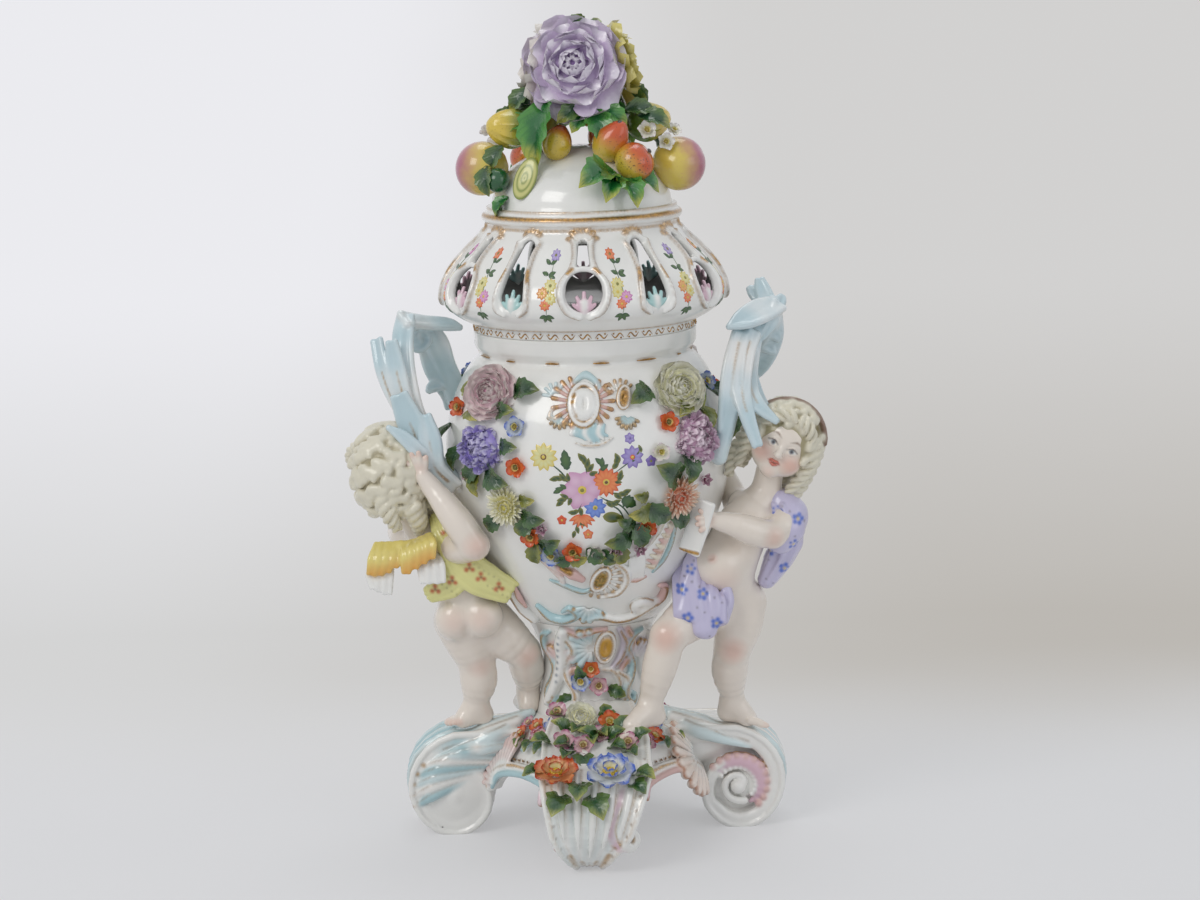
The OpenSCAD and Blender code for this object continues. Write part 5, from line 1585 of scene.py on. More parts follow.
    def enamels(self, glaze: bpy.types.Material) -> None:
        """Paints the sprigs between the windows and the scrollwork of the foot band."""
        brush = Painter(COVER)
        bright = [paint(Enamel.RED), paint(Enamel.YELLOW), paint(Enamel.VIOLET),
            Paint(linear(196, 92, 170)), Paint(linear(214, 120, 60))]
        pale = [Paint(linear(240, 150, 100)), paint(Enamel.LEMON), Paint(linear(196, 180, 224)),
            Paint(linear(230, 178, 214)), Paint(linear(240, 190, 120))]
        eye, rim, heart = paint(Enamel.OLIVE), paint(Enamel.DARK_LEAF), paint(Enamel.LEAF)
        for k in range(self.windows):
            turn = 360 / self.windows * (k + 0.5)
            lean = 4 if k % 2 else -4
            tops, mids = (k * 2) % 5, (k * 3 + 1) % 5
            brush.stroke(turn, 350, [(0, -8), (1, 6), (lean * 0.6, 26)], 0.7, heart)
            for lift, turns in ((-7, (150, 205, 110, 250)), (17, (70, -70, 110)), (23, (-55, 60))):
                for t in turns:
                    brush.leaf(turn, 350, 5.2, 2.6, t, rim, heart, (0, lift))
            brush.bloom(turn, 350, 4.0, 8, bright[tops], pale[tops], eye, (lean * 0.7, 28))
            brush.bloom(turn, 350, 4.4, 10, bright[1], pale[1], eye, (2.2 if k % 2 else -2.0, 11))
            brush.bloom(turn, 350, 4.0, 8, bright[mids], pale[mids], bright[1], (-2.6, 6.5))
            brush.bloom(turn, 350, 4.2, 9, bright[(mids + 2) % 5], pale[(mids + 2) % 5],
                bright[1], (2.6, 3.4))
            brush.bloom(turn, 350, 3.6, 8, bright[0], pale[0], bright[1], (-0.6, -0.6))
        for k in range(44):
            turn, s = 360 / 44 * k, 1 if k % 2 else -1
            brush.stroke(turn, 327.6, [(-4, -1.2 * s), (-1.5, 1.3 * s), (1.5, -1.3 * s), (4, 1.2 * s)], 0.9,
                GILDING)
            brush.dot(turn, 327.6, 0.6, GILDING, (-2.5, -1.2 * s))
            brush.dot(turn, 327.6, 0.6, GILDING, (2.2, 1.4 * s))
        seat(brush.piece("cover_enamels", glaze), "cover", [])


def plinth_radius(z: np.ndarray) -> np.ndarray:
    """Radius of the spreading plinth at a height."""
    t = np.clip((np.asarray(z, float) - 30) / 46, 0, 1)
    return 38 + 34 * (1 - t**1.6)


def pedestal_radius(z: np.ndarray) -> np.ndarray:
    """Radius of the waisted pedestal at a height."""
    t = np.clip((np.asarray(z, float) - 76) / 64, 0, 1)
    return 33 + (np.where(t < 0.5, 38.0, 44.0) - 33) * (2 * t - 1) ** 2


PLINTH, PEDESTAL = Skin(plinth_radius), Skin(pedestal_radius)


def spun(points: np.ndarray, degrees: float) -> np.ndarray:
    """Turns points about the vase's axis."""
    c, s = math.cos(math.radians(degrees)), math.sin(math.radians(degrees))
    return points @ np.array([[c, s, 0], [-s, c, 0], [0, 0, 1]])


class Flank(Enum):
    """What the flanks of a foot show."""

    SPIRAL = "a spiral with a crescent leaf"
    ACANTHUS = "a leaf wrapped round the roll"


def roll_radius(degrees: float) -> float:
    """Radius of the outside of a foot's roll at an angle, from the top round past the toe to the eye."""
    if degrees > -90:
        return 27 + 12.8 * min(1.0, max(0.0, (degrees + 30) / 120)) ** 1.5
    return max(27 - 18 * (-90 - degrees) / 330, 6.0)


@dataclass
class ScrollFoot:
    """One foot: a fluted band that leaves the plinth and rolls into a volute.

    Attributes:
        node: The solid that it stands for.
        angle: Direction of the foot about the axis.
        tint: Enamel of its shoulder.
        lean: Millimetres that the volute swings to one side.
        reach: Distance of the volute's eye from the axis.
        eye: Height of the eye.
        width: Width of the band.
        climb: Millimetres that the band rises towards the plinth, as a mound for the flowers.
        flank: What its flanks show.
        crest: Side of a raised leaf along the arm, 1 or -1, or 0 for none.
        flare: Width of the band along its run, as shares of the width.
    """

    node: str
    angle: float
    tint: Enamel
    lean: float = 0.0
    reach: float = FOOT_REACH
    eye: float = FOOT_EYE
    width: float = 43.0
    climb: float = 0.0
    flank: Flank = Flank.SPIRAL
    crest: int = 0
    flare: Sequence[float] = (0.86, 0.96, 0.98, 1.0, 1.0, 0.98, 0.96, 0.8)

    def half(self, count: int) -> np.ndarray:
        """Half of the band's width at the points of its run."""
        return self.width / 2 * np.interp(np.arange(count), (0, 2, 4, 6, 9, 13, 22, 38), self.flare)

    def band(self, inset: float, share: float = 0.0, side: float = 0.0) -> np.ndarray:
        """Finds the run of the band.

        Args:
            inset: Distance inside its outer face.
            share: Place across the band, as a share of its half width.
            side: Millimetres further to one side.

        Returns:
            Points from the plinth to the eye.
        """
        rise = [self.climb * (self.reach - x) / FOOT_RUN for x in (36.0, 52.0, 70.0)]
        run = [(36.0, 67.5 + rise[0] - inset), (52.0, 67.2 + rise[1] - inset),
            (70.0, 66.6 + rise[2] - inset)]
        for a in range(90, -421, -15):
            r = roll_radius(a) - inset * (1.0 if a > -150 else 0.6)
            run.append((self.reach + r * math.cos(math.radians(a)), self.eye
                + r * math.sin(math.radians(a))))
        p = np.array([(x, side, z) for x, z in run])
        p[:, 1] += share * self.half(len(p))
        p[:, 1] += self.lean * np.clip((70 - p[:, 2]) / 60, 0, 1) * np.clip((p[:, 0] - 50) / 40, 0, 1)
        return p

    def build(self, glaze: bpy.types.Material) -> None:
        """Models the foot and seats it."""
        broad = self.width / 2 * max(self.flare) + abs(self.lean) + 8
        clay = Clay((28, -broad, -2), (124, broad, 75 + self.climb + 8 * (self.crest != 0)), 0.9)
        white, tint = paint(Enamel.WHITE), paint(self.tint)
        path = self.band(5.0)
        n = len(path)
        clay.add(Ribbon(path, (0.0, 1.0, 0.0), 2 * self.half(n), np.interp(np.arange(n), [0, 9, n],
            [14, 9, 6]), 5, 0.9), 1.0, white)
        clay.add(Egg((self.reach, self.lean, self.eye + 2), (26, 16.5, 25)), 3.0, white)
        clay.add(Egg((self.reach - 32, 0.3 * self.lean, 52), (36, 17, 15)), 4.0, white)
        if self.climb:
            clay.add(Egg((50, 0, 66), (26, 21, 10)), 4.0, white)
        clay.add(Strand([(self.reach, self.lean - 19, self.eye), (self.reach, self.lean + 19, self.eye)],
            5.2), 1.5, white)
        clay.stain(Egg((78, 0, 72), (46, 34, 22)), tint, 6.0, 0.9)
        for s in (-1, 1):
            edge = self.band(0.6, s, -0.8 * s)
            clay.add(Strand(edge[:26], 2.2), 1.0, white)
            clay.stain(Strand(self.band(-0.6, s, -1.4 * s)[:20], 0.5), GILDING, 0.45, 0.7)
            clay.stain(Strand(self.band(-0.4, s, -6.0 * s)[:20], 0.4), GILDING, 0.45, 0.6)
            for p in self.band(-0.6, s, -3.4 * s)[3:16]:
                clay.stain(Egg(p, (0.9, 0.9, 0.9)), paint(Enamel.BROWN, 0.4), 0.4, 0.8)
            (self.spiral if self.flank is Flank.SPIRAL else self.acanthus)(clay, s)
        if self.climb:
            self.curl(clay)
        for k in range(-2, 3):
            top, stop = self.band(-1.4, k / 2.9), 12 - abs(k)
            clay.add(Strand(top[3:stop], np.interp(np.arange(stop - 3), [0, (stop - 3) / 2, stop - 4],
                [1.0, 2.6, 0.8])), 1.6, white if self.climb else tint if k % 2 else paint(Enamel.MIST))
            clay.stain(Strand(self.band(-1.8, k / 2.9, 2.8)[4:stop + 1], 0.5), GILDING if self.climb
                else paint(Enamel.BROWN, 0.5), 0.6, 0.6)
            if self.climb:
                clay.stain(Strand(self.band(-1.0, k / 2.9, -3.0)[7:stop + 3], 1.6),
                    paint(Enamel.MIST), 2.0, 0.6)
            clay.stain(Strand(self.band(-0.4, k / 2.9)[stop + 1:stop + 4], (1.7, 1.2, 0.4)),
                paint(Enamel.GOLD, 0.4), 0.5, 0.7)
        if self.crest:
            for j, (start, drop) in enumerate(((42, 0.0), (50, 2.5), (58, 5.5))):
                run = smooth(np.array([(start, self.crest * (9 + 4 * j), 76 - drop - 0.2 * (start - 42)),
                    (66, self.crest * (12 + 4 * j), 69.5 - drop),
                    (82, self.crest * (14 + 3.4 * j), 63.5 - drop),
                    (98, self.crest * (13 + 3 * j), 58 - drop)]), 4)
                clay.add(Strand(run, graded(len(run), [3.6, 4.6, 1.4], [0, 0.4, 1])), 2.0,
                    paint(Enamel.MIST if j % 2 == 0 else Enamel.WHITE))
                clay.stain(Strand(run + (0, self.crest * 1.5, 4.0), 0.6), paint(Enamel.BROWN, 0.6), 0.6,
                    0.5)
        points, faces, tones = clay.mesh()
        points[:, 2] = np.maximum(points[:, 2], 0.0)
        obj = make_piece(self.node.replace("foot", "scroll_foot"), spun(points, self.angle),
            faces, glaze, tones)
        seat(obj, "vase", [self.node])

    def around(self, r: float, degrees: float, side: float) -> tuple[float, float, float]:
        """Finds a point round the eye of the volute."""
        a = math.radians(degrees)
        return (self.reach + r * math.cos(a), self.lean + side, self.eye + 1 + r * math.sin(a))

    def spiral(self, clay: Clay, s: int) -> None:
        """Lays a pink crescent leaf round the eye on one flank."""
        turns = np.linspace(160, -58, 24)
        lie = 17.2 - 0.014 * (160 - turns)
        wide = np.interp(turns, [-58, -20, 40, 110, 160], [1.2, 4.2, 6.0, 5.2, 1.6])
        clay.add(Strand([self.around(r, a, s * 16.5) for r, a in zip(lie, turns)], wide), 1.0,
            paint(Enamel.ROSE))
        for a in range(-44, 150, 17):
            clay.add(Egg(self.around(20.4 - 0.012 * (160 - a), a, s * 18.5), (2.6, 3.4, 2.6)), 1.2,
                paint(Enamel.SHELL))
            clay.add(Egg(self.around(12.8 - 0.012 * (160 - a), a + 8, s * 18.5), (1.8, 3.0, 1.8)), 1.2,
                paint(Enamel.WHITE))
            clay.stain(Strand([self.around(13.5, a - 5, s * 20), self.around(18.5, a, s * 20)], 0.7),
                paint(Enamel.MAUVE), 0.7, 0.7)
        for r in (11.0, 22.0):
            clay.stain(Strand([self.around(r, a, s * 18.5) for a in range(-50, 160, 10)], 0.8),
                GILDING, 0.45, 0.8)
        clay.add(Strand([self.around(11.5 - 0.026 * t, -70 - t, s * 18.5) for t in range(0, 300, 20)],
            np.linspace(2.6, 2.0, 15)), 0.8, paint(Enamel.WHITE))

    def acanthus(self, clay: Clay, s: int) -> None:
        """Wraps a fluted leaf round the flank of a rolled foot."""
        clay.add(Egg((self.reach, self.lean + s * 13.5, self.eye + 1), (25, 10, 25)), 3.0,
            paint(Enamel.WHITE))
        for k in range(9):
            a = 104 - 15 * k
            root, tip = np.array((56 + 3.0 * k, s * 18.0, 57.5 - 2.6 * k)), np.array(self.around(26.5
                - 0.5 * abs(k - 4), a, s * 20.0))
            mid = 0.45 * root + 0.55 * tip + np.array(self.around(4.0, a + 20, s * 4.5)) - self.around(0.0,
                a, 0.0)
            run = smooth(np.array([root, mid, tip]), 4)
            clay.add(Strand(run, graded(len(run), [2.2, 3.7, 1.8], [0, 0.6, 1])), 1.4,
                paint((Enamel.MIST, Enamel.WHITE, self.tint)[k % 3]))
            clay.stain(Strand(run + (1.2, s * 2.4, 1.6), 0.6), paint(Enamel.BROWN, 0.5), 0.6, 0.45)
            if k > 3:
                clay.stain(Strand([self.around(27.5, a, s * 21), self.around(31.5, a - 3, s * 19)], 1.5),
                    paint(Enamel.GOLD, 0.5), 0.6, 0.7)

    def curl(self, clay: Clay) -> None:
        """Rolls one edge of the band sideways into a small scroll with a pink lining."""
        run = smooth(np.array([(100, 28, 60), (112, 25, 48), (117, 20, 38), (118, 18, 29), (116, 21, 20),
            (112, 26, 17), (109, 29, 21), (110, 27, 26), (113, 24, 24)], float) + (0, self.lean, 0), 4)
        clay.add(Strand(run, graded(len(run), [2.0, 3.4, 3.2, 2.0], [0, 0.5, 0.75, 1])), 1.2,
            paint(Enamel.WHITE))
        inner = run[:22] + (2.0, -4.5, 0.5)
        clay.stain(Strand(inner, 2.6), paint(Enamel.ROSE), 1.2, 0.9)
        clay.stain(Strand(run[:30] + (3.0, -1.5, 0.6), 0.6), GILDING, 0.5, 0.85)
        clay.stain(Strand(inner + (1.0, -3.2, 0), 0.6), GILDING, 0.5, 0.8)


@dataclass
class Pedestal:
    """Plinth and pedestal with their shells, scrolls and beads.

    Attributes:
        low: Height of the plinth's lower rim.
        joint: Height where the pedestal stands on the plinth.
        high: Height of the pedestal's top.
        wall: Thickness of the wall.
    """

    low: float = 30.0
    joint: float = 76.0
    high: float = 140.0
    wall: float = 7.0

    def plinth(self, glaze: bpy.types.Material) -> None:
        """Models the plinth with an arched scroll and a shell between each two feet."""
        clay = Clay((-86, -86, 22), (86, 86, 80), 1.0)
        white, pink, sky = paint(Enamel.WHITE), paint(Enamel.SHELL), paint(Enamel.SKY)
        clay.add(Turned(plinth_radius, self.low, self.joint, 74), 0.5, white)
        for k in range(4):
            turn = 45.0 + 90 * k
            r = Relief(clay, PLINTH, turn)
            clay.cut(Piercing(turn, [(-9, 24), (9, 24)], [19, 19], 50), 2.0)
            r.scroll([(-31, 32), (-27, 41), (-15, 47), (0, 48.5), (15, 47), (27, 41), (31, 32)],
                (3.2, 3.2, 3.2, 3.0, 3.2, 3.2, 3.2), white, 1.4, GILDING)
            r.scroll([(-25, 33), (-20, 41), (0, 45), (20, 41), (25, 33)], (1.4, 2.0, 2.2, 2.0, 1.4),
                sky if k % 2 else pink, 2.6)
            if k % 2:
                r.shell(-15, 37, 86, 190, 9, 28, 11, pink, 4.0)
                r.shell(16, 44, 60, -70, 5, 15, 7, paint(Enamel.ROSE), 2.0)
            else:
                r.shell(29, 46, 92, 262, 5, 22, 11, Paint(linear(240, 220, 206)), 4.0,
                    Paint(linear(186, 116, 68)))
                r.shell(-18, 44, 120, 230, 5, 14, 6, paint(Enamel.ROSE), 2.0)
            for b in range(9):
                spot = trace(PLINTH, turn, [(-16 + 4 * b, 52.5 - 0.06 * (b - 4) ** 2),
                    (-15.9 + 4 * b, 52.5)], 1.4, 1)[0]
                clay.add(Egg(spot, (1.0, 1.0, 1.0)), 0.3, paint(Enamel.BROWN, 0.5))
            r.scroll([(-10, 58), (-4, 64), (6, 62), (12, 68)], (1.6, 2.4, 2.4, 1.4), sky, 1.0, GILDING)
            r.scroll([(12, 56), (18, 62), (14, 70)], (1.6, 2.4, 1.4), white, 1.0, GILDING)
        clay.cut(Turned(lambda z: plinth_radius(z) - self.wall, 20, 90, 80), 0.8)
        fire(clay, "plinth", glaze, "vase", ["base_plinth", "base_shells"])

    def stem(self, glaze: bpy.types.Material) -> None:
        """Models the pedestal with its scrolls and the bean cartouches."""
        clay = Clay((-58, -58, 70), (58, 58, 143), 0.85)
        white, pink, sky = paint(Enamel.WHITE), paint(Enamel.SHELL), paint(Enamel.SKY)
        clay.add(Turned(pedestal_radius, 74.0, self.high, 46), 0.5, white)
        lilac, mustard = Paint(linear(206, 198, 210)), Paint(linear(210, 160, 62))
        for turn in (0.0, 180.0):
            r = Relief(clay, PEDESTAL, turn)
            r.shell(-1, 125, 96, 264, 3, 15, 8, sky, 1.2)
            r.frame(7.5, 125.5, 5.4, 10.8, -8, 1.6, mustard)
            r.scroll([(17, 138), (20.5, 128), (17, 117), (12, 111)], (2.0, 3.0, 2.8, 1.6),
                lilac, 1.2, GILDING)
            r.scroll([(22.5, 137), (26, 127), (22, 115), (17, 108)], (2.0, 2.8, 2.6, 1.4),
                pink, 1.0, GILDING)
            r.scroll([(-18, 139), (-10, 135.5), (-2, 137.5), (8, 139)], (1.6, 2.6, 2.4, 1.4),
                pink, 1.0, GILDING)
            r.scroll([(-17, 105), (-11.5, 110), (-8, 105), (-11, 100), (-14, 102)],
                (1.8, 2.2, 2.0, 1.6, 1.0), pink, 1.2, GILDING)
            r.scroll([(15, 107), (21, 101), (20, 91), (14, 87), (12, 92)], (2.0, 2.8, 2.8, 2.0, 1.2),
                white, 1.4, GILDING)
            r.scroll([(4, 110), (12, 108), (16, 99), (10, 95)], (1.4, 2.0, 2.0, 1.2), white, 1.2, GILDING)
            r.scroll([(-19, 138), (-20.5, 128), (-19.5, 118), (-22, 106), (-27, 95), (-33, 86)],
                (3.2, 4.4, 4.4, 4.0, 3.6, 2.6), white, 2.6)
            r.scroll([(-14.5, 130), (-12, 124), (-15, 119), (-18, 122)], (1.6, 2.4, 2.0, 1.2),
                sky, 1.4, GILDING)
            for b in range(10):
                spot = trace(PEDESTAL, turn, [(-20.5 - 0.07 * (b - 2) ** 2, 136 - 5 * b),
                    (-20.5, 135.9 - 5 * b)], 6.6, 1)[0]
                clay.stain(Egg(spot, (1.1, 1.1, 1.1)), Paint(linear(96, 112, 126)), 0.5, 0.9)
        for k in range(4):
            turn = 52.0 + 90 * k
            r = Relief(clay, PEDESTAL, turn)
            for s, tone in ((-1, sky), (1, white)):
                r.scroll([(s * 3, 135), (s * 9, 132), (s * 11, 124), (s * 6.5, 117), (s * 4, 110),
                    (s * 6, 102), (s * 10, 96), (s * 11, 90), (s * 7, 86), (s * 4, 90), (s * 6.5, 93)],
                    (1.4, 2.6, 3.0, 3.0, 3.0, 3.0, 3.0, 2.8, 2.4, 2.0, 1.4), tone, 1.4, GILDING)
            r.shell(0, 112, 40, 140, 3, 13, 5, pink if k % 2 else lilac, 1.0)
        clay.cut(Turned(lambda z: pedestal_radius(z) - self.wall, 60, 150, 60), 0.8)
        fire(clay, "stem", glaze, "vase", ["pedestal", "pedestal_scrolls"])


def skin_point(azimuth: float, z: float, out: float) -> tuple[float, float, float]:
    """Finds a point off the body by azimuth, height and level distance from its wall."""
    r = float(body_radius(z)) + out
    return (r * math.cos(math.radians(azimuth)), r * math.sin(math.radians(azimuth)), z)


@dataclass(frozen=True)
class Blade:
    """One leaf of a handle, from its root to its tip.

    Attributes:
        path: Points along its midrib.
        widths: Widths, spread evenly along it.
        faces: Direction that its upper face looks in.
        blue: Station from which it is blue, 0 at the root and 1 at the tip.
        thick: Thickness at the root.
        line: Whether a gilt line runs along the midrib.
    """

    path: Sequence[Point]
    widths: Sequence[float]
    faces: Point
    blue: float = 0.5
    thick: float = 4.6
    line: bool = True

    def press(self, clay: Clay) -> None:
        """Models the leaf with rolled edges and paints it."""
        p = smooth(np.asarray(self.path, float), 6)
        n = len(p)
        t = np.linspace(0, 1, n)
        flow = np.gradient(p, axis=0)
        flow /= np.linalg.norm(flow, axis=1)[:, None]
        across = np.cross(flow, np.asarray(self.faces, float))
        across /= np.linalg.norm(across, axis=1)[:, None]
        lift = np.cross(across, flow)
        wide = np.interp(t, np.linspace(0, 1, len(smooth(np.asarray(self.widths, float)[:, None], 5))),
            smooth(np.asarray(self.widths, float)[:, None], 5)[:, 0])
        thick = self.thick * (1 - 0.35 * t)
        white, sky, mist = paint(Enamel.WHITE), Paint(linear(212, 227, 232)), Paint(linear(238, 241, 242))
        clay.add(Ribbon(p, across, wide, thick, 1, 0.55), 1.4, white)
        for s in (-1, 1):
            edge = p + across * (s * (wide / 2 - 1.4))[:, None] + lift * (0.16 * thick)[:, None]
            clay.add(Strand(edge, 1.5 - 0.3 * t), 1.6, mist)
        k = min(int(self.blue * (n - 1)), n - 2)
        clay.stain(Strand(p[k:], wide[k:] / 2 + 2), sky, 4.5, 0.7)
        clay.stain(Strand(p[(k + n) // 2:], wide[(k + n) // 2:] / 2 + 2), Paint(linear(180, 208, 217)), 5.0,
            0.75)
        if self.line:
            a, b = int(0.15 * n), max(int(0.72 * n), 3)
            clay.stain(Strand(p[a:b] + lift[a:b] * (thick[a:b, None] * 0.4),
                np.interp(t[a:b], [t[a], t[b - 1]], [0.75, 0.3])), GILDING, 0.45, 0.75)


@dataclass
class LeafHandle:
    """A handle of leaves that spring from the body and curl over at the top.

    Attributes:
        node: The solid that it stands for.
        run: Points along the stem that the leaves grow from.
        core: Radii of the stem at those points.
        blades: The leaves.
    """

    node: str
    run: Sequence[Point]
    core: Sequence[float]
    blades: Sequence[Blade]

    def build(self, glaze: bpy.types.Material) -> None:
        """Models the handle and seats it."""
        ends = np.concatenate([np.asarray(self.run, float)]
            + [np.asarray(b.path, float) for b in self.blades])
        clay = Clay(ends.min(0) - 13, ends.max(0) + 13, 0.85)
        p, r = smooth(np.asarray(self.run, float), 5), smooth(np.asarray(self.core, float)[:, None], 5)[:,
            0]
        clay.add(Strand(p, r), 1.0, paint(Enamel.MIST))
        for blade in self.blades:
            blade.press(clay)
        clay.cut(Turned(lambda z: body_radius(z) - 2.5, 146, 326, 100), 0.3)
        fire(clay, self.node.replace("handle", "leaf_handle"), glaze, "vase", [self.node])


def handles() -> list[LeafHandle]:
    """Sets out the two handles."""
    left = [skin_point(-157, 236, 3), skin_point(-160, 262, 20), skin_point(-166, 303, 43),
        skin_point(-172, 326, 45), (-110, -8, 330), (-103, 3, 327), skin_point(170, 301, 18),
        skin_point(166, 278, 0)]
    port, rear = (-0.3, -1.0, 0.12), (-0.15, -1.0, 0.3)
    fan = [Blade([(-84, -41, 232), (-95, -46, 245.3), (-97.8, -48, 262.3), (-100.6, -46, 277.4)],
        (10, 13, 15, 9), port, 0.2),
        Blade([(-98, -47, 248), (-104.3, -50, 255.1), (-113.9, -50, 265), (-123.3, -48, 271.1)],
        (9, 9, 8, 3), (-0.1, -1, 0.5), 0.1, 4.0, False),
        Blade([(-96, -44, 246), (-103.6, -45, 257.4), (-109.6, -44, 273.1), (-116.2, -43, 290.4)],
        (11, 15, 17.5, 12), port, 0.45),
        Blade([(-106.7, -41, 270.3), (-112.3, -38, 285), (-117.3, -35, 304.4), (-120.4, -31, 322.3)],
        (8, 9, 11.5, 8), port, 0.6), Blade([(-110.3, -39, 271.4), (-119.3, -36, 285), (-126.3, -32, 303.6),
        (-130.1, -25, 322.8)], (7, 7, 9.5, 9), (-0.6, -1, 0.1), 0.55),
        Blade([(-101.5, -38, 271.5), (-106.5, -36, 283.5), (-111.5, -29, 305.1), (-114, -20, 322),
        (-112.5, -10, 335.4)], (7, 8, 10, 14, 12), port, 0.55),
        Blade([(-113.5, -14, 334), (-101.1, -1, 330), (-87, 7, 327.5), (-79.5, 9, 325)], (14, 11, 9.5, 4),
        (0.0, -0.7, 0.7), 0.1, 5.0, False),
        Blade([(-107, 4, 328), (-97.5, 11, 315.3), (-93.4, 15, 299.2), skin_point(166, 282, 4),
        skin_point(165, 272, 0)], (15, 20, 20.5, 17, 14), rear, 0.02, 5.4, False),
        Blade([(-107, 3, 327), (-109.5, 1, 321), (-105.5, 1, 315.5), (-101, 3, 318.5), (-103, 4, 322)],
        (9, 10, 10, 8, 6), rear, 0.0, 4.0, False),
        Blade([skin_point(166, 290, 8), (-97.5, 14, 287), (-101, 10, 284.5)], (9, 8, 4), rear,
        0.0, 4.0, False)]
    right = [skin_point(-32, 248, 5), skin_point(-26, 274, 12), skin_point(-17, 295, 22),
        skin_point(-12, 321, 33), (111, -4, 333), (119, 8, 323), skin_point(16, 297, 38),
        skin_point(18, 262, 0)]
    star, over = (0.25, -1.0, 0.1), (0.1, -0.72, 0.7)
    plume = [Blade([(96.5, -32, 322), (91.7, -41, 303.6), (88.9, -46, 285.3), (84.6, -50, 264)],
        (11, 14, 14.5, 9), star, 0.5),
        Blade([(104.8, -28, 322.2), (98.9, -36, 309.2), (95.8, -44, 289.2), (99.1, -52, 272.6),
        (104.6, -56, 255.4)], (10, 12, 12, 9.5, 7), star, 0.5),
        Blade([(105.1, -24, 314), (101.3, -36, 292.2), (105.5, -45, 279.4), (117, -50, 269.1)],
        (9, 10.5, 9.5, 4.5), (0.4, -1, 0.2), 0.4),
        Blade([(108, -21, 320), (103.5, -28, 300), (106.5, -33, 286), (111.8, -34, 277)], (7, 8, 7, 3),
        (0.8, -0.8, 0.1), 0.0, 4.0, False),
        Blade([(98.6, -30, 315.1), (107.1, -21, 326.4), (118.8, -9, 335.2)], (15, 15, 13), star, 0.3, 4.8),
        Blade([(122, -7, 336.6), (111, -19, 334.4), (99, -32, 330.4), (89, -41, 327.4)],
        (13, 18, 14.5, 3.5), over, 0.35, 5.0, False),
        Blade([(121, -7, 336.5), (118, -16, 328.5), (110.5, -21, 318.5)], (9, 10, 6), (0.8, -0.7, 0.2), 0.5,
        4.4, False), Blade([(116, -3, 335.9), (112.9, 3, 345.7), (111.6, 6, 350.8)], (12, 9.5, 6.5),
        (0.1, -1, 0.2), 0.0, 4.6, False), Blade([(113.7, -1, 336.5), (107.5, 3, 342.5), (105, 4, 346)],
        (8, 7, 4.5), (0.1, -1, 0.2), 0.0, 4.2, False),
        Blade([(118.9, -7, 333), (123.6, -3, 338), (125, 0, 340.4)], (10, 8, 5), (0.3, -1, 0.2), 0.0, 4.4,
        False), Blade([(119.5, 4, 330), (119.5, 13, 313), (111, 22, 296), skin_point(17, 280, 12),
        skin_point(18, 262, 0)], (13, 15, 16, 14, 12), (0.45, -0.85, 0.3), 0.0, 5.2, False),
        Blade([(115, 9, 319), (121, 11, 314.5), (123.2, 12, 311.5)], (8, 7, 4), (0.3, -1, 0.3), 0.0, 4.2,
        False), Blade([(112, 15, 309), (117.5, 15, 305.2), (120.2, 15, 302.8)], (8, 7, 4), (0.3, -1, 0.3),
        0.0, 4.2, False)]
    return [LeafHandle("handle_left", left, (5, 5, 4.5, 4.5, 5, 5, 6, 7), fan),
        LeafHandle("handle_right", right, (5.5, 5, 4.5, 4.5, 5, 5, 6, 7), plume)]


def unit(v: Point) -> np.ndarray:
    """Scales a direction to length 1."""
    v = np.asarray(v, float)
    return v / np.linalg.norm(v)


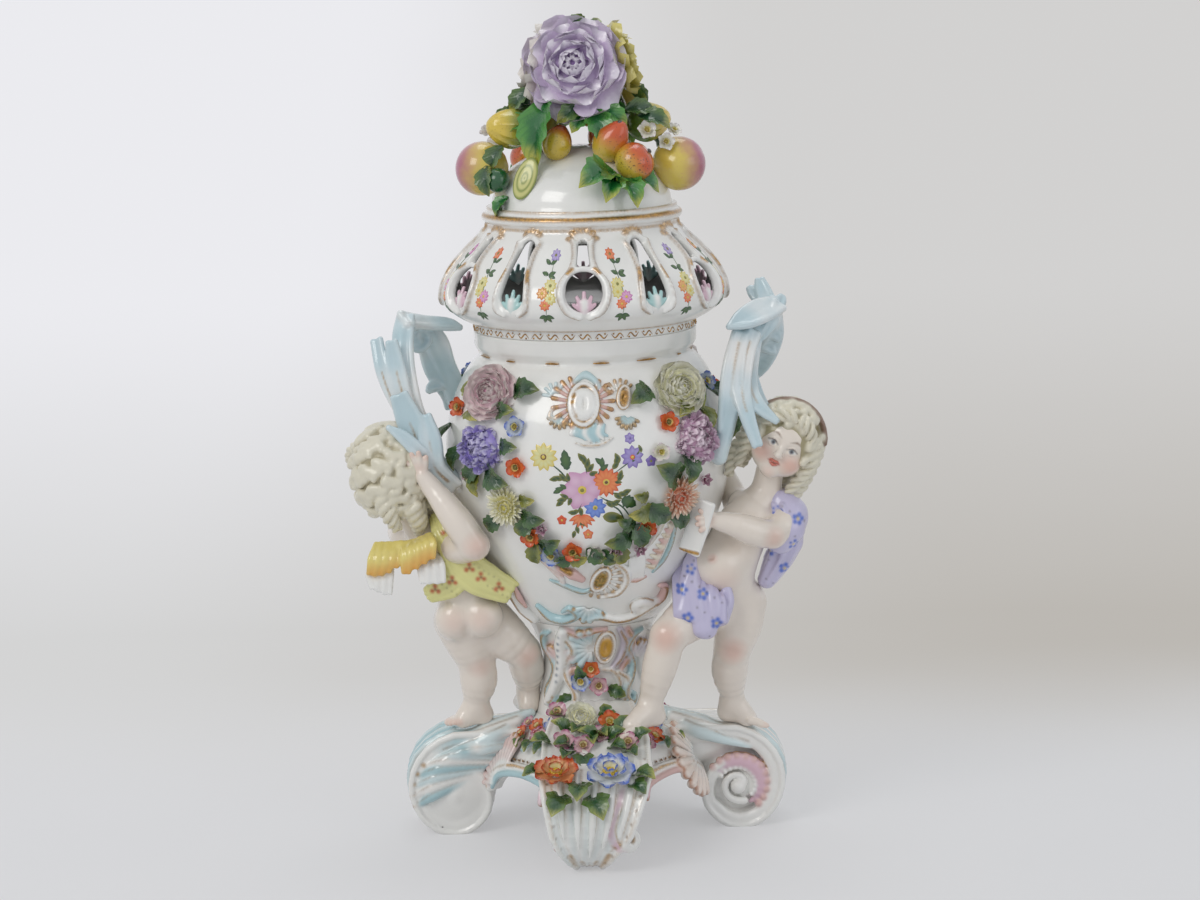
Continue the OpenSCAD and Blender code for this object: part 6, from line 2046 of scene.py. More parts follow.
@dataclass
class Head:
    """A child's head with its own axes.

    Attributes:
        at: Middle of the skull.
        up: Direction of the crown.
        look: Direction that the face looks in.
        cell: Grid cell of the clay.
    """

    at: Point
    up: Point
    look: Point
    cell: float = 0.55

    def __post_init__(self) -> None:
        """Squares up the axes."""
        self.up = unit(self.up)
        look = np.asarray(self.look, float)
        self.look = unit(look - self.up * (look @ self.up))
        self.side = np.cross(self.up, self.look)
        self.axes = np.stack([self.side, self.up, self.look])

    def spot(self, s: float, u: float, f: float) -> np.ndarray:
        """Finds a point by its distance to the side, up and forward."""
        return np.asarray(self.at) + s * self.side + u * self.up + f * self.look

    def egg(self, s: float, u: float, f: float, *radii: float) -> Egg:
        """Makes an egg in the head's own axes."""
        return Egg(self.spot(s, u, f), radii, self.axes)

    def line(self, path: Sequence[Point], radii: Sequence[float], steps: int = 4) -> Strand:
        """Makes a stroke in the head's own axes."""
        p = smooth(np.array([self.spot(*q) for q in path]), steps)
        return Strand(p, graded(len(p), radii))

    def face(self, clay: Clay) -> None:
        """Models and paints a calm child's face."""
        flesh, blush, lip, ink = (paint(e) for e in (Enamel.FLESH, Enamel.BLUSH, Enamel.LIP, Enamel.INK))
        clay.add(self.egg(0, 3, 0, 18.5, 20.5, 19.5), 2, flesh)
        clay.add(self.egg(0, -10, 7, 14, 9.5, 11), 5, flesh)
        clay.add(self.egg(0, 8, 9, 14.5, 11, 10.5), 4, flesh)
        for s in (-1, 1):
            clay.add(self.egg(8.6 * s, -6.5, 11.5, 7.6, 7.2, 7.2), 4, flesh)
            clay.add(self.egg(18.4 * s, -1, 0, 2.4, 4.8, 3.6), 1.5, flesh)
            clay.cut(self.egg(6.7 * s, 2.2, 20.8, 4.4, 2.5, 2.4), 2.4)
        clay.add(self.egg(0, -16, 13, 5.2, 4.4, 5), 4, flesh)
        clay.add(self.line([(0, 4.5, 17.6), (0, 0.5, 19.2), (0, -3.4, 21.6)], (1.5, 1.7, 2.4)), 1.8, flesh)
        for s in (-1, 1):
            clay.add(self.egg(1.9 * s, -4.1, 20.2, 1.5, 1.2, 1.6), 0.9, flesh)
            clay.add(self.egg(6.7 * s, 1.9, 15.6, 3.7, 2.5, 3.2), 0.5, paint(Enamel.WHITE))
            clay.add(self.line([(3.1 * s, 1.6, 18.6), (6.6 * s, 4.0, 19.0), (10.4 * s, 2.2, 16.8)],
                (0.55, 0.8, 0.55)), 0.5, flesh)
            clay.add(self.line([(3.3 * s, 1.2, 18.4), (6.7 * s, -0.5, 18.7), (10.0 * s, 1.2, 16.6)],
                (0.5, 0.6, 0.5)), 0.5, flesh)
            clay.stain(self.egg(6.5 * s, 1.8, 18.8, 1.5, 1.6, 1.6), Paint(linear(108, 122, 134)), 0.35)
            clay.stain(self.egg(6.5 * s, 1.8, 19.0, 0.75, 0.8, 1.2), ink, 0.3)
            clay.stain(self.line([(3.0 * s, 1.8, 19.2), (6.6 * s, 3.7, 19.7), (10.4 * s, 2.2, 17.4)],
                (0.35, 0.55, 0.35)), ink, 0.35)
            clay.stain(self.line([(3.0 * s, 6.6, 19.6), (7.0 * s, 8.4, 19.0), (11.5 * s, 7.0, 16.6)],
                (0.3, 0.65, 0.25)), paint(Enamel.BROWN), 0.4, 0.85)
            clay.stain(self.egg(10.2 * s, -6.5, 17, 6.5, 5.5, 6), blush, 3.2, 0.75)
        clay.add(self.line([(-3.9, -9.0, 18.0), (-1.3, -8.0, 19.7), (0, -8.4, 19.9), (1.3, -8.0, 19.7),
            (3.9, -9.0, 18.0)], (0.45, 0.85, 0.7, 0.85, 0.45)), 0.5, lip)
        clay.add(self.line([(-2.8, -9.7, 18.2), (0, -10.7, 19.3), (2.8, -9.7, 18.2)], (0.45, 1.1, 0.45)),
            0.5, lip)
        clay.stain(self.line([(-4.1, -9.1, 18.6), (0, -9.5, 20.6), (4.1, -9.1, 18.6)], (0.3, 0.3, 0.3)),
            Paint(linear(150, 52, 44)), 0.3)
        clay.stain(self.egg(0, -16, 17.5, 3.5, 3, 3), blush, 2.5, 0.35)

    def curls(self, clay: Clay, count: int, open_face: Callable[[float, float, float], bool], size: float,
            volume: float) -> None:
        """Covers the skull with curls, set out on a spiral from the crown.

        Args:
            clay: Block of the hair.
            count: Number of curls.
            open_face: Tells whether a direction (side, up, forward) stays free of hair.
            size: Radius of a curl.
            volume: How far the hair stands off the skull, 1 when it lies close.
        """
        pale, shade = paint(Enamel.HAIR), paint(Enamel.HAIR_SHADE)
        for k in range(count):
            u = 1 - 1.72 * (k + 0.5) / count
            ring, a = math.sqrt(max(0, 1 - u * u)), k * 2.39996
            d = (ring * math.cos(a), u, ring * math.sin(a))
            if open_face(*d):
                continue
            base = self.spot(d[0] * 20.5 * volume, 3 + d[1] * 22.5 * volume,
                -1 + d[2] * 21.5 * (volume if d[2] < 0.3 else 1.0))
            n = unit(d[0] * self.side + d[1] * self.up + d[2] * self.look)
            t = unit(np.cross(n, self.up + 0.31 * self.look))
            b = np.cross(n, t)
            spin = (1 if k % 2 else -1) * (0.8 + 0.2 * math.sin(3.1 * k))
            path = []
            for j in range(11):
                f = j / 10
                w = a + spin * (0.6 + 4.2 * f)
                r = size * (1.25 - 0.85 * f)
                path.append(base + r * (math.cos(w) * t + math.sin(w) * b) + n * (1.6 * f - 0.6))
            clay.add(Strand(path, np.linspace(2.2, 1.9, 11) * size / 4.6), 1.5, pale)
            tail = np.asarray(path[2:])
            flow = np.gradient(tail, axis=0)
            flow /= np.linalg.norm(flow, axis=1)[:, None]
            # Painted shade along one side of each curl.
            clay.stain(Strand(tail + n * 0.2 + 0.45 * size * np.cross(n, flow), 0.7), shade, 0.9, 0.4)

    def ringlet(self, clay: Clay, path: Sequence[Point], wide: float, turns: float) -> None:
        """Hangs a twisted lock along a path in the head's own axes."""
        p = smooth(np.array([self.spot(*q) for q in path]), 8)
        n = len(p)
        flow = np.gradient(p, axis=0)
        t = np.linspace(0, 1, n)
        # The darker core is painted shade between the twisted strands.
        clay.add(Strand(p, wide * (0.8 - 0.45 * t)), 0.8, paint(Enamel.HAIR_SHADE))
        for k in range(3):
            a = 2 * np.pi * (turns * t + k / 3)
            one = np.cross(flow, self.look + 0.2 * self.side)
            one /= np.linalg.norm(one, axis=1)[:, None]
            two = np.cross(flow, one)
            two /= np.linalg.norm(two, axis=1)[:, None]
            r = wide * (1 - 0.55 * t)
            twist = p + one * (r * np.cos(a))[:, None] + two * (r * np.sin(a))[:, None]
            clay.add(Strand(twist, wide * (0.52 - 0.24 * t)), 0.5, paint(Enamel.HAIR))

    def cap(self, clay: Clay, volume: float) -> None:
        """Lays a darker ground under the curls, as painted shade in the hollows between them, and clears
        the face.
        """
        clay.add(self.egg(0, 4.5, -1.5, 20.8, 22.0, 21.0), 1, paint(Enamel.HAIR_SHADE))
        clay.add(self.egg(0, 3.5, -2.5, 20.6 * volume, 22.6 * volume, 20.6 * volume), 2,
            paint(Enamel.HAIR_SHADE))
        clay.cut(self.egg(0, -7.5, 22, 16.5, 17.5, 19), 2.0)
        clay.cut(self.egg(0, -24, 4, 17, 12, 16), 2.0)


@dataclass
class Putto:
    """What both children share: limbs, hands and feet in one skin of clay.

    Attributes:
        name: Prefix of the pieces.
        low: Lowest corner of the figure's block.
        high: Highest corner.
        cell: Grid cell of the clay.
    """

    name: str
    low: Point
    high: Point
    cell: float = 0.9

    def __post_init__(self) -> None:
        """Lays out the block of the flesh."""
        self.flesh = Clay(self.low, self.high, self.cell, paint(Enamel.FLESH))
        self.tone = paint(Enamel.FLESH)

    def limb(self, path: Sequence[Point], radii: Sequence[float], blend: float = 4.0,
            steps: int = 3) -> None:
        """Presses on a limb along a smooth path."""
        p = smooth(np.asarray(path, float), steps)
        r = smooth(np.asarray(radii, float)[:, None], steps)[:, 0]
        self.flesh.add(Strand(p, r), blend, self.tone)

    def blush(self, at: Point, radius: float, strength: float = 0.5) -> None:
        """Warms the skin round a point."""
        self.flesh.stain(Egg(at, (radius, radius, radius)), paint(Enamel.BLUSH), radius * 0.6, strength)

    def hand(self, wrist: Point, palm: Point, tips: Sequence[Point], thumb: Point) -> None:
        """Models a small hand with four fingers and a thumb."""
        palm, wrist = np.asarray(palm, float), np.asarray(wrist, float)
        self.limb([wrist, (wrist + palm) / 2, palm], (6.0, 5.8, 5.0), 2)
        tips = np.asarray(tips, float)
        mid = tips.mean(0)
        for tip in tips:
            knuckle = palm + 0.42 * (tip - mid) + 0.35 * (mid - palm)
            bend = (knuckle + tip) / 2 + 0.18 * (knuckle - palm)
            self.limb([palm + 0.25 * (tip - mid), knuckle, bend, tip], (2.6, 2.3, 2.0, 1.6), 0.7)
            self.blush(tip, 2.2, 0.6)
        thumb = np.asarray(thumb, float)
        self.limb([palm, (palm + thumb) / 2, thumb], (2.8, 2.4, 1.8), 0.8)
        self.blush(palm + 0.4 * (mid - palm), 4.0, 0.35)

    def foot(self, ankle: Point, heel: Point, ball: Point, toes: Point, side: Point) -> None:
        """Models a small foot with five toes.

        Args:
            ankle: Middle of the ankle.
            heel: Middle of the heel.
            ball: Middle of the ball.
            toes: Middle of the toes' tips.
            side: Direction from the little toe to the big toe.
        """
        ankle, heel, ball, toes = (np.asarray(v, float) for v in (ankle, heel, ball, toes))
        side = unit(side)
        self.limb([ankle, heel], (7.4, 6.2), 3)
        self.limb([ankle - 0.3 * (ankle - heel), 0.5 * (ankle + ball), ball], (7.0, 6.8, 5.4), 3)
        self.limb([heel, ball - side * 2], (5.6, 5.0), 3)
        for k in range(5):
            r = 2.6 - 0.25 * k
            base = ball + side * (4.6 - 2.5 * k)
            tip = toes + side * (4.4 - 2.5 * k) - (toes - ball) * 0.05 * k * k
            self.limb([base, (base + tip) / 2 + (0, 0, 0.7), tip], (r * 1.1, r, r * 0.95), 0.8)
            self.blush(tip, 2.4, 0.55)

    def clear_body(self, clay: Clay, blend: float = 0.4) -> None:
        """Cuts away what lies inside the wall of the body."""
        clay.cut(Turned(lambda z: body_radius(z) - 1.0, 141, 326, 100), blend)

    def face_piece(self, head: Head, glaze: bpy.types.Material, nodes: Sequence[str]) -> None:
        """Models the face and hands it over."""
        clay = Clay(np.asarray(head.at) - 27, np.asarray(head.at) + 27, head.cell, self.tone)
        head.face(clay)
        self.piece(clay, "face", "flesh", glaze, nodes)

    def skin_piece(self, glaze: bpy.types.Material, nodes: Sequence[str]) -> None:
        """Hands over the flesh."""
        self.clear_body(self.flesh, 0.2)
        self.flesh.cut(Turned(lambda z: pedestal_radius(z) - 1.0, 76, 141, 60), 0.2)
        fire(self.flesh, self.name + "_flesh", glaze, "vase", nodes)

    def piece(self, clay: Clay, part: str, slot: str, glaze: bpy.types.Material,
            nodes: Sequence[str]) -> None:
        """Hands over one modelled part."""
        fire(clay, f"{self.name}_{part}", glaze, "vase", nodes)


class Girl(Putto):
    """The girl on the right, seen from the front, with a tablet and a flowered cloth."""

    HEAD = Head((121.5, -30, 251), (0.5, -0.05, 0.86), (-0.16, -0.97, -0.12))

    def body(self) -> None:
        """Models trunk, arms and legs."""
        add, tone = self.flesh.add, self.tone
        self.limb([(86, -24, 150), (85, -31, 172), (97, -30, 200), (111, -27, 219)],
            (18.5, 18.5, 16.5, 9.0), 3)
        add(Egg((80, -41, 177), (18.0, 17.0, 17)), 6, tone)
        add(Egg((98, -35, 202), (15, 11.5, 12)), 6, tone)
        add(Egg((90, -22, 150), (19, 18, 14)), 6, tone)
        for x, z in ((78, 138), (96, 138)):
            add(Egg((x, -14, z + 4), (11, 11, 12)), 5, tone)
        self.limb([(98, -22, 210), (112, -24, 213), (121, -27, 209)], (9.5, 10, 9.5), 4)
        self.limb([self.HEAD.spot(0, -12, -2), (111, -27, 220)], (8.8, 9.2), 4, 2)
        self.limb([(121, -28, 208), (122, -38, 203), (114, -47, 197)], (9.6, 9.6, 8.4), 3)
        self.limb([(114, -47, 197), (103, -53, 200), (92, -57, 205), (83, -59, 208)],
            (8.6, 9.4, 8.0, 6.0), 2.5)
        self.hand((83, -59, 208), (77, -61, 210), [(68, -66, 217), (66, -68, 213), (66, -68.5, 209),
            (68, -68, 205)], (73, -66, 219))
        self.limb([(97, -20, 211), (97, -6, 209), (94, 4, 208)], (9.4, 9.2, 8.2), 3)
        self.limb([(94, 4, 208), (91, 11, 216), (88, 15, 224)], (8.2, 8.0, 6.0), 2.5)
        self.hand((88, 15, 224), (87, 16, 230), [(83, 13, 238), (86, 15, 240), (88, 18, 239),
            (90, 21, 236)], (82, 11, 231))
        self.limb([(94, -24, 148), (92, -27, 134), (88, -30, 119)], (16.5, 15.2, 11.4), 4)
        self.limb([(88, -28, 119), (86.5, -23, 104), (88, -17, 88)], (11.4, 11.6, 7.8), 2.5)
        self.foot((88, -16, 83), (85, -13, 74.5), (98, -18, 71), (108, -20, 67), (0.2, -0.95, 0.0))
        self.limb([(74, -34, 150), (60, -47, 144), (47, -56, 136)], (16, 14.6, 11.2), 4)
        self.limb([(47, -56, 136), (41, -55, 115), (35.5, -54, 95)], (11.2, 11.0, 7.6), 2.5)
        self.foot((34.5, -54, 91), (38, -50, 83), (23, -66, 81), (13, -74, 76.5), (0.6, -0.75, 0.0))
        for at, r, s in (((88, -41, 121), 7, 0.6), ((45, -66, 137), 8, 0.65), ((114, -56, 196), 6, 0.5),
                ((75, -57, 185), 2.8, 0.8), ((82, -53, 170), 9, 0.25)):
            self.blush(at, r, s)
        self.flesh.cut(Egg((75, -57.0, 185), (1.7, 2.6, 1.3)), 1.5)

    def head(self, skin: bpy.types.Material, hair: bpy.types.Material) -> None:
        """Models the head and the hair."""
        h = self.HEAD
        self.face_piece(h, skin, ["girl_head"])
        lock = Clay(np.asarray(h.at) - (48, 36, 48), np.asarray(h.at) + (38, 34, 38), 0.75,
            paint(Enamel.HAIR))
        h.cap(lock, 1.1)

        def open_face(s: float, u: float, f: float) -> bool:
            """Leaves the face and the neck free."""
            return f > 0.1 and u < 0.62 and abs(s) < 0.74 or u < -0.42 and f > -0.35

        h.curls(lock, 130, open_face, 4.8, 1.14)
        for s in (-1, 1):
            h.ringlet(lock, [(17 * s, 12, 8), (20.5 * s, 0, 8), (20 * s, -12, 6), (18 * s, -24, 4)], 4.6,
                2.2)
            h.ringlet(lock, [(19 * s, 8, 0), (22 * s, -6, 0), (23 * s, -20, 0), (20 * s, -33, 2)], 5.0, 2.6)
            h.ringlet(lock, [(14 * s, 2, -14), (16 * s, -12, -15), (15 * s, -26, -12)], 5.2, 2.4)
            h.ringlet(lock, [(2 * s, 22, 16), (9 * s, 19.5, 17), (15 * s, 13, 14), (18.5 * s, 5, 11)], 3.6,
                1.8)
        band = [h.spot(25.2 * math.cos(a), 3 + 27.4 * math.sin(a), 3.5)
            for a in np.radians(np.arange(24, 157, 7))]
        lock.add(Strand(band, 1.6), 1.2, paint(Enamel.HAIR))
        lock.stain(Strand(band, 2.2), Paint(linear(112, 70, 50)), 0.5, 0.9)
        lock.cut(Turned(lambda z: body_radius(z) + 0.5, 200, 326, 100), 0.4)
        self.piece(lock, "curls", "hair", hair, ["girl_hair"])

    def cloth(self, glaze: bpy.types.Material) -> None:
        """Models the flowered cloth and its printed sprigs."""
        clay = Clay((50, -72, 128), (140, 2, 222), 0.75, paint(Enamel.LILAC))
        lilac, shade = paint(Enamel.LILAC), Paint(linear(160, 152, 200))
        folds = [([(64, -46, 180), (63, -53, 168), (65, -58, 155), (68, -60, 141)], 11),
            ([(64, -44, 184), (59, -53, 168), (57, -59, 152)], 10),
            ([(74, -54, 163), (76, -57, 157), (75, -59, 149), (72, -59, 140)], 10),
            ([(84, -50, 164), (85, -52, 156), (81, -56, 146)], 8),
            ([(58, -38, 178), (52.5, -48, 166), (52, -57, 152)], 8)]
        for path, wide in folds:
            p = smooth(np.array(path, float), 4)
            clay.add(Strand(p, np.linspace(wide * 0.42, wide * 0.56, len(p))), 4.0, lilac)
        for k in range(7):
            f = k / 6
            p = smooth(np.array([(59 + 22 * f, -47 - 6 * f, 181 - 20 * f),
                (58 + 24 * f, -57 - 2 * f, 166 - 8 * f), (60 + 22 * f, -63 + 2 * f, 148 - 2 * f)]), 4)
            clay.add(Strand(p, np.linspace(1.2, 2.0, len(p))), 2.0, lilac)
            # Painted shade beside each fold.
            clay.stain(Strand(p + (2.2, -1, 0), 1.0), shade, 1.2, 0.5)
        sleeve = [((121, -29, 213), 10.8), ((126, -33, 207), 11.2), ((124, -38, 199), 11.0),
            ((119, -40, 192), 9.0)]
        clay.add(Strand([s[0] for s in sleeve], [s[1] for s in sleeve]), 3, lilac)
        trail = [((124, -30, 200), 9.0), ((125, -26, 188), 9.5), ((118, -24, 176), 9.0),
            ((111, -27, 164), 6.0)]
        clay.add(Strand([s[0] for s in trail], [s[1] for s in trail]), 4, lilac)
        for k in range(6):
            a = -2.4 + 0.8 * k
            p = smooth(np.array([(121 + 8 * math.cos(a), -33 + 8 * math.sin(a), 214),
                (124 + 11.5 * math.cos(a), -34 + 11 * math.sin(a), 204),
                (120 + 9 * math.cos(a), -38 + 8 * math.sin(a), 192)]), 4)
            clay.add(Strand(p, 1.5), 1.8, lilac)
            q = smooth(np.array([(124 + 9 * math.cos(a), -28 + 8 * math.sin(a), 192),
                (119 + 9 * math.cos(a), -25 + 9 * math.sin(a), 177),
                (111 + 5 * math.cos(a), -27 + 5 * math.sin(a), 163)]), 4)
            clay.add(Strand(q, 1.4), 1.8, lilac)
        blossoms = [(62, -60, 178), (69, -63, 163), (59, -64, 149), (77, -62, 145), (130, -43, 206),
            (127, -40, 190), (117, -48, 211), (122, -35, 172), (113, -36, 184), (134, -24, 199),
            (56, -56, 166), (128, -18, 182)]
        blue, gold = paint(Enamel.BLUE), paint(Enamel.YELLOW)
        for at in blossoms:
            for k in range(5):
                a = 2 * math.pi * k / 5
                clay.stain(Egg((at[0] + 2.5 * math.cos(a), at[1], at[2] + 2.5 * math.sin(a)),
                    (1.5, 9, 1.5)), blue, 0.4, 0.95)
            clay.stain(Egg(at, (0.8, 9, 0.8)), gold, 0.3)
        for k in range(60):
            x, z = 54 + 82 * ((k * 0.618) % 1), 134 + 82 * ((k * 0.755) % 1)
            clay.stain(Egg((x, -50, z), (0.6, 28, 0.6)), paint(Enamel.INK), 0.3, 0.8)
        self.clear_body(clay)
        self.piece(clay, "cloth", "drapery_lilac", glaze, ["girl_drapery"])

    def tablet(self, glaze: bpy.types.Material) -> None:
        """Models the tablet in the hand."""
        clay = Clay((48, -78, 184), (86, -50, 228), 0.6)
        clay.add(Ribbon([(61, -62, 191), (66, -63.5, 205), (71, -65, 222)], (0.86, -0.42, -0.2), 15, 3.4),
            0.5, paint(Enamel.WHITE))
        clay.stain(Strand([(55, -61, 192), (66, -66, 190)], 0.9), GILDING, 0.4)
        self.clear_body(clay)
        self.piece(clay, "scroll", "porcelain", glaze, ["girl_tablet"])


class Boy(Putto):
    """The boy on the left, seen from behind, with a sash and small wings."""

    HEAD = Head((-124, -26, 236), (-0.2, -0.12, 0.97), (-0.8, 0.55, -0.2))

    def body(self) -> None:
        """Models trunk, arms and legs."""
        add, tone = self.flesh.add, self.tone
        self.limb([(-78, -24, 146), (-82, -28, 165), (-96, -28, 190), (-108, -27, 206)],
            (18.5, 17.5, 15.5, 9.0), 3)
        add(Egg((-80, -10, 168), (15, 14, 16)), 6, tone)
        add(Egg((-98, -31, 191), (14, 13, 12)), 6, tone)
        add(Egg((-87, -37, 146), (12.5, 12, 13.5)), 3.5, tone)
        add(Egg((-70, -37, 147), (13.5, 12, 13.5)), 3.5, tone)
        self.limb([(-87, -38, 193), (-98, -28, 196), (-110, -19, 192)], (10, 10.5, 9.5), 4)
        self.limb([self.HEAD.spot(2, -13, -3), (-109, -27, 205)], (9.0, 9.4), 4, 2)
        self.limb([(-88, -41, 193), (-80, -52, 195), (-72, -61, 198)], (10.2, 10.2, 9.0), 3)
        self.limb([(-72, -61, 198), (-80, -60, 210), (-90, -56, 224), (-98, -52, 234)],
            (9.2, 9.8, 8.2, 6.0), 2.5)
        self.hand((-98, -52, 234), (-103, -51, 241), [(-113, -51, 250), (-109.5, -53, 255),
            (-105, -54, 256), (-100.5, -53, 253)], (-112, -50, 243))
        self.limb([(-110, -19, 192), (-118, -8, 193), (-121, 3, 195)], (9.6, 9.6, 8.4), 3)
        self.limb([(-121, 3, 195), (-114, 11, 203), (-104, 17, 211)], (8.6, 8.6, 6.0), 2.5)
        self.hand((-104, 17, 211), (-98, 19, 215), [(-90, 17, 222), (-89, 20, 220), (-89, 23, 217),
            (-91, 25, 214)], (-96, 13, 221))
        self.limb([(-84, -24, 142), (-79, -22, 128), (-75, -19, 114)], (17.2, 15.4, 11.6), 4)
        self.limb([(-75, -19, 114), (-74, -17, 101), (-76, -14, 88)], (11.6, 12.0, 8.2), 2.5)
        self.foot((-76.5, -14, 84), (-72, -12, 77), (-85, -15, 75), (-95, -16, 72), (0.0, 0.95, 0.0))
        self.limb([(-68, -22, 142), (-56, -21, 130), (-45, -18, 119)], (16.4, 14.6, 11.0), 4)
        self.limb([(-45, -18, 119), (-43, -9, 106), (-43, 0, 93)], (11.0, 11.2, 7.6), 2.5)
        self.foot((-43, 2, 88), (-43, -4, 80), (-46, 13, 78), (-48, 22, 75), (0.9, 0.2, 0.0))
        for at, r, s in (((-70, -68, 199), 7, 0.5), ((-87, -48, 147), 7, 0.3), ((-70, -49, 148), 7, 0.3),
                ((-73, -28, 113), 6, 0.4), ((-42, -27, 118), 6, 0.5)):
            self.blush(at, r, s)
        crease = smooth(np.array([(-79, -52, 157), (-79, -50.5, 147), (-78.5, -44, 136)], float), 4)
        self.flesh.cut(Strand(crease, 1.2), 3.0)

    def head(self, skin: bpy.types.Material, hair: bpy.types.Material) -> None:
        """Models the head and the hair."""
        h = self.HEAD
        self.face_piece(h, skin, ["boy_head"])
        lock = Clay(np.asarray(h.at) - 42, np.asarray(h.at) + 42, 0.8, paint(Enamel.HAIR))
        h.cap(lock, 1.28)

        def open_face(s: float, u: float, f: float) -> bool:
            """Leaves the face and the neck free."""
            return f > 0.25 and u < 0.6 and abs(s) < 0.74 or u < -0.6 and f > 0.0

        h.curls(lock, 150, open_face, 5.4, 1.34)
        h.ringlet(lock, [(12, -14, -20), (10, -25, -20), (6, -35, -15)], 6.0, 1.6)
        h.ringlet(lock, [(-6, -14, -22), (-8, -25, -21), (-8, -34, -14)], 5.4, 1.6)
        h.ringlet(lock, [(22, -4, -8), (24, -16, -10), (20, -27, -10)], 5.4, 1.6)
        h.ringlet(lock, [(0, 21, 18), (2, 18, 25), (4, 12, 27)], 4.0, 1.5)
        h.ringlet(lock, [(-18, 2, 8), (-22, -8, 8), (-21, -18, 6)], 4.2, 1.6)
        self.piece(lock, "curls", "hair", hair, ["boy_hair"])

    def cloth(self, glaze: bpy.types.Material) -> None:
        """Models the sash and its trefoils."""
        clay = Clay((-122, -66, 146), (-40, 16, 222), 0.75, paint(Enamel.LIME))
        lime, shade = paint(Enamel.LIME), Paint(linear(186, 182, 96))
        runs = [([(-97, -36, 212), (-93, -45, 205), (-87, -49, 195), (-80, -50, 184), (-68, -51, 174),
            (-52, -48, 165)], (7, 12, 16, 22, 22, 15), (0.72, 0.1, 0.68)),
            ([(-80, -50, 180), (-90, -49, 171), (-102, -45, 164)], (17, 17, 9), (-0.5, 0.1, 0.86)),
            ([(-54, -47, 167), (-57, -28, 166), (-60, -8, 168), (-72, 6, 174), (-90, 4, 184),
            (-104, -6, 196), (-102, -26, 208)], (16, 16, 15, 15, 14, 13, 9), (0.15, 0.1, 1.0))]
        for path, wide, across in runs:
            p = smooth(np.array(path, float), 4)
            w = graded(len(p), wide)
            clay.add(Ribbon(p, across, w, 5.0, 3, 0.9), 1.6, lime)
            for k in (-1, 1):
                edge = p + np.asarray(unit(across)) * (0.46 * k * w)[:, None]
                clay.add(Strand(edge, 1.7), 1.4, lime)
                # Painted shade inside each rolled edge.
                clay.stain(Strand(edge - np.asarray(unit(across)) * (2.4 * k), 1.0), shade, 1.4, 0.6)
        red, dot = Paint(linear(190, 84, 36)), paint(Enamel.INK)
        for x, z in ((-90, 205), (-83, 190), (-69, 176), (-87, 174), (-76, 182), (-98, 168), (-58, 169)):
            for k in range(3):
                a = math.radians(90 + 120 * k)
                clay.stain(Egg((x + 2.2 * math.cos(a), -50, z + 2.2 * math.sin(a)), (1.5, 12, 1.5)), red,
                    0.5, 0.9)
            clay.stain(Egg((x, -50, z), (0.8, 12, 0.8)), paint(Enamel.BROWN), 0.4)
        for x, y, z in ((-60, 2, 170), (-80, 8, 179), (-98, 4, 190), (-56, -22, 167)):
            for k in range(3):
                a = math.radians(90 + 120 * k)
                clay.stain(Egg((x + 1.5 * math.cos(a), y, z + 2.2 * math.sin(a)), (1.8, 6, 1.5)), red, 0.5,
                    0.9)
        for k in range(46):
            x, z = -104 + 54 * ((k * 0.618) % 1), 160 + 52 * ((k * 0.755) % 1)
            clay.stain(Egg((x, -24, z), (0.55, 40, 0.55)), dot, 0.3, 0.8)
        self.clear_body(clay)
        self.piece(clay, "sash", "drapery_yellow", glaze, ["boy_drapery"])

    def wings(self, glaze: bpy.types.Material) -> None:
        """Models the two small wings, feather by feather."""
        clay = Clay((-147, -74, 162), (-86, -34, 212), 0.7)
        gold, tip, white = Paint(linear(232, 214, 124)), Paint(linear(222, 148, 52)), paint(Enamel.WHITE)
        feathers = [((-120 - 4.4 * k, -47, 197), (-121 - 4.6 * k, -55, 190.5),
            (-122.5 - 4.8 * k, -57, 184 - 1.6 * k + 0.8 * (k - 1.5) ** 2), gold) for k in range(4)]
        feathers += [((-116 + 5 * k, -47, 196 + 2 * k), (-114.5 + 5 * k, -57, 193.5 + 2 * k),
            (-115 + 5.2 * k, -60, 182 + 3 * k), gold) for k in range(4)]
        feathers += [((-125 - 5 * k, -47, 187), (-127 - 5 * k, -53, 180),
            (-127.5 - 4 * k, -55, 168 + 2 * k), white) for k in range(3)]
        feathers += [((-107 + 4.5 * k, -46, 190), (-105 + 5 * k, -55, 185), (-104 + 5.2 * k, -57, 175),
            white) for k in range(3)]
        clay.add(Strand([(-98, -42, 192), (-108, -46, 195), (-118, -48, 196)], (4.5, 3.6, 3.6)), 2.0, gold)
        for root, mid, end, coat in feathers:
            p = smooth(np.array([root, mid, end], float), 6)
            n = len(p)
            wide = np.interp(np.arange(n), [0, n * 0.5, n - 1], [5.5, 8.5, 6.5])
            across = np.cross(np.asarray(end, float) - root, (0.1, 1.0, 0.1))
            clay.add(Ribbon(p, unit(across), wide, np.interp(np.arange(n), [0, n - 1], [4.4, 3.0]), 1, 0.3),
                2.4, coat)
            if coat is gold:
                clay.stain(Egg(end, (4.0, 8, 4.0)), tip, 4.5, 0.8)
            clay.stain(Strand(p - (0, 2.4, 0), 0.4), paint(Enamel.BROWN), 0.4, 0.3)
        self.piece(clay, "feathers", "wings", glaze, ["boy_wings"])


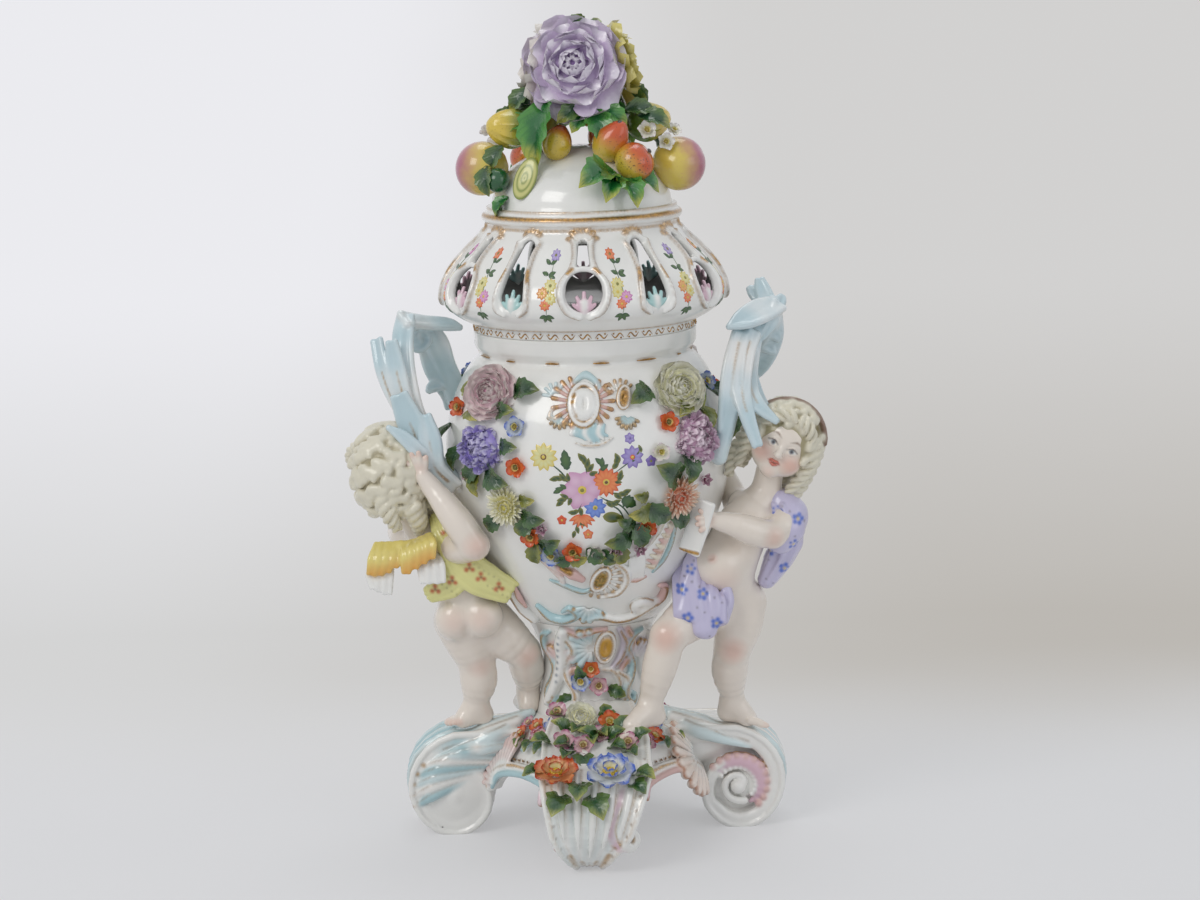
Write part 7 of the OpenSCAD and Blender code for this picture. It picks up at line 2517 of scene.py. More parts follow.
def build_putti(porcelain: bpy.types.Material) -> None:
    """Builds both children."""
    skin = Glaze("flesh_glaze", rough=0.2, coat=0.5, mottle=0.04, ripple=0.03).material()
    hair = Glaze("hair_glaze", rough=0.26, coat=0.35, mottle=0.1, ripple=0.12).material()
    cloth = Glaze("cloth_glaze", rough=0.2, coat=0.5, mottle=0.05, ripple=0.08).material()
    girl = Girl("girl", (6, -84, 66), (136, 30, 244))
    girl.body()
    girl.skin_piece(skin, ["girl_torso", "girl_arm_front", "girl_arm_back", "girl_leg_front",
        "girl_leg_back"])
    girl.head(skin, hair)
    girl.cloth(cloth)
    girl.tablet(porcelain)
    boy = Boy("boy", (-136, -76, 66), (-30, 34, 262))
    boy.body()
    boy.skin_piece(skin, ["boy_torso", "boy_arm_front", "boy_arm_back", "boy_leg_front", "boy_leg_back"])
    boy.head(skin, hair)
    boy.cloth(cloth)
    boy.wings(cloth)


@dataclass
class Sheet:
    """Points, quads and point values of a mesh before it becomes a piece."""

    points: np.ndarray
    faces: np.ndarray
    values: dict[str, np.ndarray] = field(default_factory=dict)

    def moved(self, at: Point, axes: np.ndarray, scale: float = 1.0) -> "Sheet":
        """Places a copy: the rows of axes are where its own axes point."""
        return Sheet(np.asarray(at) + scale * self.points @ np.asarray(axes), self.faces, self.values)


def joined(sheets: Sequence[Sheet]) -> Sheet:
    """Joins sheets into one."""
    start, faces = 0, []
    for s in sheets:
        faces.append(s.faces + start)
        start += len(s.points)
    keys = sheets[0].values.keys()
    return Sheet(np.concatenate([s.points for s in sheets]), np.concatenate(faces),
        {k: np.concatenate([s.values[k] for s in sheets]) for k in keys})


def blade(length: float, width: float, thick: float, rows: int, cols: int,
        outline: Callable[[np.ndarray], np.ndarray], shape: Callable[[np.ndarray, np.ndarray],
        np.ndarray]) -> Sheet:
    """Makes a closed thin petal or leaf that grows along X.

    Args:
        length: Length.
        width: Full width.
        thick: Thickness in the middle.
        rows: Steps along the length.
        cols: Steps across.
        outline: Share of the width at each share of the length.
        shape: Height of the blade for the shares along (0 to 1) and across (-1 to 1).

    Returns:
        The mesh with its values along and across.
    """
    a, b = np.meshgrid(np.linspace(0, 1, rows + 1), np.linspace(-1, 1, cols + 1), indexing="ij")
    half = np.maximum(outline(a), 0.02) * width / 2
    top = np.stack([a * length, b * half, shape(a, b) * length], -1)
    edge = (a < 1e-6) | (a > 1 - 1e-6) | (np.abs(b) > 1 - 1e-6)
    count = a.size
    upper = np.arange(count).reshape(a.shape)
    lower = upper.copy()
    lower[~edge] = count + np.arange((~edge).sum())
    under = top[~edge] - (0, 0, thick)
    points = np.concatenate([top.reshape(-1, 3), under])
    faces = []
    for grid, flip in ((upper, False), (lower, True)):
        q = np.stack([grid[:-1, :-1], grid[1:, :-1], grid[1:, 1:], grid[:-1, 1:]], -1).reshape(-1, 4)
        faces.append(q[:, ::-1] if flip else q)
    along, across = (np.concatenate([v.ravel(), v[~edge]]) for v in (a, b))
    return Sheet(points, np.concatenate(faces), {"along": along, "across": across})


class PetalShape(Enum):
    """The kinds of petal, as length to width, roundness, cup, curl and frill."""

    ROSE = (1.45, 0.62, 0.30, -0.10, 0.0)
    FRILL = (0.80, 0.95, 0.10, 0.05, 0.16)
    THIN = (0.24, 0.50, 0.10, -0.12, 0.0)
    ROUND = (1.00, 0.60, 0.22, -0.10, 0.03)
    POINT = (0.62, 0.42, 0.26, -0.20, 0.0)
    BROAD = (1.55, 0.80, 0.40, -0.26, 0.025)

    def sheet(self, rows: int = 5, cols: int = 4) -> Sheet:
        """Makes one petal, a millimetre long."""
        wide, round_, cup, curl, frill = self.value

        def outline(a: np.ndarray) -> np.ndarray:
            """Share of the width along the petal."""
            swell = 0.22 + 0.78 * np.sin(np.pi * np.clip(a, 0, 1) ** (1.2 - round_) * 0.5)
            return swell * np.sqrt(np.maximum(1 - a**7, 0.12))

        def shape(a: np.ndarray, b: np.ndarray) -> np.ndarray:
            """Height of the petal along and across."""
            return cup * (b * b * a + 0.35 * a * a) + curl * a**4 + frill * a * np.sin(7 * b + 2 * a)

        return blade(1.0, wide, 0.07, rows, cols, outline, shape)


class WhorlTree:
    """The node tree that sets petals or beads round an axis, ring by ring."""

    COUNTS = ("Count", "Per Ring", "Seed")
    SIZES = ("Inner Tilt", "Outer Tilt", "Inner Size", "Outer Size", "Inner Spread", "Outer Spread",
        "Inner Rise", "Outer Rise", "Jitter")

    def __init__(self) -> None:
        """Builds the tree."""
        self.tree = bpy.data.node_groups.new("whorl", "GeometryNodeTree")
        face = self.tree.interface
        kinds = {"Petal": "NodeSocketObject", "Finish": "NodeSocketMaterial"}
        kinds.update(dict.fromkeys(self.COUNTS, "NodeSocketInt"))
        kinds.update(dict.fromkeys(self.SIZES, "NodeSocketFloat"))
        self.ids = {}
        for name, kind in kinds.items():
            self.ids[name] = face.new_socket(name=name, in_out="INPUT", socket_type=kind).identifier
        face.new_socket(name="Geometry", in_out="OUTPUT", socket_type="NodeSocketGeometry")
        self.given = self.tree.nodes.new("NodeGroupInput").outputs
        self._wire()

    def _node(self, kind: str, inputs: dict, settings: Optional[dict] = None,
            output: Union[int, str] = 0) -> bpy.types.NodeSocket:
        """Adds a node and links or sets its inputs."""
        made = self.tree.nodes.new(kind)
        for key, value in (settings or {}).items():
            setattr(made, key, value)
        for key, value in inputs.items():
            if isinstance(value, bpy.types.NodeSocket):
                self.tree.links.new(value, made.inputs[key])
            else:
                made.inputs[key].default_value = value
        return made.outputs[output]

    def _math(self, operation: str, *values: Union[float, bpy.types.NodeSocket]) -> bpy.types.NodeSocket:
        """Adds a Math node."""
        return self._node("ShaderNodeMath", dict(enumerate(values)), {"operation": operation})

    def _between(self, share: bpy.types.NodeSocket, name: str) -> bpy.types.NodeSocket:
        """Goes from the inner to the outer value of a named size."""
        return self._node("ShaderNodeMapRange", {"Value": share, "To Min": self.given["Inner " + name],
            "To Max": self.given["Outer " + name]})

    def _random(self, spread: bpy.types.NodeSocket, salt: int) -> bpy.types.NodeSocket:
        """Draws a number between minus and plus the spread."""
        low = self._math("MULTIPLY", spread, -1.0)
        seed = self._math("ADD", self.given["Seed"], float(salt))
        return self._node("FunctionNodeRandomValue", {2: low, 3: spread, 8: seed},
            {"data_type": "FLOAT"}, 1)

    def _wire(self) -> None:
        """Wires the tree from the points to the finished mesh."""
        given = self.given
        index = self._node("GeometryNodeInputIndex", {})
        turn = self._math("DIVIDE", index, given["Per Ring"])
        ring = self._math("FLOOR", turn)
        rings = self._math("SUBTRACT", self._math("DIVIDE", given["Count"], given["Per Ring"]), 1.0)
        share = self._math("DIVIDE", ring, self._math("MAXIMUM", rings, 1.0))
        loose = self._random(given["Jitter"], 1)
        shift = self._math("MULTIPLY", ring, 0.47)
        angle = self._math("ADD", self._math("MULTIPLY", turn, 2 * math.pi), shift)
        angle = self._math("ADD", angle, loose)
        tilt = self._math("ADD", self._between(share, "Tilt"), self._random(given["Jitter"], 2))
        vary = self._math("ADD", 1.0, self._math("MULTIPLY", self._random(given["Jitter"], 3), 0.6))
        size = self._math("MULTIPLY", self._between(share, "Size"), vary)
        spread = self._between(share, "Spread")
        across = self._math("MULTIPLY", spread, self._math("COSINE", angle))
        away = self._math("MULTIPLY", spread, self._math("SINE", angle))
        place = self._node("ShaderNodeCombineXYZ",
            {"X": across, "Y": away, "Z": self._between(share, "Rise")})
        lean = self._node("ShaderNodeCombineXYZ", {"Y": self._math("MULTIPLY", tilt, -1.0), "Z": angle})
        dots = self._node("GeometryNodePoints", {"Count": given["Count"], "Position": place})
        marked = self._node("GeometryNodeStoreNamedAttribute", {"Geometry": dots, "Name": "ring",
            "Value": share}, {"data_type": "FLOAT", "domain": "POINT"})
        petal = self._node("GeometryNodeObjectInfo", {"Object": given["Petal"]}, output="Geometry")
        upright = self._node("FunctionNodeEulerToRotation", {0: lean})
        many = self._node("GeometryNodeInstanceOnPoints", {"Points": marked, "Instance": petal,
            "Scale": size, "Rotation": upright})
        real = self._node("GeometryNodeRealizeInstances", {"Geometry": many})
        done = self._node("GeometryNodeSetMaterial", {"Geometry": real, "Material": given["Finish"]})
        self.tree.links.new(done, self.tree.nodes.new("NodeGroupOutput").inputs[0])

    def grow(self, petal: Sheet, finish: bpy.types.Material, sizes: dict[str, float]) -> Sheet:
        """Grows one whorl and reads it back as a plain mesh.

        Args:
            petal: What is set round the axis.
            finish: Its material.
            sizes: Values by input name.

        Returns:
            The whorl, in the petal's own units.
        """
        seed = make_piece("petal", petal.points / MM, petal.faces, finish, extra=petal.values)
        host = bpy.data.objects.new("whorl", bpy.data.meshes.new("whorl"))
        bpy.context.scene.collection.objects.link(host)
        mod = host.modifiers.new("whorl", "NODES")
        mod.node_group = self.tree
        mod[self.ids["Petal"]], mod[self.ids["Finish"]] = seed, finish
        for name in self.COUNTS:
            mod[self.ids[name]] = int(sizes[name])
        for name in self.SIZES:
            mod[self.ids[name]] = float(sizes[name])
        graph = bpy.context.evaluated_depsgraph_get()
        mesh = bpy.data.meshes.new_from_object(host.evaluated_get(graph))
        points = np.empty(len(mesh.vertices) * 3, np.float32)
        mesh.vertices.foreach_get("co", points)
        faces = np.empty(len(mesh.loops), np.int32)
        mesh.loops.foreach_get("vertex_index", faces)
        values = {}
        for key in ("along", "across", "ring"):
            values[key] = np.empty(len(mesh.vertices), np.float32)
            mesh.attributes[key].data.foreach_get("value", values[key])
        for obj in (host, seed):
            data = obj.data
            bpy.data.objects.remove(obj)
            bpy.data.meshes.remove(data)
        bpy.data.meshes.remove(mesh)
        return Sheet(points.reshape(-1, 3).astype(float), faces.reshape(-1, 4), values)


def whorl(count: int, ring: int, tilt: Pair, size: Pair, spread: Pair, rise: Pair,
        jitter: float) -> dict[str, float]:
    """Names the sizes of a whorl for a radius of 1.

    Args:
        count: Number of petals.
        ring: Petals in a ring.
        tilt: Tilt of the inner and of the outer petals, in radians.
        size: Their length.
        spread: Their distance from the axis.
        rise: Their height.
        jitter: Reach of the random part.

    Returns:
        Values by the input names of the tree.
    """
    sizes = {"Count": count, "Per Ring": ring, "Jitter": jitter}
    for name, (inner, outer) in (("Tilt", tilt), ("Size", size), ("Spread", spread), ("Rise", rise)):
        sizes["Inner " + name], sizes["Outer " + name] = inner, outer
    return sizes


class Bloom(Enum):
    """The kinds of flower, as a petal and the sizes of its whorl for a radius of 1."""

    RANUNCULUS = (PetalShape.ROSE, whorl(56, 8, (1.45, 0.30), (0.34, 0.78), (0.04, 0.26),
        (0.34, 0.06), 0.10))
    CARNATION = (PetalShape.FRILL, whorl(90, 15, (1.40, 0.10), (0.55, 0.62), (0.06, 0.38),
        (0.30, 0.14), 0.30))
    ASTER = (PetalShape.THIN, whorl(110, 22, (1.30, 0.12), (0.42, 0.78), (0.05, 0.22), (0.22, 0.10), 0.10))
    FLORET = (PetalShape.ROUND, whorl(10, 5, (0.95, 0.42), (0.50, 0.86), (0.10, 0.12), (0.16, 0.10), 0.06))
    DOUBLE = (PetalShape.ROUND, whorl(21, 7, (1.05, 0.24), (0.40, 0.80), (0.10, 0.22), (0.24, 0.10), 0.08))
    PEONY = (PetalShape.BROAD, whorl(36, 6, (1.52, 0.16), (0.30, 0.80), (0.05, 0.24), (0.36, 0.04), 0.10))
    BUD = (PetalShape.POINT, whorl(10, 5, (1.45, 1.05), (1.2, 1.3), (0.12, 0.30), (0.1, 0.05), 0.08))

    @property
    def petal(self) -> PetalShape:
        """The bloom's petal."""
        return self.value[0]

    @property
    def sizes(self) -> dict[str, float]:
        """The bloom's whorl."""
        return self.value[1]


def bead(count: int = 6) -> Sheet:
    """Makes a small bead of few faces, half a millimetre in radius."""
    zs = np.linspace(-0.5, 0.5, 5)[1:-1]
    profile = [(0, -0.5)] + [(math.sqrt(0.25 - z * z), z) for z in zs] + [(0, 0.5)]
    points, faces = lathe(profile, count)
    n = len(points)
    return Sheet(points, faces, {"along": np.full(n, 0.5), "across": np.zeros(n)})


FILLINGS = {"RANUNCULUS": (0.78, 0.60), "CARNATION": (0.80, 0.72), "PEONY": (0.72, 0.57),
    "ASTER": (0.46, 0.48)}


def filling(wide: float, tall: float) -> Sheet:
    """Makes the dome that fills a dense bloom under its petals."""
    turns = np.linspace(0.0, 0.5 * np.pi, 8)[1:-1]
    profile = [(0.0, 0.0), (wide, 0.02), *((wide * math.cos(a), 0.02 + tall * math.sin(a)) for a in turns),
        (0.0, 0.02 + tall)]
    points, faces = lathe(profile, 16)
    n = len(points)
    return Sheet(points, faces, {"along": np.full(n, 0.6), "across": np.zeros(n),
        "ring": 0.75 * np.hypot(points[:, 0], points[:, 1]) / wide})


STAMENS = whorl(26, 13, (0.0, 0.0), (0.16, 0.18), (0.06, 0.19), (0.34, 0.28), 0.25)


def facing(normal: Point, spin: float = 0.0) -> np.ndarray:
    """Makes axes whose third row is the normal, turned about it by degrees."""
    n = unit(normal)
    x = unit(np.cross((0, 0, 1), n) if abs(n[2]) < 0.95 else np.cross((0, 1, 0), n))
    y = np.cross(n, x)
    c, s = math.cos(math.radians(spin)), math.sin(math.radians(spin))
    return np.stack([c * x + s * y, -s * x + c * y, n])


def seat_on(skin: Skin, turn: float, z: float, out: float) -> tuple[np.ndarray, np.ndarray]:
    """Finds a place on a skin and the direction that points away from it."""
    a, b = skin.place(np.array([turn, turn]), np.array([z, z]), np.array([out, out + 1.0]))
    return a, unit(b - a)


def half_turn(sheet: Sheet) -> Sheet:
    """Copies a sheet to the other side of the vase."""
    return Sheet(sheet.points * (-1, -1, 1), sheet.faces, sheet.values)


def seat_sheets(name: str, sheets: Sequence[Sheet], both: bool, finish: bpy.types.Material, body: str,
        nodes: Iterable[str]) -> None:
    """Joins sheets into one piece and seats it.

    Args:
        name: Name of the piece.
        sheets: What it is made of.
        both: True to repeat it on the back.
        finish: Its material.
        body: Body that it rides on.
        nodes: The solids that it stands for.
    """
    whole = joined(sheets)
    if both:
        whole = joined([whole, half_turn(whole)])
    seat(make_piece(name, whole.points, whole.faces, finish, extra=whole.values), body, nodes)


@dataclass(frozen=True)
class Posy:
    """Flowers of one kind and colour, and where they sit.

    Attributes:
        name: Name of the piece.
        node: The solid that it stands for.
        slot: Material slot of the record.
        bloom: Kind of flower.
        heart: Colour of the heart.
        flesh: Colour of the petals.
        rim: Colour of the petals' edges.
        seats: Place, direction and radius of each flower.
        eye: Colour of the stamens, or None.
        both: True to repeat the flowers on the back.
        body: Body that it rides on.
        fine: Extra steps along and across each petal.
        streak: Strength of the streaks on the petals.
    """

    name: str
    node: str
    slot: str
    bloom: Bloom
    heart: Colour
    flesh: Colour
    rim: Colour
    seats: Sequence[Seat]
    eye: Optional[Colour] = None
    both: bool = True
    body: str = "vase"
    fine: int = 0
    streak: float = 0.22

    def build(self, tree: WhorlTree) -> None:
        """Grows the flowers and seats them."""
        finish = PetalGlaze(self.name + "_glaze", self.heart, self.flesh, self.rim, self.streak).material()
        copies, hearts = [], []
        head = tree.grow(self.bloom.petal.sheet(5 + self.fine, 4 + self.fine), finish,
            {**self.bloom.sizes, "Seed": len(self.name)})
        tuft = tree.grow(bead(), finish, {**STAMENS, "Seed": 3}) if self.eye else None
        if self.bloom.name in FILLINGS:
            dome = filling(*FILLINGS[self.bloom.name])
            head = joined([head,
                Sheet(dome.points, dome.faces, {key: dome.values[key] for key in head.values})])
        for k, (at, normal, radius) in enumerate(self.seats):
            axes = facing(normal, 47.0 * k)
            copies.append(head.moved(at, axes, radius))
            if tuft:
                hearts.append(tuft.moved(at, axes, radius))
        for parts, label, nodes in ((copies, self.name, [self.node] if self.node else []),
                (hearts, self.name + "_stamens", [])):
            if not parts:
                continue
            coat = finish if label == self.name else PetalGlaze(label + "_glaze", self.eye, self.eye,
                self.eye).material()
            seat_sheets(label, parts, self.both, coat, self.body, nodes)


def on_body(places: Sequence[Pair], radius: float, out: float = -1.2) -> list[Seat]:
    """Seats flowers on the body, turned a little to the front.

    Args:
        places: Angle from the front and height above the foot of the body, one pair a flower.
        radius: Radius of the flowers.
        out: Distance off the wall.

    Returns:
        The seats.
    """
    seats = [seat_on(BODY, t, BODY_FOOT + h, out) for t, h in places]
    return [(at, unit(way + np.array((0.0, -0.6, 0.05))), radius) for at, way in seats]


def leaf_blade(length: float, width: float, teeth: int, fold: float = 0.16, curl: float = 0.22) -> Sheet:
    """Makes a toothed leaf with a folded midrib."""
    def outline(a: np.ndarray) -> np.ndarray:
        """Share of the width along the leaf."""
        notch = 1 + 0.14 * np.sin(2 * np.pi * teeth * a)
        return np.sin(np.pi * np.clip(a, 0, 1) ** 0.75) ** 0.8 * notch + 0.03

    def shape(a: np.ndarray, b: np.ndarray) -> np.ndarray:
        """Height of the leaf along and across."""
        ripple = 0.035 * np.cos(9 * a - 5 * np.abs(b)) * (1 - a)
        return fold * np.abs(b) * np.sin(np.pi * a) + curl * np.sin(np.pi * a * 0.9) - ripple

    return blade(length, width, 1.1, 12, 6, outline, shape)


@dataclass(frozen=True)
class LeafGlaze:
    """A leaf's enamel: dark in the middle, yellow at the rim, with veins.

    Attributes:
        name: Name of the material.
        deep: Colour along the midrib.
        pale: Colour towards the rim.
        touch: Colour of the touches at the tip.
    """

    name: str
    deep: Colour
    pale: Colour
    touch: Colour

    def material(self) -> bpy.types.Material:
        """Builds the material."""
        s = Shader(self.name)
        along, across = s.value("along"), s.value("across")
        wide = (across * across).power(0.5)
        cloud, fine = s.noise(60, 3), s.noise(500, 3)
        vein = ((along * 44.0 - wide * 16.0).sine() * 0.5 + 0.5).power(3.0)
        body = s.mix((wide * 0.7 + cloud * 0.9).ramp(0.45, 1.15), self.deep, self.pale)
        body = s.mix((along + cloud * 0.8).ramp(1.05, 1.5), body, self.touch)
        rib = 1.0 - wide.ramp(0.04, 0.12)
        return s.surface({
            "Base Color": s.mix(vein * 0.3 + rib * 0.35, body, self.deep),
            "Roughness": 0.2 + fine * 0.12,
            "Coat Weight": 0.5,
            "Coat Roughness": 0.08,
            "Normal": s.bump(vein + fine * 0.4, 0.25, 0.0005),
        })


@dataclass
class Foliage:
    """Leaves that are laid on a skin or in space and end up as one piece.

    Attributes:
        name: Name of the piece.
        nodes: The solids that it stands for.
        body: Body that it rides on.
        glaze: Enamel of the leaves.
        both: True to repeat the leaves on the back.
        sheets: The leaves laid so far.
    """

    name: str
    nodes: Sequence[str]
    body: str
    glaze: LeafGlaze
    both: bool = True
    sheets: list[Sheet] = field(default_factory=list)

    def lay(self, at: Point, normal: Point, heading: Point, length: float, width: float, teeth: int = 4,
            lift: float = 0.0, curl: float = 0.2) -> None:
        """Lays a leaf that starts at a point and runs along a heading."""
        n = unit(normal)
        run = np.asarray(heading, float)
        run = unit(run - n * (run @ n) + n * lift)
        side = unit(np.cross(n, run))
        self.sheets.append(leaf_blade(length, width, teeth, curl=curl).moved(at,
            np.stack([run, side, np.cross(run, side)])))

    def on_skin(self, skin: Skin, turn: float, z: float, length: float, heading: float, out: float = 0.6,
            width: float = 0.0, lift: float = 0.0) -> None:
        """Lays a leaf on a skin; a heading of 0 points down and 90 to the right."""
        at, n = seat_on(skin, turn, z, out)
        right = unit(skin.place(np.array([turn + 0.5]), np.array([z]), np.array([out]))[0] - at)
        up = np.cross(n, right)
        a = math.radians(heading)
        self.lay(at, n, right * math.sin(a) - up * math.cos(a), length, width or length * 0.58, lift=lift)

    def build(self, slot: str = "leaf") -> None:
        """Joins the leaves into one piece."""
        seat_sheets(self.name, self.sheets, self.both, self.glaze.material(), self.body, self.nodes)


DEEP, MOSS, LIGHT = linear(38, 72, 44), linear(70, 104, 52), linear(150, 150, 62)


def garland(tree: WhorlTree) -> None:
    """Builds the garland of the body."""
    white = linear(240, 238, 226)
    posies = [
        Posy("ranunculus_pink", "roses_pink", "petal_pink", Bloom.RANUNCULUS, linear(198, 142, 166),
            linear(238, 216, 220), linear(242, 230, 226), on_body([(-46, 152)], 18)),
        Posy("ranunculus_cream", "roses_white", "petal_white", Bloom.RANUNCULUS, linear(218, 216, 146),
            linear(242, 240, 216), linear(244, 242, 230), on_body([(44, 152)], 18)),
        Posy("carnation_violet", "carnations_purple", "petal_purple", Bloom.CARNATION,
            linear(140, 122, 206), linear(186, 172, 230), linear(222, 216, 244), on_body([(-46, 119)], 16)),
        Posy("carnation_mauve", "carnations_mauve", "petal_mauve", Bloom.CARNATION, linear(192, 138, 170),
            linear(226, 194, 216), linear(242, 226, 236), on_body([(47, 122)], 16)),
        Posy("aster_yellow", "asters_yellow", "petal_yellow", Bloom.ASTER, linear(214, 204, 96),
            linear(240, 236, 192), linear(246, 244, 232), on_body([(-35, 85)], 14.5)),
        Posy("aster_orange", "asters_orange", "petal_orange", Bloom.ASTER, linear(210, 92, 50),
            linear(236, 180, 146), linear(244, 232, 216), on_body([(38, 87)], 14.5)),
        Posy("floret_red", "florets_red", "petal_red", Bloom.FLORET, linear(236, 206, 130),
            linear(226, 110, 58), linear(212, 68, 30),
            on_body([(-68, 140), (-29, 110), (-26, 66), (-8, 57), (34, 134), (24, 70)], 7.4, 0.2),
            linear(120, 110, 40)),
        Posy("floret_blue", "florets_blue", "petal_blue", Bloom.FLORET, linear(238, 230, 160),
            linear(196, 206, 226), linear(66, 104, 206), on_body([(-30, 134), (66, 152), (-18, 54)], 7.4,
            0.2), linear(150, 130, 40)),
        Posy("floret_white", "florets_white", "petal_white", Bloom.FLORET, linear(226, 220, 140), white,
            linear(236, 220, 228), on_body([(29, 117), (2, 55)], 6.6, 0.2), linear(180, 160, 60)),
        Posy("bud_pink", "buds_pink", "petal_pink", Bloom.BUD, linear(150, 84, 110), linear(206, 158, 180),
            linear(232, 208, 216), on_body([(-55, 102), (52, 95), (11, 57), (22, 56), (-20, 72)], 4.2,
            0.0)),
    ]
    for posy in posies:
        posy.build(tree)
    dark = Foliage("garland_leaves_dark", ["garland_leaves"], "vase",
        LeafGlaze("leaf_dark_glaze", DEEP, MOSS, LIGHT))
    pale = Foliage("garland_leaves_olive", [], "vase", LeafGlaze("leaf_olive_glaze", linear(92, 104, 46),
        linear(140, 142, 64), linear(196, 186, 92)))
    rows = [(-76, 129, 25, 8, 0), (-44, 107, 23, 70, 0), (-49, 104, 16, 0, 1), (-34, 154, 20, 95, 0),
        (-58, 147, 15, -140, 1), (-29, 81, 18, 80, 0), (-58, 143, 17, 60, 1), (-23, 60, 17, 110, 0),
        (-25, 62, 15, 0, 1), (-11, 53, 14, 90, 1), (-2, 58, 15, 60, 0), (18, 69, 20, -70, 0),
        (19, 73, 17, 20, 0), (13, 61, 15, 0, 1), (38, 98, 25, -120, 0), (41, 114, 20, 0, 0),
        (29, 155, 20, -60, 0), (46, 155, 22, 30, 0), (66, 151, 26, 20, 0), (55, 140, 17, 0, 1),
        (26, 83, 18, -80, 1), (23, 84, 19, 60, 0), (-29, 90, 12, 90, 1), (24, 90, 11, -100, 1),
        (-37, 122, 15, 90, 0), (-60, 118, 18, -20, 0), (-41, 141, 16, 100, 0), (-24, 76, 15, -60, 0),
        (19, 73, 14, -110, 0), (46, 148, 18, -40, 1), (-8, 53, 13, -80, 0), (5, 57, 13, 40, 0),
        (-39, 77, 16, -60, 0), (35, 77, 16, 60, 0), (-48, 107, 16, -50, 0)]
    for turn, height, length, heading, tone in rows:
        (pale if tone else dark).on_skin(BODY, turn, 140 + height, length, heading, 0.2,
            length * 0.68, lift=0.06)
    for foliage in (dark, pale):
        foliage.build()


def on_foot(angle: float, roll: float, side: float, out: float, radius: float) -> Seat:
    """Seats a flower on the rolled shoulder of a foot."""
    k = roll_radius(roll) + out
    a = math.radians(roll)
    at = np.array([[FOOT_REACH + k * math.cos(a), side, FOOT_EYE + k * math.sin(a)]])
    n = np.array([[math.cos(a), 0.0, math.sin(a)]])
    return spun(at, angle)[0], spun(n, angle)[0], radius


def mound(reach: float) -> float:
    """Height of the mound that the front and back feet climb to the pedestal."""
    return 66.6 + FOOT_CLIMB * (FOOT_REACH - reach) / FOOT_RUN


def on_arm(angle: float, reach: float, side: float, radius: float, tilt: float = 45.0,
        out: float = 1.0) -> Seat:
    """Seats a flower on the mound of a foot, tilted towards the toe."""
    a = math.radians(90 - tilt)
    return (spun(np.array([[reach, side, mound(reach) + out]]), angle)[0],
        spun(np.array([[math.cos(a), 0, math.sin(a)]]), angle)[0], radius)


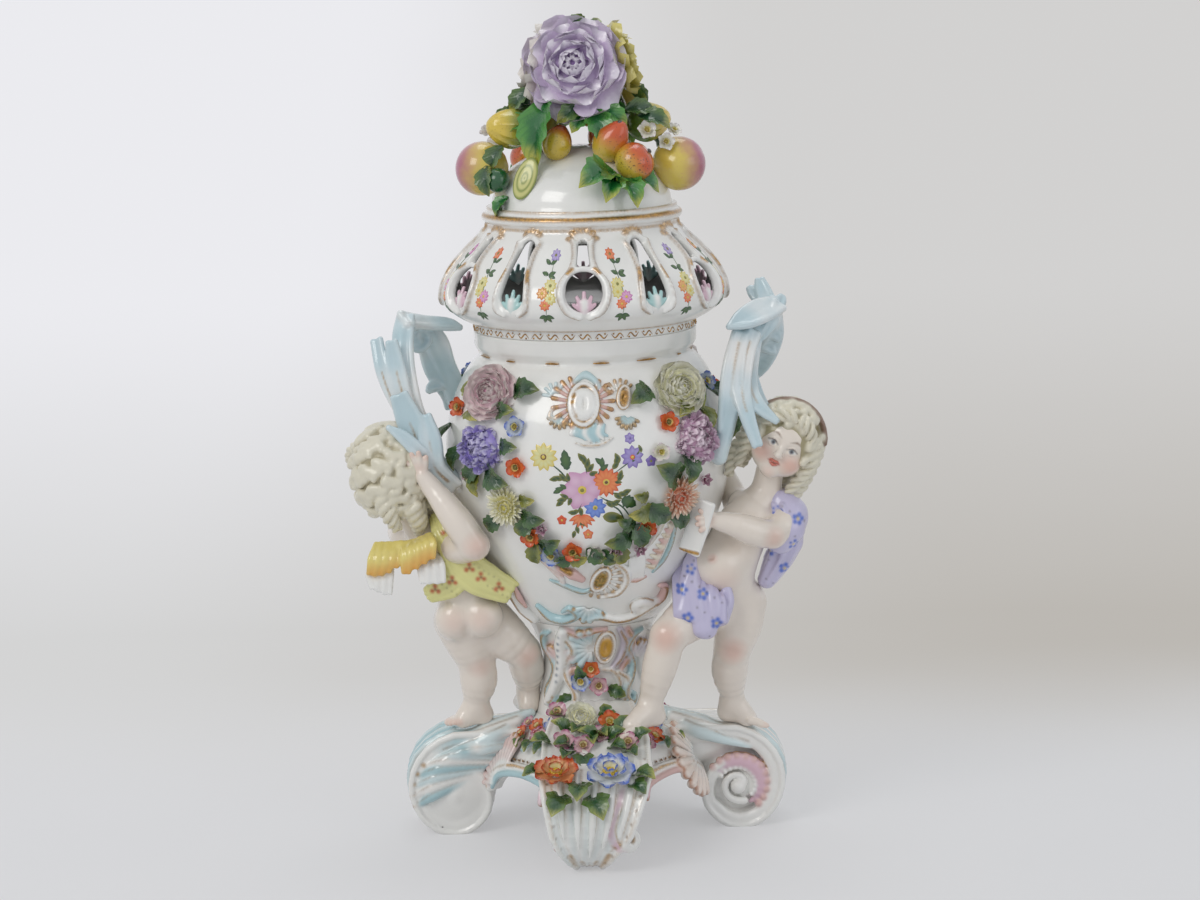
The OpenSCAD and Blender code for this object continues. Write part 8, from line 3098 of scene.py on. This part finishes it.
def base_flowers(tree: WhorlTree) -> None:
    """Builds the flowers of the base."""
    def on_plinth(turn: float, z: float, radius: float) -> Seat:
        """Seats a flower on the plinth."""
        return (*seat_on(PLINTH, turn, z, 1.5), radius)

    def on_stem(turn: float, z: float, radius: float) -> Seat:
        """Seats a flower on the pedestal, above the mound."""
        return (*seat_on(PEDESTAL, turn, z, 3.0), radius)

    cream = linear(236, 226, 170)
    posies = [
        Posy("base_double_red", "base_bloom_red", "petal_red", Bloom.DOUBLE, cream, linear(238, 170, 116),
            linear(206, 66, 30), [on_foot(-90, 68, -25, 1.5, 14.5)], linear(214, 180, 40)),
        Posy("base_double_blue", "base_bloom_blue", "petal_blue", Bloom.DOUBLE, linear(244, 238, 200),
            linear(232, 236, 240), linear(70, 112, 214), [on_foot(-90, 66, 8, 1.5, 16)],
            linear(214, 180, 40)),
        Posy("base_rose", "base_rose_cream", "petal_white", Bloom.RANUNCULUS, linear(238, 234, 176),
            linear(247, 245, 222), linear(248, 247, 236), [on_arm(-90, 58, -9, 11, 50, 4.5)]),
        Posy("base_small_red", "base_florets_red", "petal_red", Bloom.FLORET, cream, linear(226, 120, 64),
            linear(210, 66, 30), [on_arm(-90, 60, 9, 8.5, 55, 3.5), on_plinth(-52, 70, 6.5),
            on_stem(-3, 112, 6.5), on_plinth(44, 64, 7.5), on_plinth(-64, 64, 6.5)], linear(180, 150, 40)),
        Posy("base_small_pink", "base_florets_pink", "petal_pink", Bloom.FLORET, cream,
            linear(226, 190, 200), linear(186, 96, 140),
            [on_plinth(-45, 66, 7), on_arm(-90, 76, -20, 8, 50, 2.5), on_arm(-90, 52, -24, 8, 40, 5.0),
            on_plinth(34, 62, 8), on_arm(-90, 80, -8, 7.5, 55, 2.0), on_stem(4, 100, 7),
            on_plinth(-66, 70, 5.5), on_arm(-90, 78, 20, 7.5, 50, 2.0), on_arm(-90, 70, 3, 7, 50, 2.0)],
            linear(150, 120, 60)),
        Posy("base_small_blue", "base_florets_blue", "petal_blue", Bloom.FLORET, cream,
            linear(204, 212, 230), linear(74, 108, 206), [on_plinth(52, 70, 6.5), on_stem(-13, 103, 7.5),
            on_plinth(-38, 72, 6.5)], linear(190, 160, 50)),
    ]
    for posy in posies:
        posy.build(tree)
    leaves = Foliage("base_foliage", ["base_leaves"], "vase",
        LeafGlaze("base_leaf_glaze", linear(44, 84, 46), linear(96, 124, 58), linear(190, 186, 96)))
    for roll, side, heading, length in ((50, -20, -25, 20), (48, -4, 20, 21), (62, -10, -8, 19),
            (74, -32, -70, 15), (70, 22, 60, 16), (80, -8, 180, 15), (60, 20, 40, 15)):
        at, n, _ = on_foot(-90, roll, side, 0.4, 1)
        down = np.cross((1, 0, 0), n)
        a = math.radians(heading)
        leaves.lay(at, n, math.cos(a) * down * (1 if down[2] < 0 else -1)
            + math.sin(a) * np.array([1.0, 0, 0]), length, length * 0.78, 3, 0.05)
    for reach, side, heading in ((74, 6, 20), (66, -16, 150), (78, -14, 200), (58, 8, 100), (60, -8, 240),
            (80, 8, 320), (68, 14, 60), (70, -4, 280), (72, 2, 170), (64, 0, 300), (84, -16, 250),
            (84, 18, 300), (76, 22, 20), (50, -16, 190), (74, -28, 200)):
        a = math.radians(heading)
        leaves.lay((side, -reach, mound(reach) + 0.6), (0, -0.5, 1), (math.cos(a), math.sin(a), 0), 15, 10,
            3, 0.4)
    for turn, z, heading in ((-22, 92, -60), (14, 98, 60), (-10, 102, 200), (22, 86, 40), (-30, 80, -40),
            (6, 84, 0), (-14, 82, 10)):
        leaves.on_skin(PEDESTAL, turn, z, 13, heading, 1.5, 8.5, 0.3)
    for turn in (-62, -50, -38, 36, 50, 66):
        leaves.on_skin(PLINTH, turn, 64, 12, 40 * math.sin(turn), 1.0, lift=0.25)
    leaves.build()


CROWN = np.array([0.0, -2.0, 483.0])


def fruit_sheet(stretch: float = 1.0, cleft: float = 0.0, dimple: float = 0.0, neck: float = 0.0,
        ribs: int = 0, depth: float = 0.0) -> Sheet:
    """Makes a fruit of radius 1 that stands on its stalk end.

    Args:
        stretch: Height for a width of 1.
        cleft: Depth of the seam down one side.
        dimple: Depth of the hollows at both ends.
        neck: How far the far end is drawn out, as on a pear.
        ribs: Number of ribs.
        depth: Depth of the ribs.

    Returns:
        The fruit with its value along.
    """
    lat = np.radians(np.linspace(-90, 90, 19))
    profile = [(max(math.cos(a), 0.0) if abs(a) < 1.57 else 0.0, math.sin(a)) for a in lat]
    points, faces = lathe(profile, 28)
    turn, high = np.arctan2(points[:, 1], points[:, 0]), points[:, 2].copy()
    wide = 1 - cleft * np.exp(-((turn / 0.22) ** 2)) + depth * np.cos(ribs * turn)
    wide = wide * (1 - neck * np.clip(high + 0.15, 0, None) ** 1.4 * 0.62)
    near = np.exp(-((np.hypot(points[:, 0], points[:, 1]) / 0.30) ** 2))
    shaped = np.stack([points[:, 0] * wide, points[:, 1] * wide,
        stretch * high * (1 + neck * 0.35 * (high > 0)) - dimple * near * np.sign(high)], 1)
    n = len(points)
    return Sheet(shaped, faces, {"along": (high + 1) / 2, "across": np.zeros(n), "ring": np.zeros(n)})


@dataclass(frozen=True)
class FruitBasket:
    """Fruit of one kind.

    Attributes:
        name: Name of the piece.
        node: The solid that it stands for.
        slot: Material slot of the record; not used.
        glaze: Finish.
        sheet: The fruit's shape.
        seats: Centre, direction of the far end and radius of each fruit.
        both: True to repeat the fruit on the back.
    """

    name: str
    node: str
    slot: str
    glaze: FruitGlaze
    sheet: Sheet
    seats: Sequence[tuple[Point, Point, float]]
    both: bool = True

    def build(self) -> None:
        """Sets the fruit in place as one piece."""
        sheets = [self.sheet.moved(at, facing(axis, 140), radius) for at, axis, radius in self.seats]
        nodes = [self.node] if self.node else []
        seat_sheets(self.name, sheets, self.both, self.glaze.material(), "cover", nodes)


@dataclass
class Finial:
    """The flowers and fruit on the dome.

    Attributes:
        tree: Node tree that grows the flowers.
        enamel: Finish of the painted pieces.
    """

    tree: WhorlTree
    enamel: bpy.types.Material

    def branch(self) -> None:
        """Builds the arched branch and the ball that carries the flowers."""
        clay = Clay((-38, -22, 426), (38, 22, 502), 1.1, paint(Enamel.OLIVE))
        for s in (-1, 1):
            path = np.array([(s * 26.8, 0, 433), (s * 24, 0, 444), (s * 15, -1, 462), (s * 5, -2, 478)])
            clay.add(Strand(smooth(path, 5), np.linspace(6.5, 6, 16)), 3)
            clay.add(Strand(smooth(path + (2.5 * s, -3, 0), 5), np.full(16, 3.4)), 1.5, paint(Enamel.BROWN))
        clay.add(Egg(CROWN, (14.5, 14.5, 14.5)), 4, paint(Enamel.DARK_LEAF))
        fire(clay, "finial_twigs", self.enamel, "cover", ["finial_branch"])

    def blooms(self) -> None:
        """Builds the rose and the flowers round it."""
        def on_crown(angle: float, tilt: float, radius: float, out: float = 14.0) -> Seat:
            """Seats a flower on the ball of the branch."""
            a, t = math.radians(angle), math.radians(tilt)
            way = np.array([math.cos(a) * math.cos(t), math.sin(a) * math.cos(t), math.sin(t)])
            return CROWN + way * out, way, radius

        for posy in (
            Posy("finial_peony", "finial_rose", "petal_lilac", Bloom.PEONY, linear(112, 66, 144),
                linear(222, 206, 230), linear(240, 234, 243), [on_crown(-96, 16, 32, 13)], both=False,
                body="cover", fine=4, streak=0.1),
            Posy("finial_olive_flower", "finial_side_flowers", "petal_olive", Bloom.DOUBLE,
                linear(126, 116, 36), linear(176, 166, 74), linear(216, 204, 120),
                [on_crown(6, 12, 29, 19)], both=False, body="cover", fine=3),
            Posy("finial_grey_flower", "", "petal_white", Bloom.DOUBLE, linear(150, 126, 96),
                linear(222, 214, 204), linear(238, 232, 224), [on_crown(174, 10, 28, 18)], both=False,
                body="cover", fine=3),
            Posy("finial_back_flower", "", "petal_pink", Bloom.RANUNCULUS, linear(176, 96, 120),
                linear(222, 186, 196), linear(236, 222, 222), [on_crown(90, 10, 27)], both=False,
                body="cover", fine=1),
            Posy("finial_top_bud", "", "petal_white", Bloom.BUD, linear(190, 190, 90),
                linear(214, 206, 196), linear(232, 226, 222),
                [(np.array((-2.0, -8.0, 498.0)), unit((0, -0.15, 1)), 10.0)], both=False, body="cover"),
            Posy("finial_white_blossom", "finial_blossoms", "petal_white", Bloom.FLORET,
                linear(214, 206, 130), linear(236, 234, 226), linear(236, 232, 234),
                [(np.array((41.0, -26.0, 448.5)), unit((0.2, -0.9, 0.4)), 7.0),
                (np.array((52.5, -21.0, 441.0)), unit((0.3, -0.9, 0.3)), 6.5),
                (np.array((58.0, -17.0, 447.5)), unit((0.3, -0.7, 0.6)), 5.5)],
                linear(170, 150, 60), body="cover"),
        ):
            posy.build(self.tree)

    def fruit(self) -> None:
        """Builds the fruit round the dome."""
        yellow, red = linear(206, 178, 62), linear(206, 84, 34)
        spot = linear(60, 40, 24)
        for basket in (
            FruitBasket("peaches", "finial_peaches", "peach",
                FruitGlaze("peach_glaze", linear(222, 200, 92), linear(178, 100, 124),
                linear(206, 150, 112), 0.25), fruit_sheet(0.98, 0.07, 0.06),
                [((61.5, -9, 427), unit((0.9, 0.35, 0.1)), 17),
                ((-61.5, -9, 427), unit((-0.9, 0.4, 0.1)), 17)], False),
            FruitBasket("apples", "finial_apples", "apple", FruitGlaze("apple_glaze", yellow, red, spot,
                0.85), fruit_sheet(0.95, 0.0, 0.1), [((33, -39, 430.5), unit((0.75, -0.15, 0.5)), 12.6)]),
            FruitBasket("pears", "finial_pears", "pear", FruitGlaze("pear_glaze", yellow, red, spot, 0.4),
                fruit_sheet(1.25, 0.0, 0.05, 0.5), [((19, -33, 443), unit((0.5, -0.35, 0.75)), 11.0),
                ((-14, -27, 443), unit((0.25, 0.65, 0.7)), 9.5)]),
            FruitBasket("figs", "finial_figs", "fig", FruitGlaze("fig_glaze", linear(34, 104, 52),
                linear(24, 84, 44), linear(90, 150, 80), 0.25), fruit_sheet(1.05, 0.0, 0.03),
                [((-51.5, -29, 421), unit((-0.2, -0.9, -0.3)), 7.6)]),
            FruitBasket("ribbed_bud", "", "pear", FruitGlaze("ribbed_glaze", linear(106, 146, 58),
                linear(224, 196, 76), linear(150, 110, 40), 0.3), fruit_sheet(1.2, 0.0, 0.02, 0.3, 11,
                0.085), [((-43, -17, 452), unit((-0.9, -0.35, 0.15)), 12)]),
        ):
            basket.build()
        disc = [(0, -1.6)] + [(r, -1.6 * math.sqrt(1 - (r / 9.6) ** 2)) for r in np.linspace(1.2, 9.2, 8)]
        disc += [(9.6, 0)] + [(r, 1.6 * math.sqrt(1 - (r / 9.6) ** 2)) for r in np.linspace(9.2, 1.2,
            8)] + [(0, 1.6)]
        points, faces = lathe(disc, 36)
        reach = np.hypot(points[:, 0], points[:, 1])
        tones = np.where((np.sin(reach * 1.9) > 0.1)[:, None], np.array(linear(206, 204, 130)),
            np.array(linear(132, 146, 66)))
        colour = np.concatenate([tones, np.zeros((len(points), 1))], 1)
        oval = points * (0.75, 1.42, 1.0)
        lean = facing(unit((-0.35, -0.9, 0.25)), 0)
        c, s = math.cos(math.radians(18)), math.sin(math.radians(18))
        lean = np.stack([c * lean[0] - s * lean[1], s * lean[0] + c * lean[1], lean[2]])
        ends = oval @ lean + np.array((-34.0, -41.0, 422.5))
        both = np.concatenate([ends, ends * (-1, -1, 1)])
        seat(make_piece("cut_fruit", both, np.concatenate([faces, faces + len(points)]), self.enamel,
            np.concatenate([colour, colour])), "cover", [])
        dots = joined([fruit_sheet(0.6).moved(at, facing(axis), r)
            for at, axis, r in (((25.0, -38.6, 455.0), unit((0.5, -0.6, 0.7)), 1.9),
            ((42.5, -40.5, 437.5), unit((0.75, -0.15, 0.5)), 1.6))])
        dots = joined([dots, half_turn(dots)])
        seat(make_piece("fruit_calyxes", dots.points, dots.faces, self.enamel,
            flat_paint(len(dots.points), paint(Enamel.INK))), "cover", [])

    def leaves(self) -> None:
        """Builds the leaves."""
        bright = Foliage("finial_leaves_bright", ["finial_leaves"], "cover",
            LeafGlaze("finial_bright_glaze", linear(26, 104, 48), linear(84, 150, 62),
            linear(206, 196, 82)))
        dark = Foliage("finial_leaves_dark", [], "cover", LeafGlaze("finial_dark_glaze", linear(40, 78, 48),
            linear(92, 122, 58), linear(178, 172, 82)))
        for at, n, run, length, width in (
            ((-20, -24, 470), (-0.45, -0.85, 0.3), (-0.12, -0.25, -1), 46, 21),
            ((-29, -22, 458), (-0.3, -0.7, 0.6), (-0.9, -0.2, -0.35), 20, 12),
            ((-28, -23, 452), (-0.3, -0.8, 0.5), (-1, -0.3, 0.1), 18, 10),
            ((8, -27, 463), (0.1, -0.9, 0.35), (0.3, -0.3, -0.9), 25, 16),
            ((4, -26, 461), (-0.1, -0.9, 0.4), (-0.5, -0.1, -0.8), 16, 11),
            ((14, -26, 464), (0.3, -0.8, 0.5), (0.75, -0.3, -0.5), 20, 12),
        ):
            bright.lay(at, n, run, length, width, 4, 0.0, 0.16)
        for turn, height, length, heading in ((26, 22, 34, -64), (24, 20, 27, -30), (28, 19, 27, 4),
                (34, 20, 24, 40), (-54, 8, 15, -25)):
            bright.on_skin(DOME, turn, DOME_FOOT + height, length, heading, 0.7, length * 0.62, 0.03)
        for at, n, run, length in (
            ((-26, -14, 466), (-0.5, -0.7, 0.3), (-0.8, -0.3, 0.2), 20),
            ((-30, -16, 476), (-0.6, -0.7, 0.2), (-0.7, -0.1, -0.6), 20),
            ((-48, -22, 442), (-0.5, -0.8, 0.2), (-0.6, -0.4, -0.7), 20),
            ((-58, -25, 430), (-0.5, -0.8, 0.2), (0.1, -0.3, -1), 20),
            ((28, -18, 462), (0.3, -0.7, 0.6), (0.9, -0.2, 0.15), 20),
            ((36, -20, 458), (0.3, -0.7, 0.6), (0.9, -0.1, -0.3), 22),
            ((-4, -14, 512), (0, -0.6, 0.8), (0.3, 0.1, 0.6), 13),
            ((8, -8, 506), (0.2, -0.8, 0.5), (0.4, 0.2, 0.9), 15),
            ((-50, -27, 409), (-0.6, -0.8, 0.2), (0.1, -0.3, -1), 12),
            ((2, -24, 466), (0, -0.9, 0.3), (-0.8, -0.1, -0.6), 20),
            ((30, 0, 466), (0.8, 0, 0.5), (0.7, 0.5, -0.4), 20),
            ((-30, 0, 466), (-0.8, 0, 0.5), (-0.7, 0.5, -0.4), 20),
        ):
            dark.lay(at, n, run, length, length * 0.6, 4, 0.0, 0.2)
        for foliage in (bright, dark):
            foliage.build()

    def build(self) -> None:
        """Builds the whole finial."""
        for step in (self.branch, self.blooms, self.fruit, self.leaves):
            step()


def main() -> None:
    """Builds every sub-assembly in order."""
    logging.basicConfig(level=logging.INFO, format="%(name)s %(message)s")
    bpy.context.scene.view_settings.view_transform = "Standard"
    studio = Studio()
    studio.camera()
    studio.light()
    studio.floor()
    porcelain = Glaze("porcelain_glaze").material()
    enamel = Glaze("enamel_glaze", rough=0.2, mottle=0.08, ripple=0.1).material()
    vase = VaseBody()
    vase.shell(porcelain)
    vase.enamels(enamel)
    vase.reliefs(porcelain)
    cover = Cover()
    cover.pierced(porcelain)
    cover.dome(porcelain)
    cover.palmettes(porcelain)
    cover.enamels(enamel)
    fan = (1.1, 1.5, 1.6, 1.45, 1.15, 0.42, 0.4, 0.4)
    for foot in (ScrollFoot("foot_front", -90, Enamel.WHITE, -6.0, climb=FOOT_CLIMB, flare=fan),
            ScrollFoot("foot_right", 0, Enamel.WHITE, crest=-1), ScrollFoot("foot_back", 90, Enamel.SKY,
            -6.0, climb=FOOT_CLIMB, flare=fan), ScrollFoot("foot_left", 180, Enamel.SKY,
            flank=Flank.ACANTHUS, crest=1)):
        foot.build(porcelain)
    pedestal = Pedestal()
    pedestal.plinth(porcelain)
    pedestal.stem(porcelain)
    for handle in handles():
        handle.build(porcelain)
    build_putti(porcelain)
    tree = WhorlTree()
    garland(tree)
    base_flowers(tree)
    Finial(tree, enamel).build()


if __name__ == "__main__":
    main()
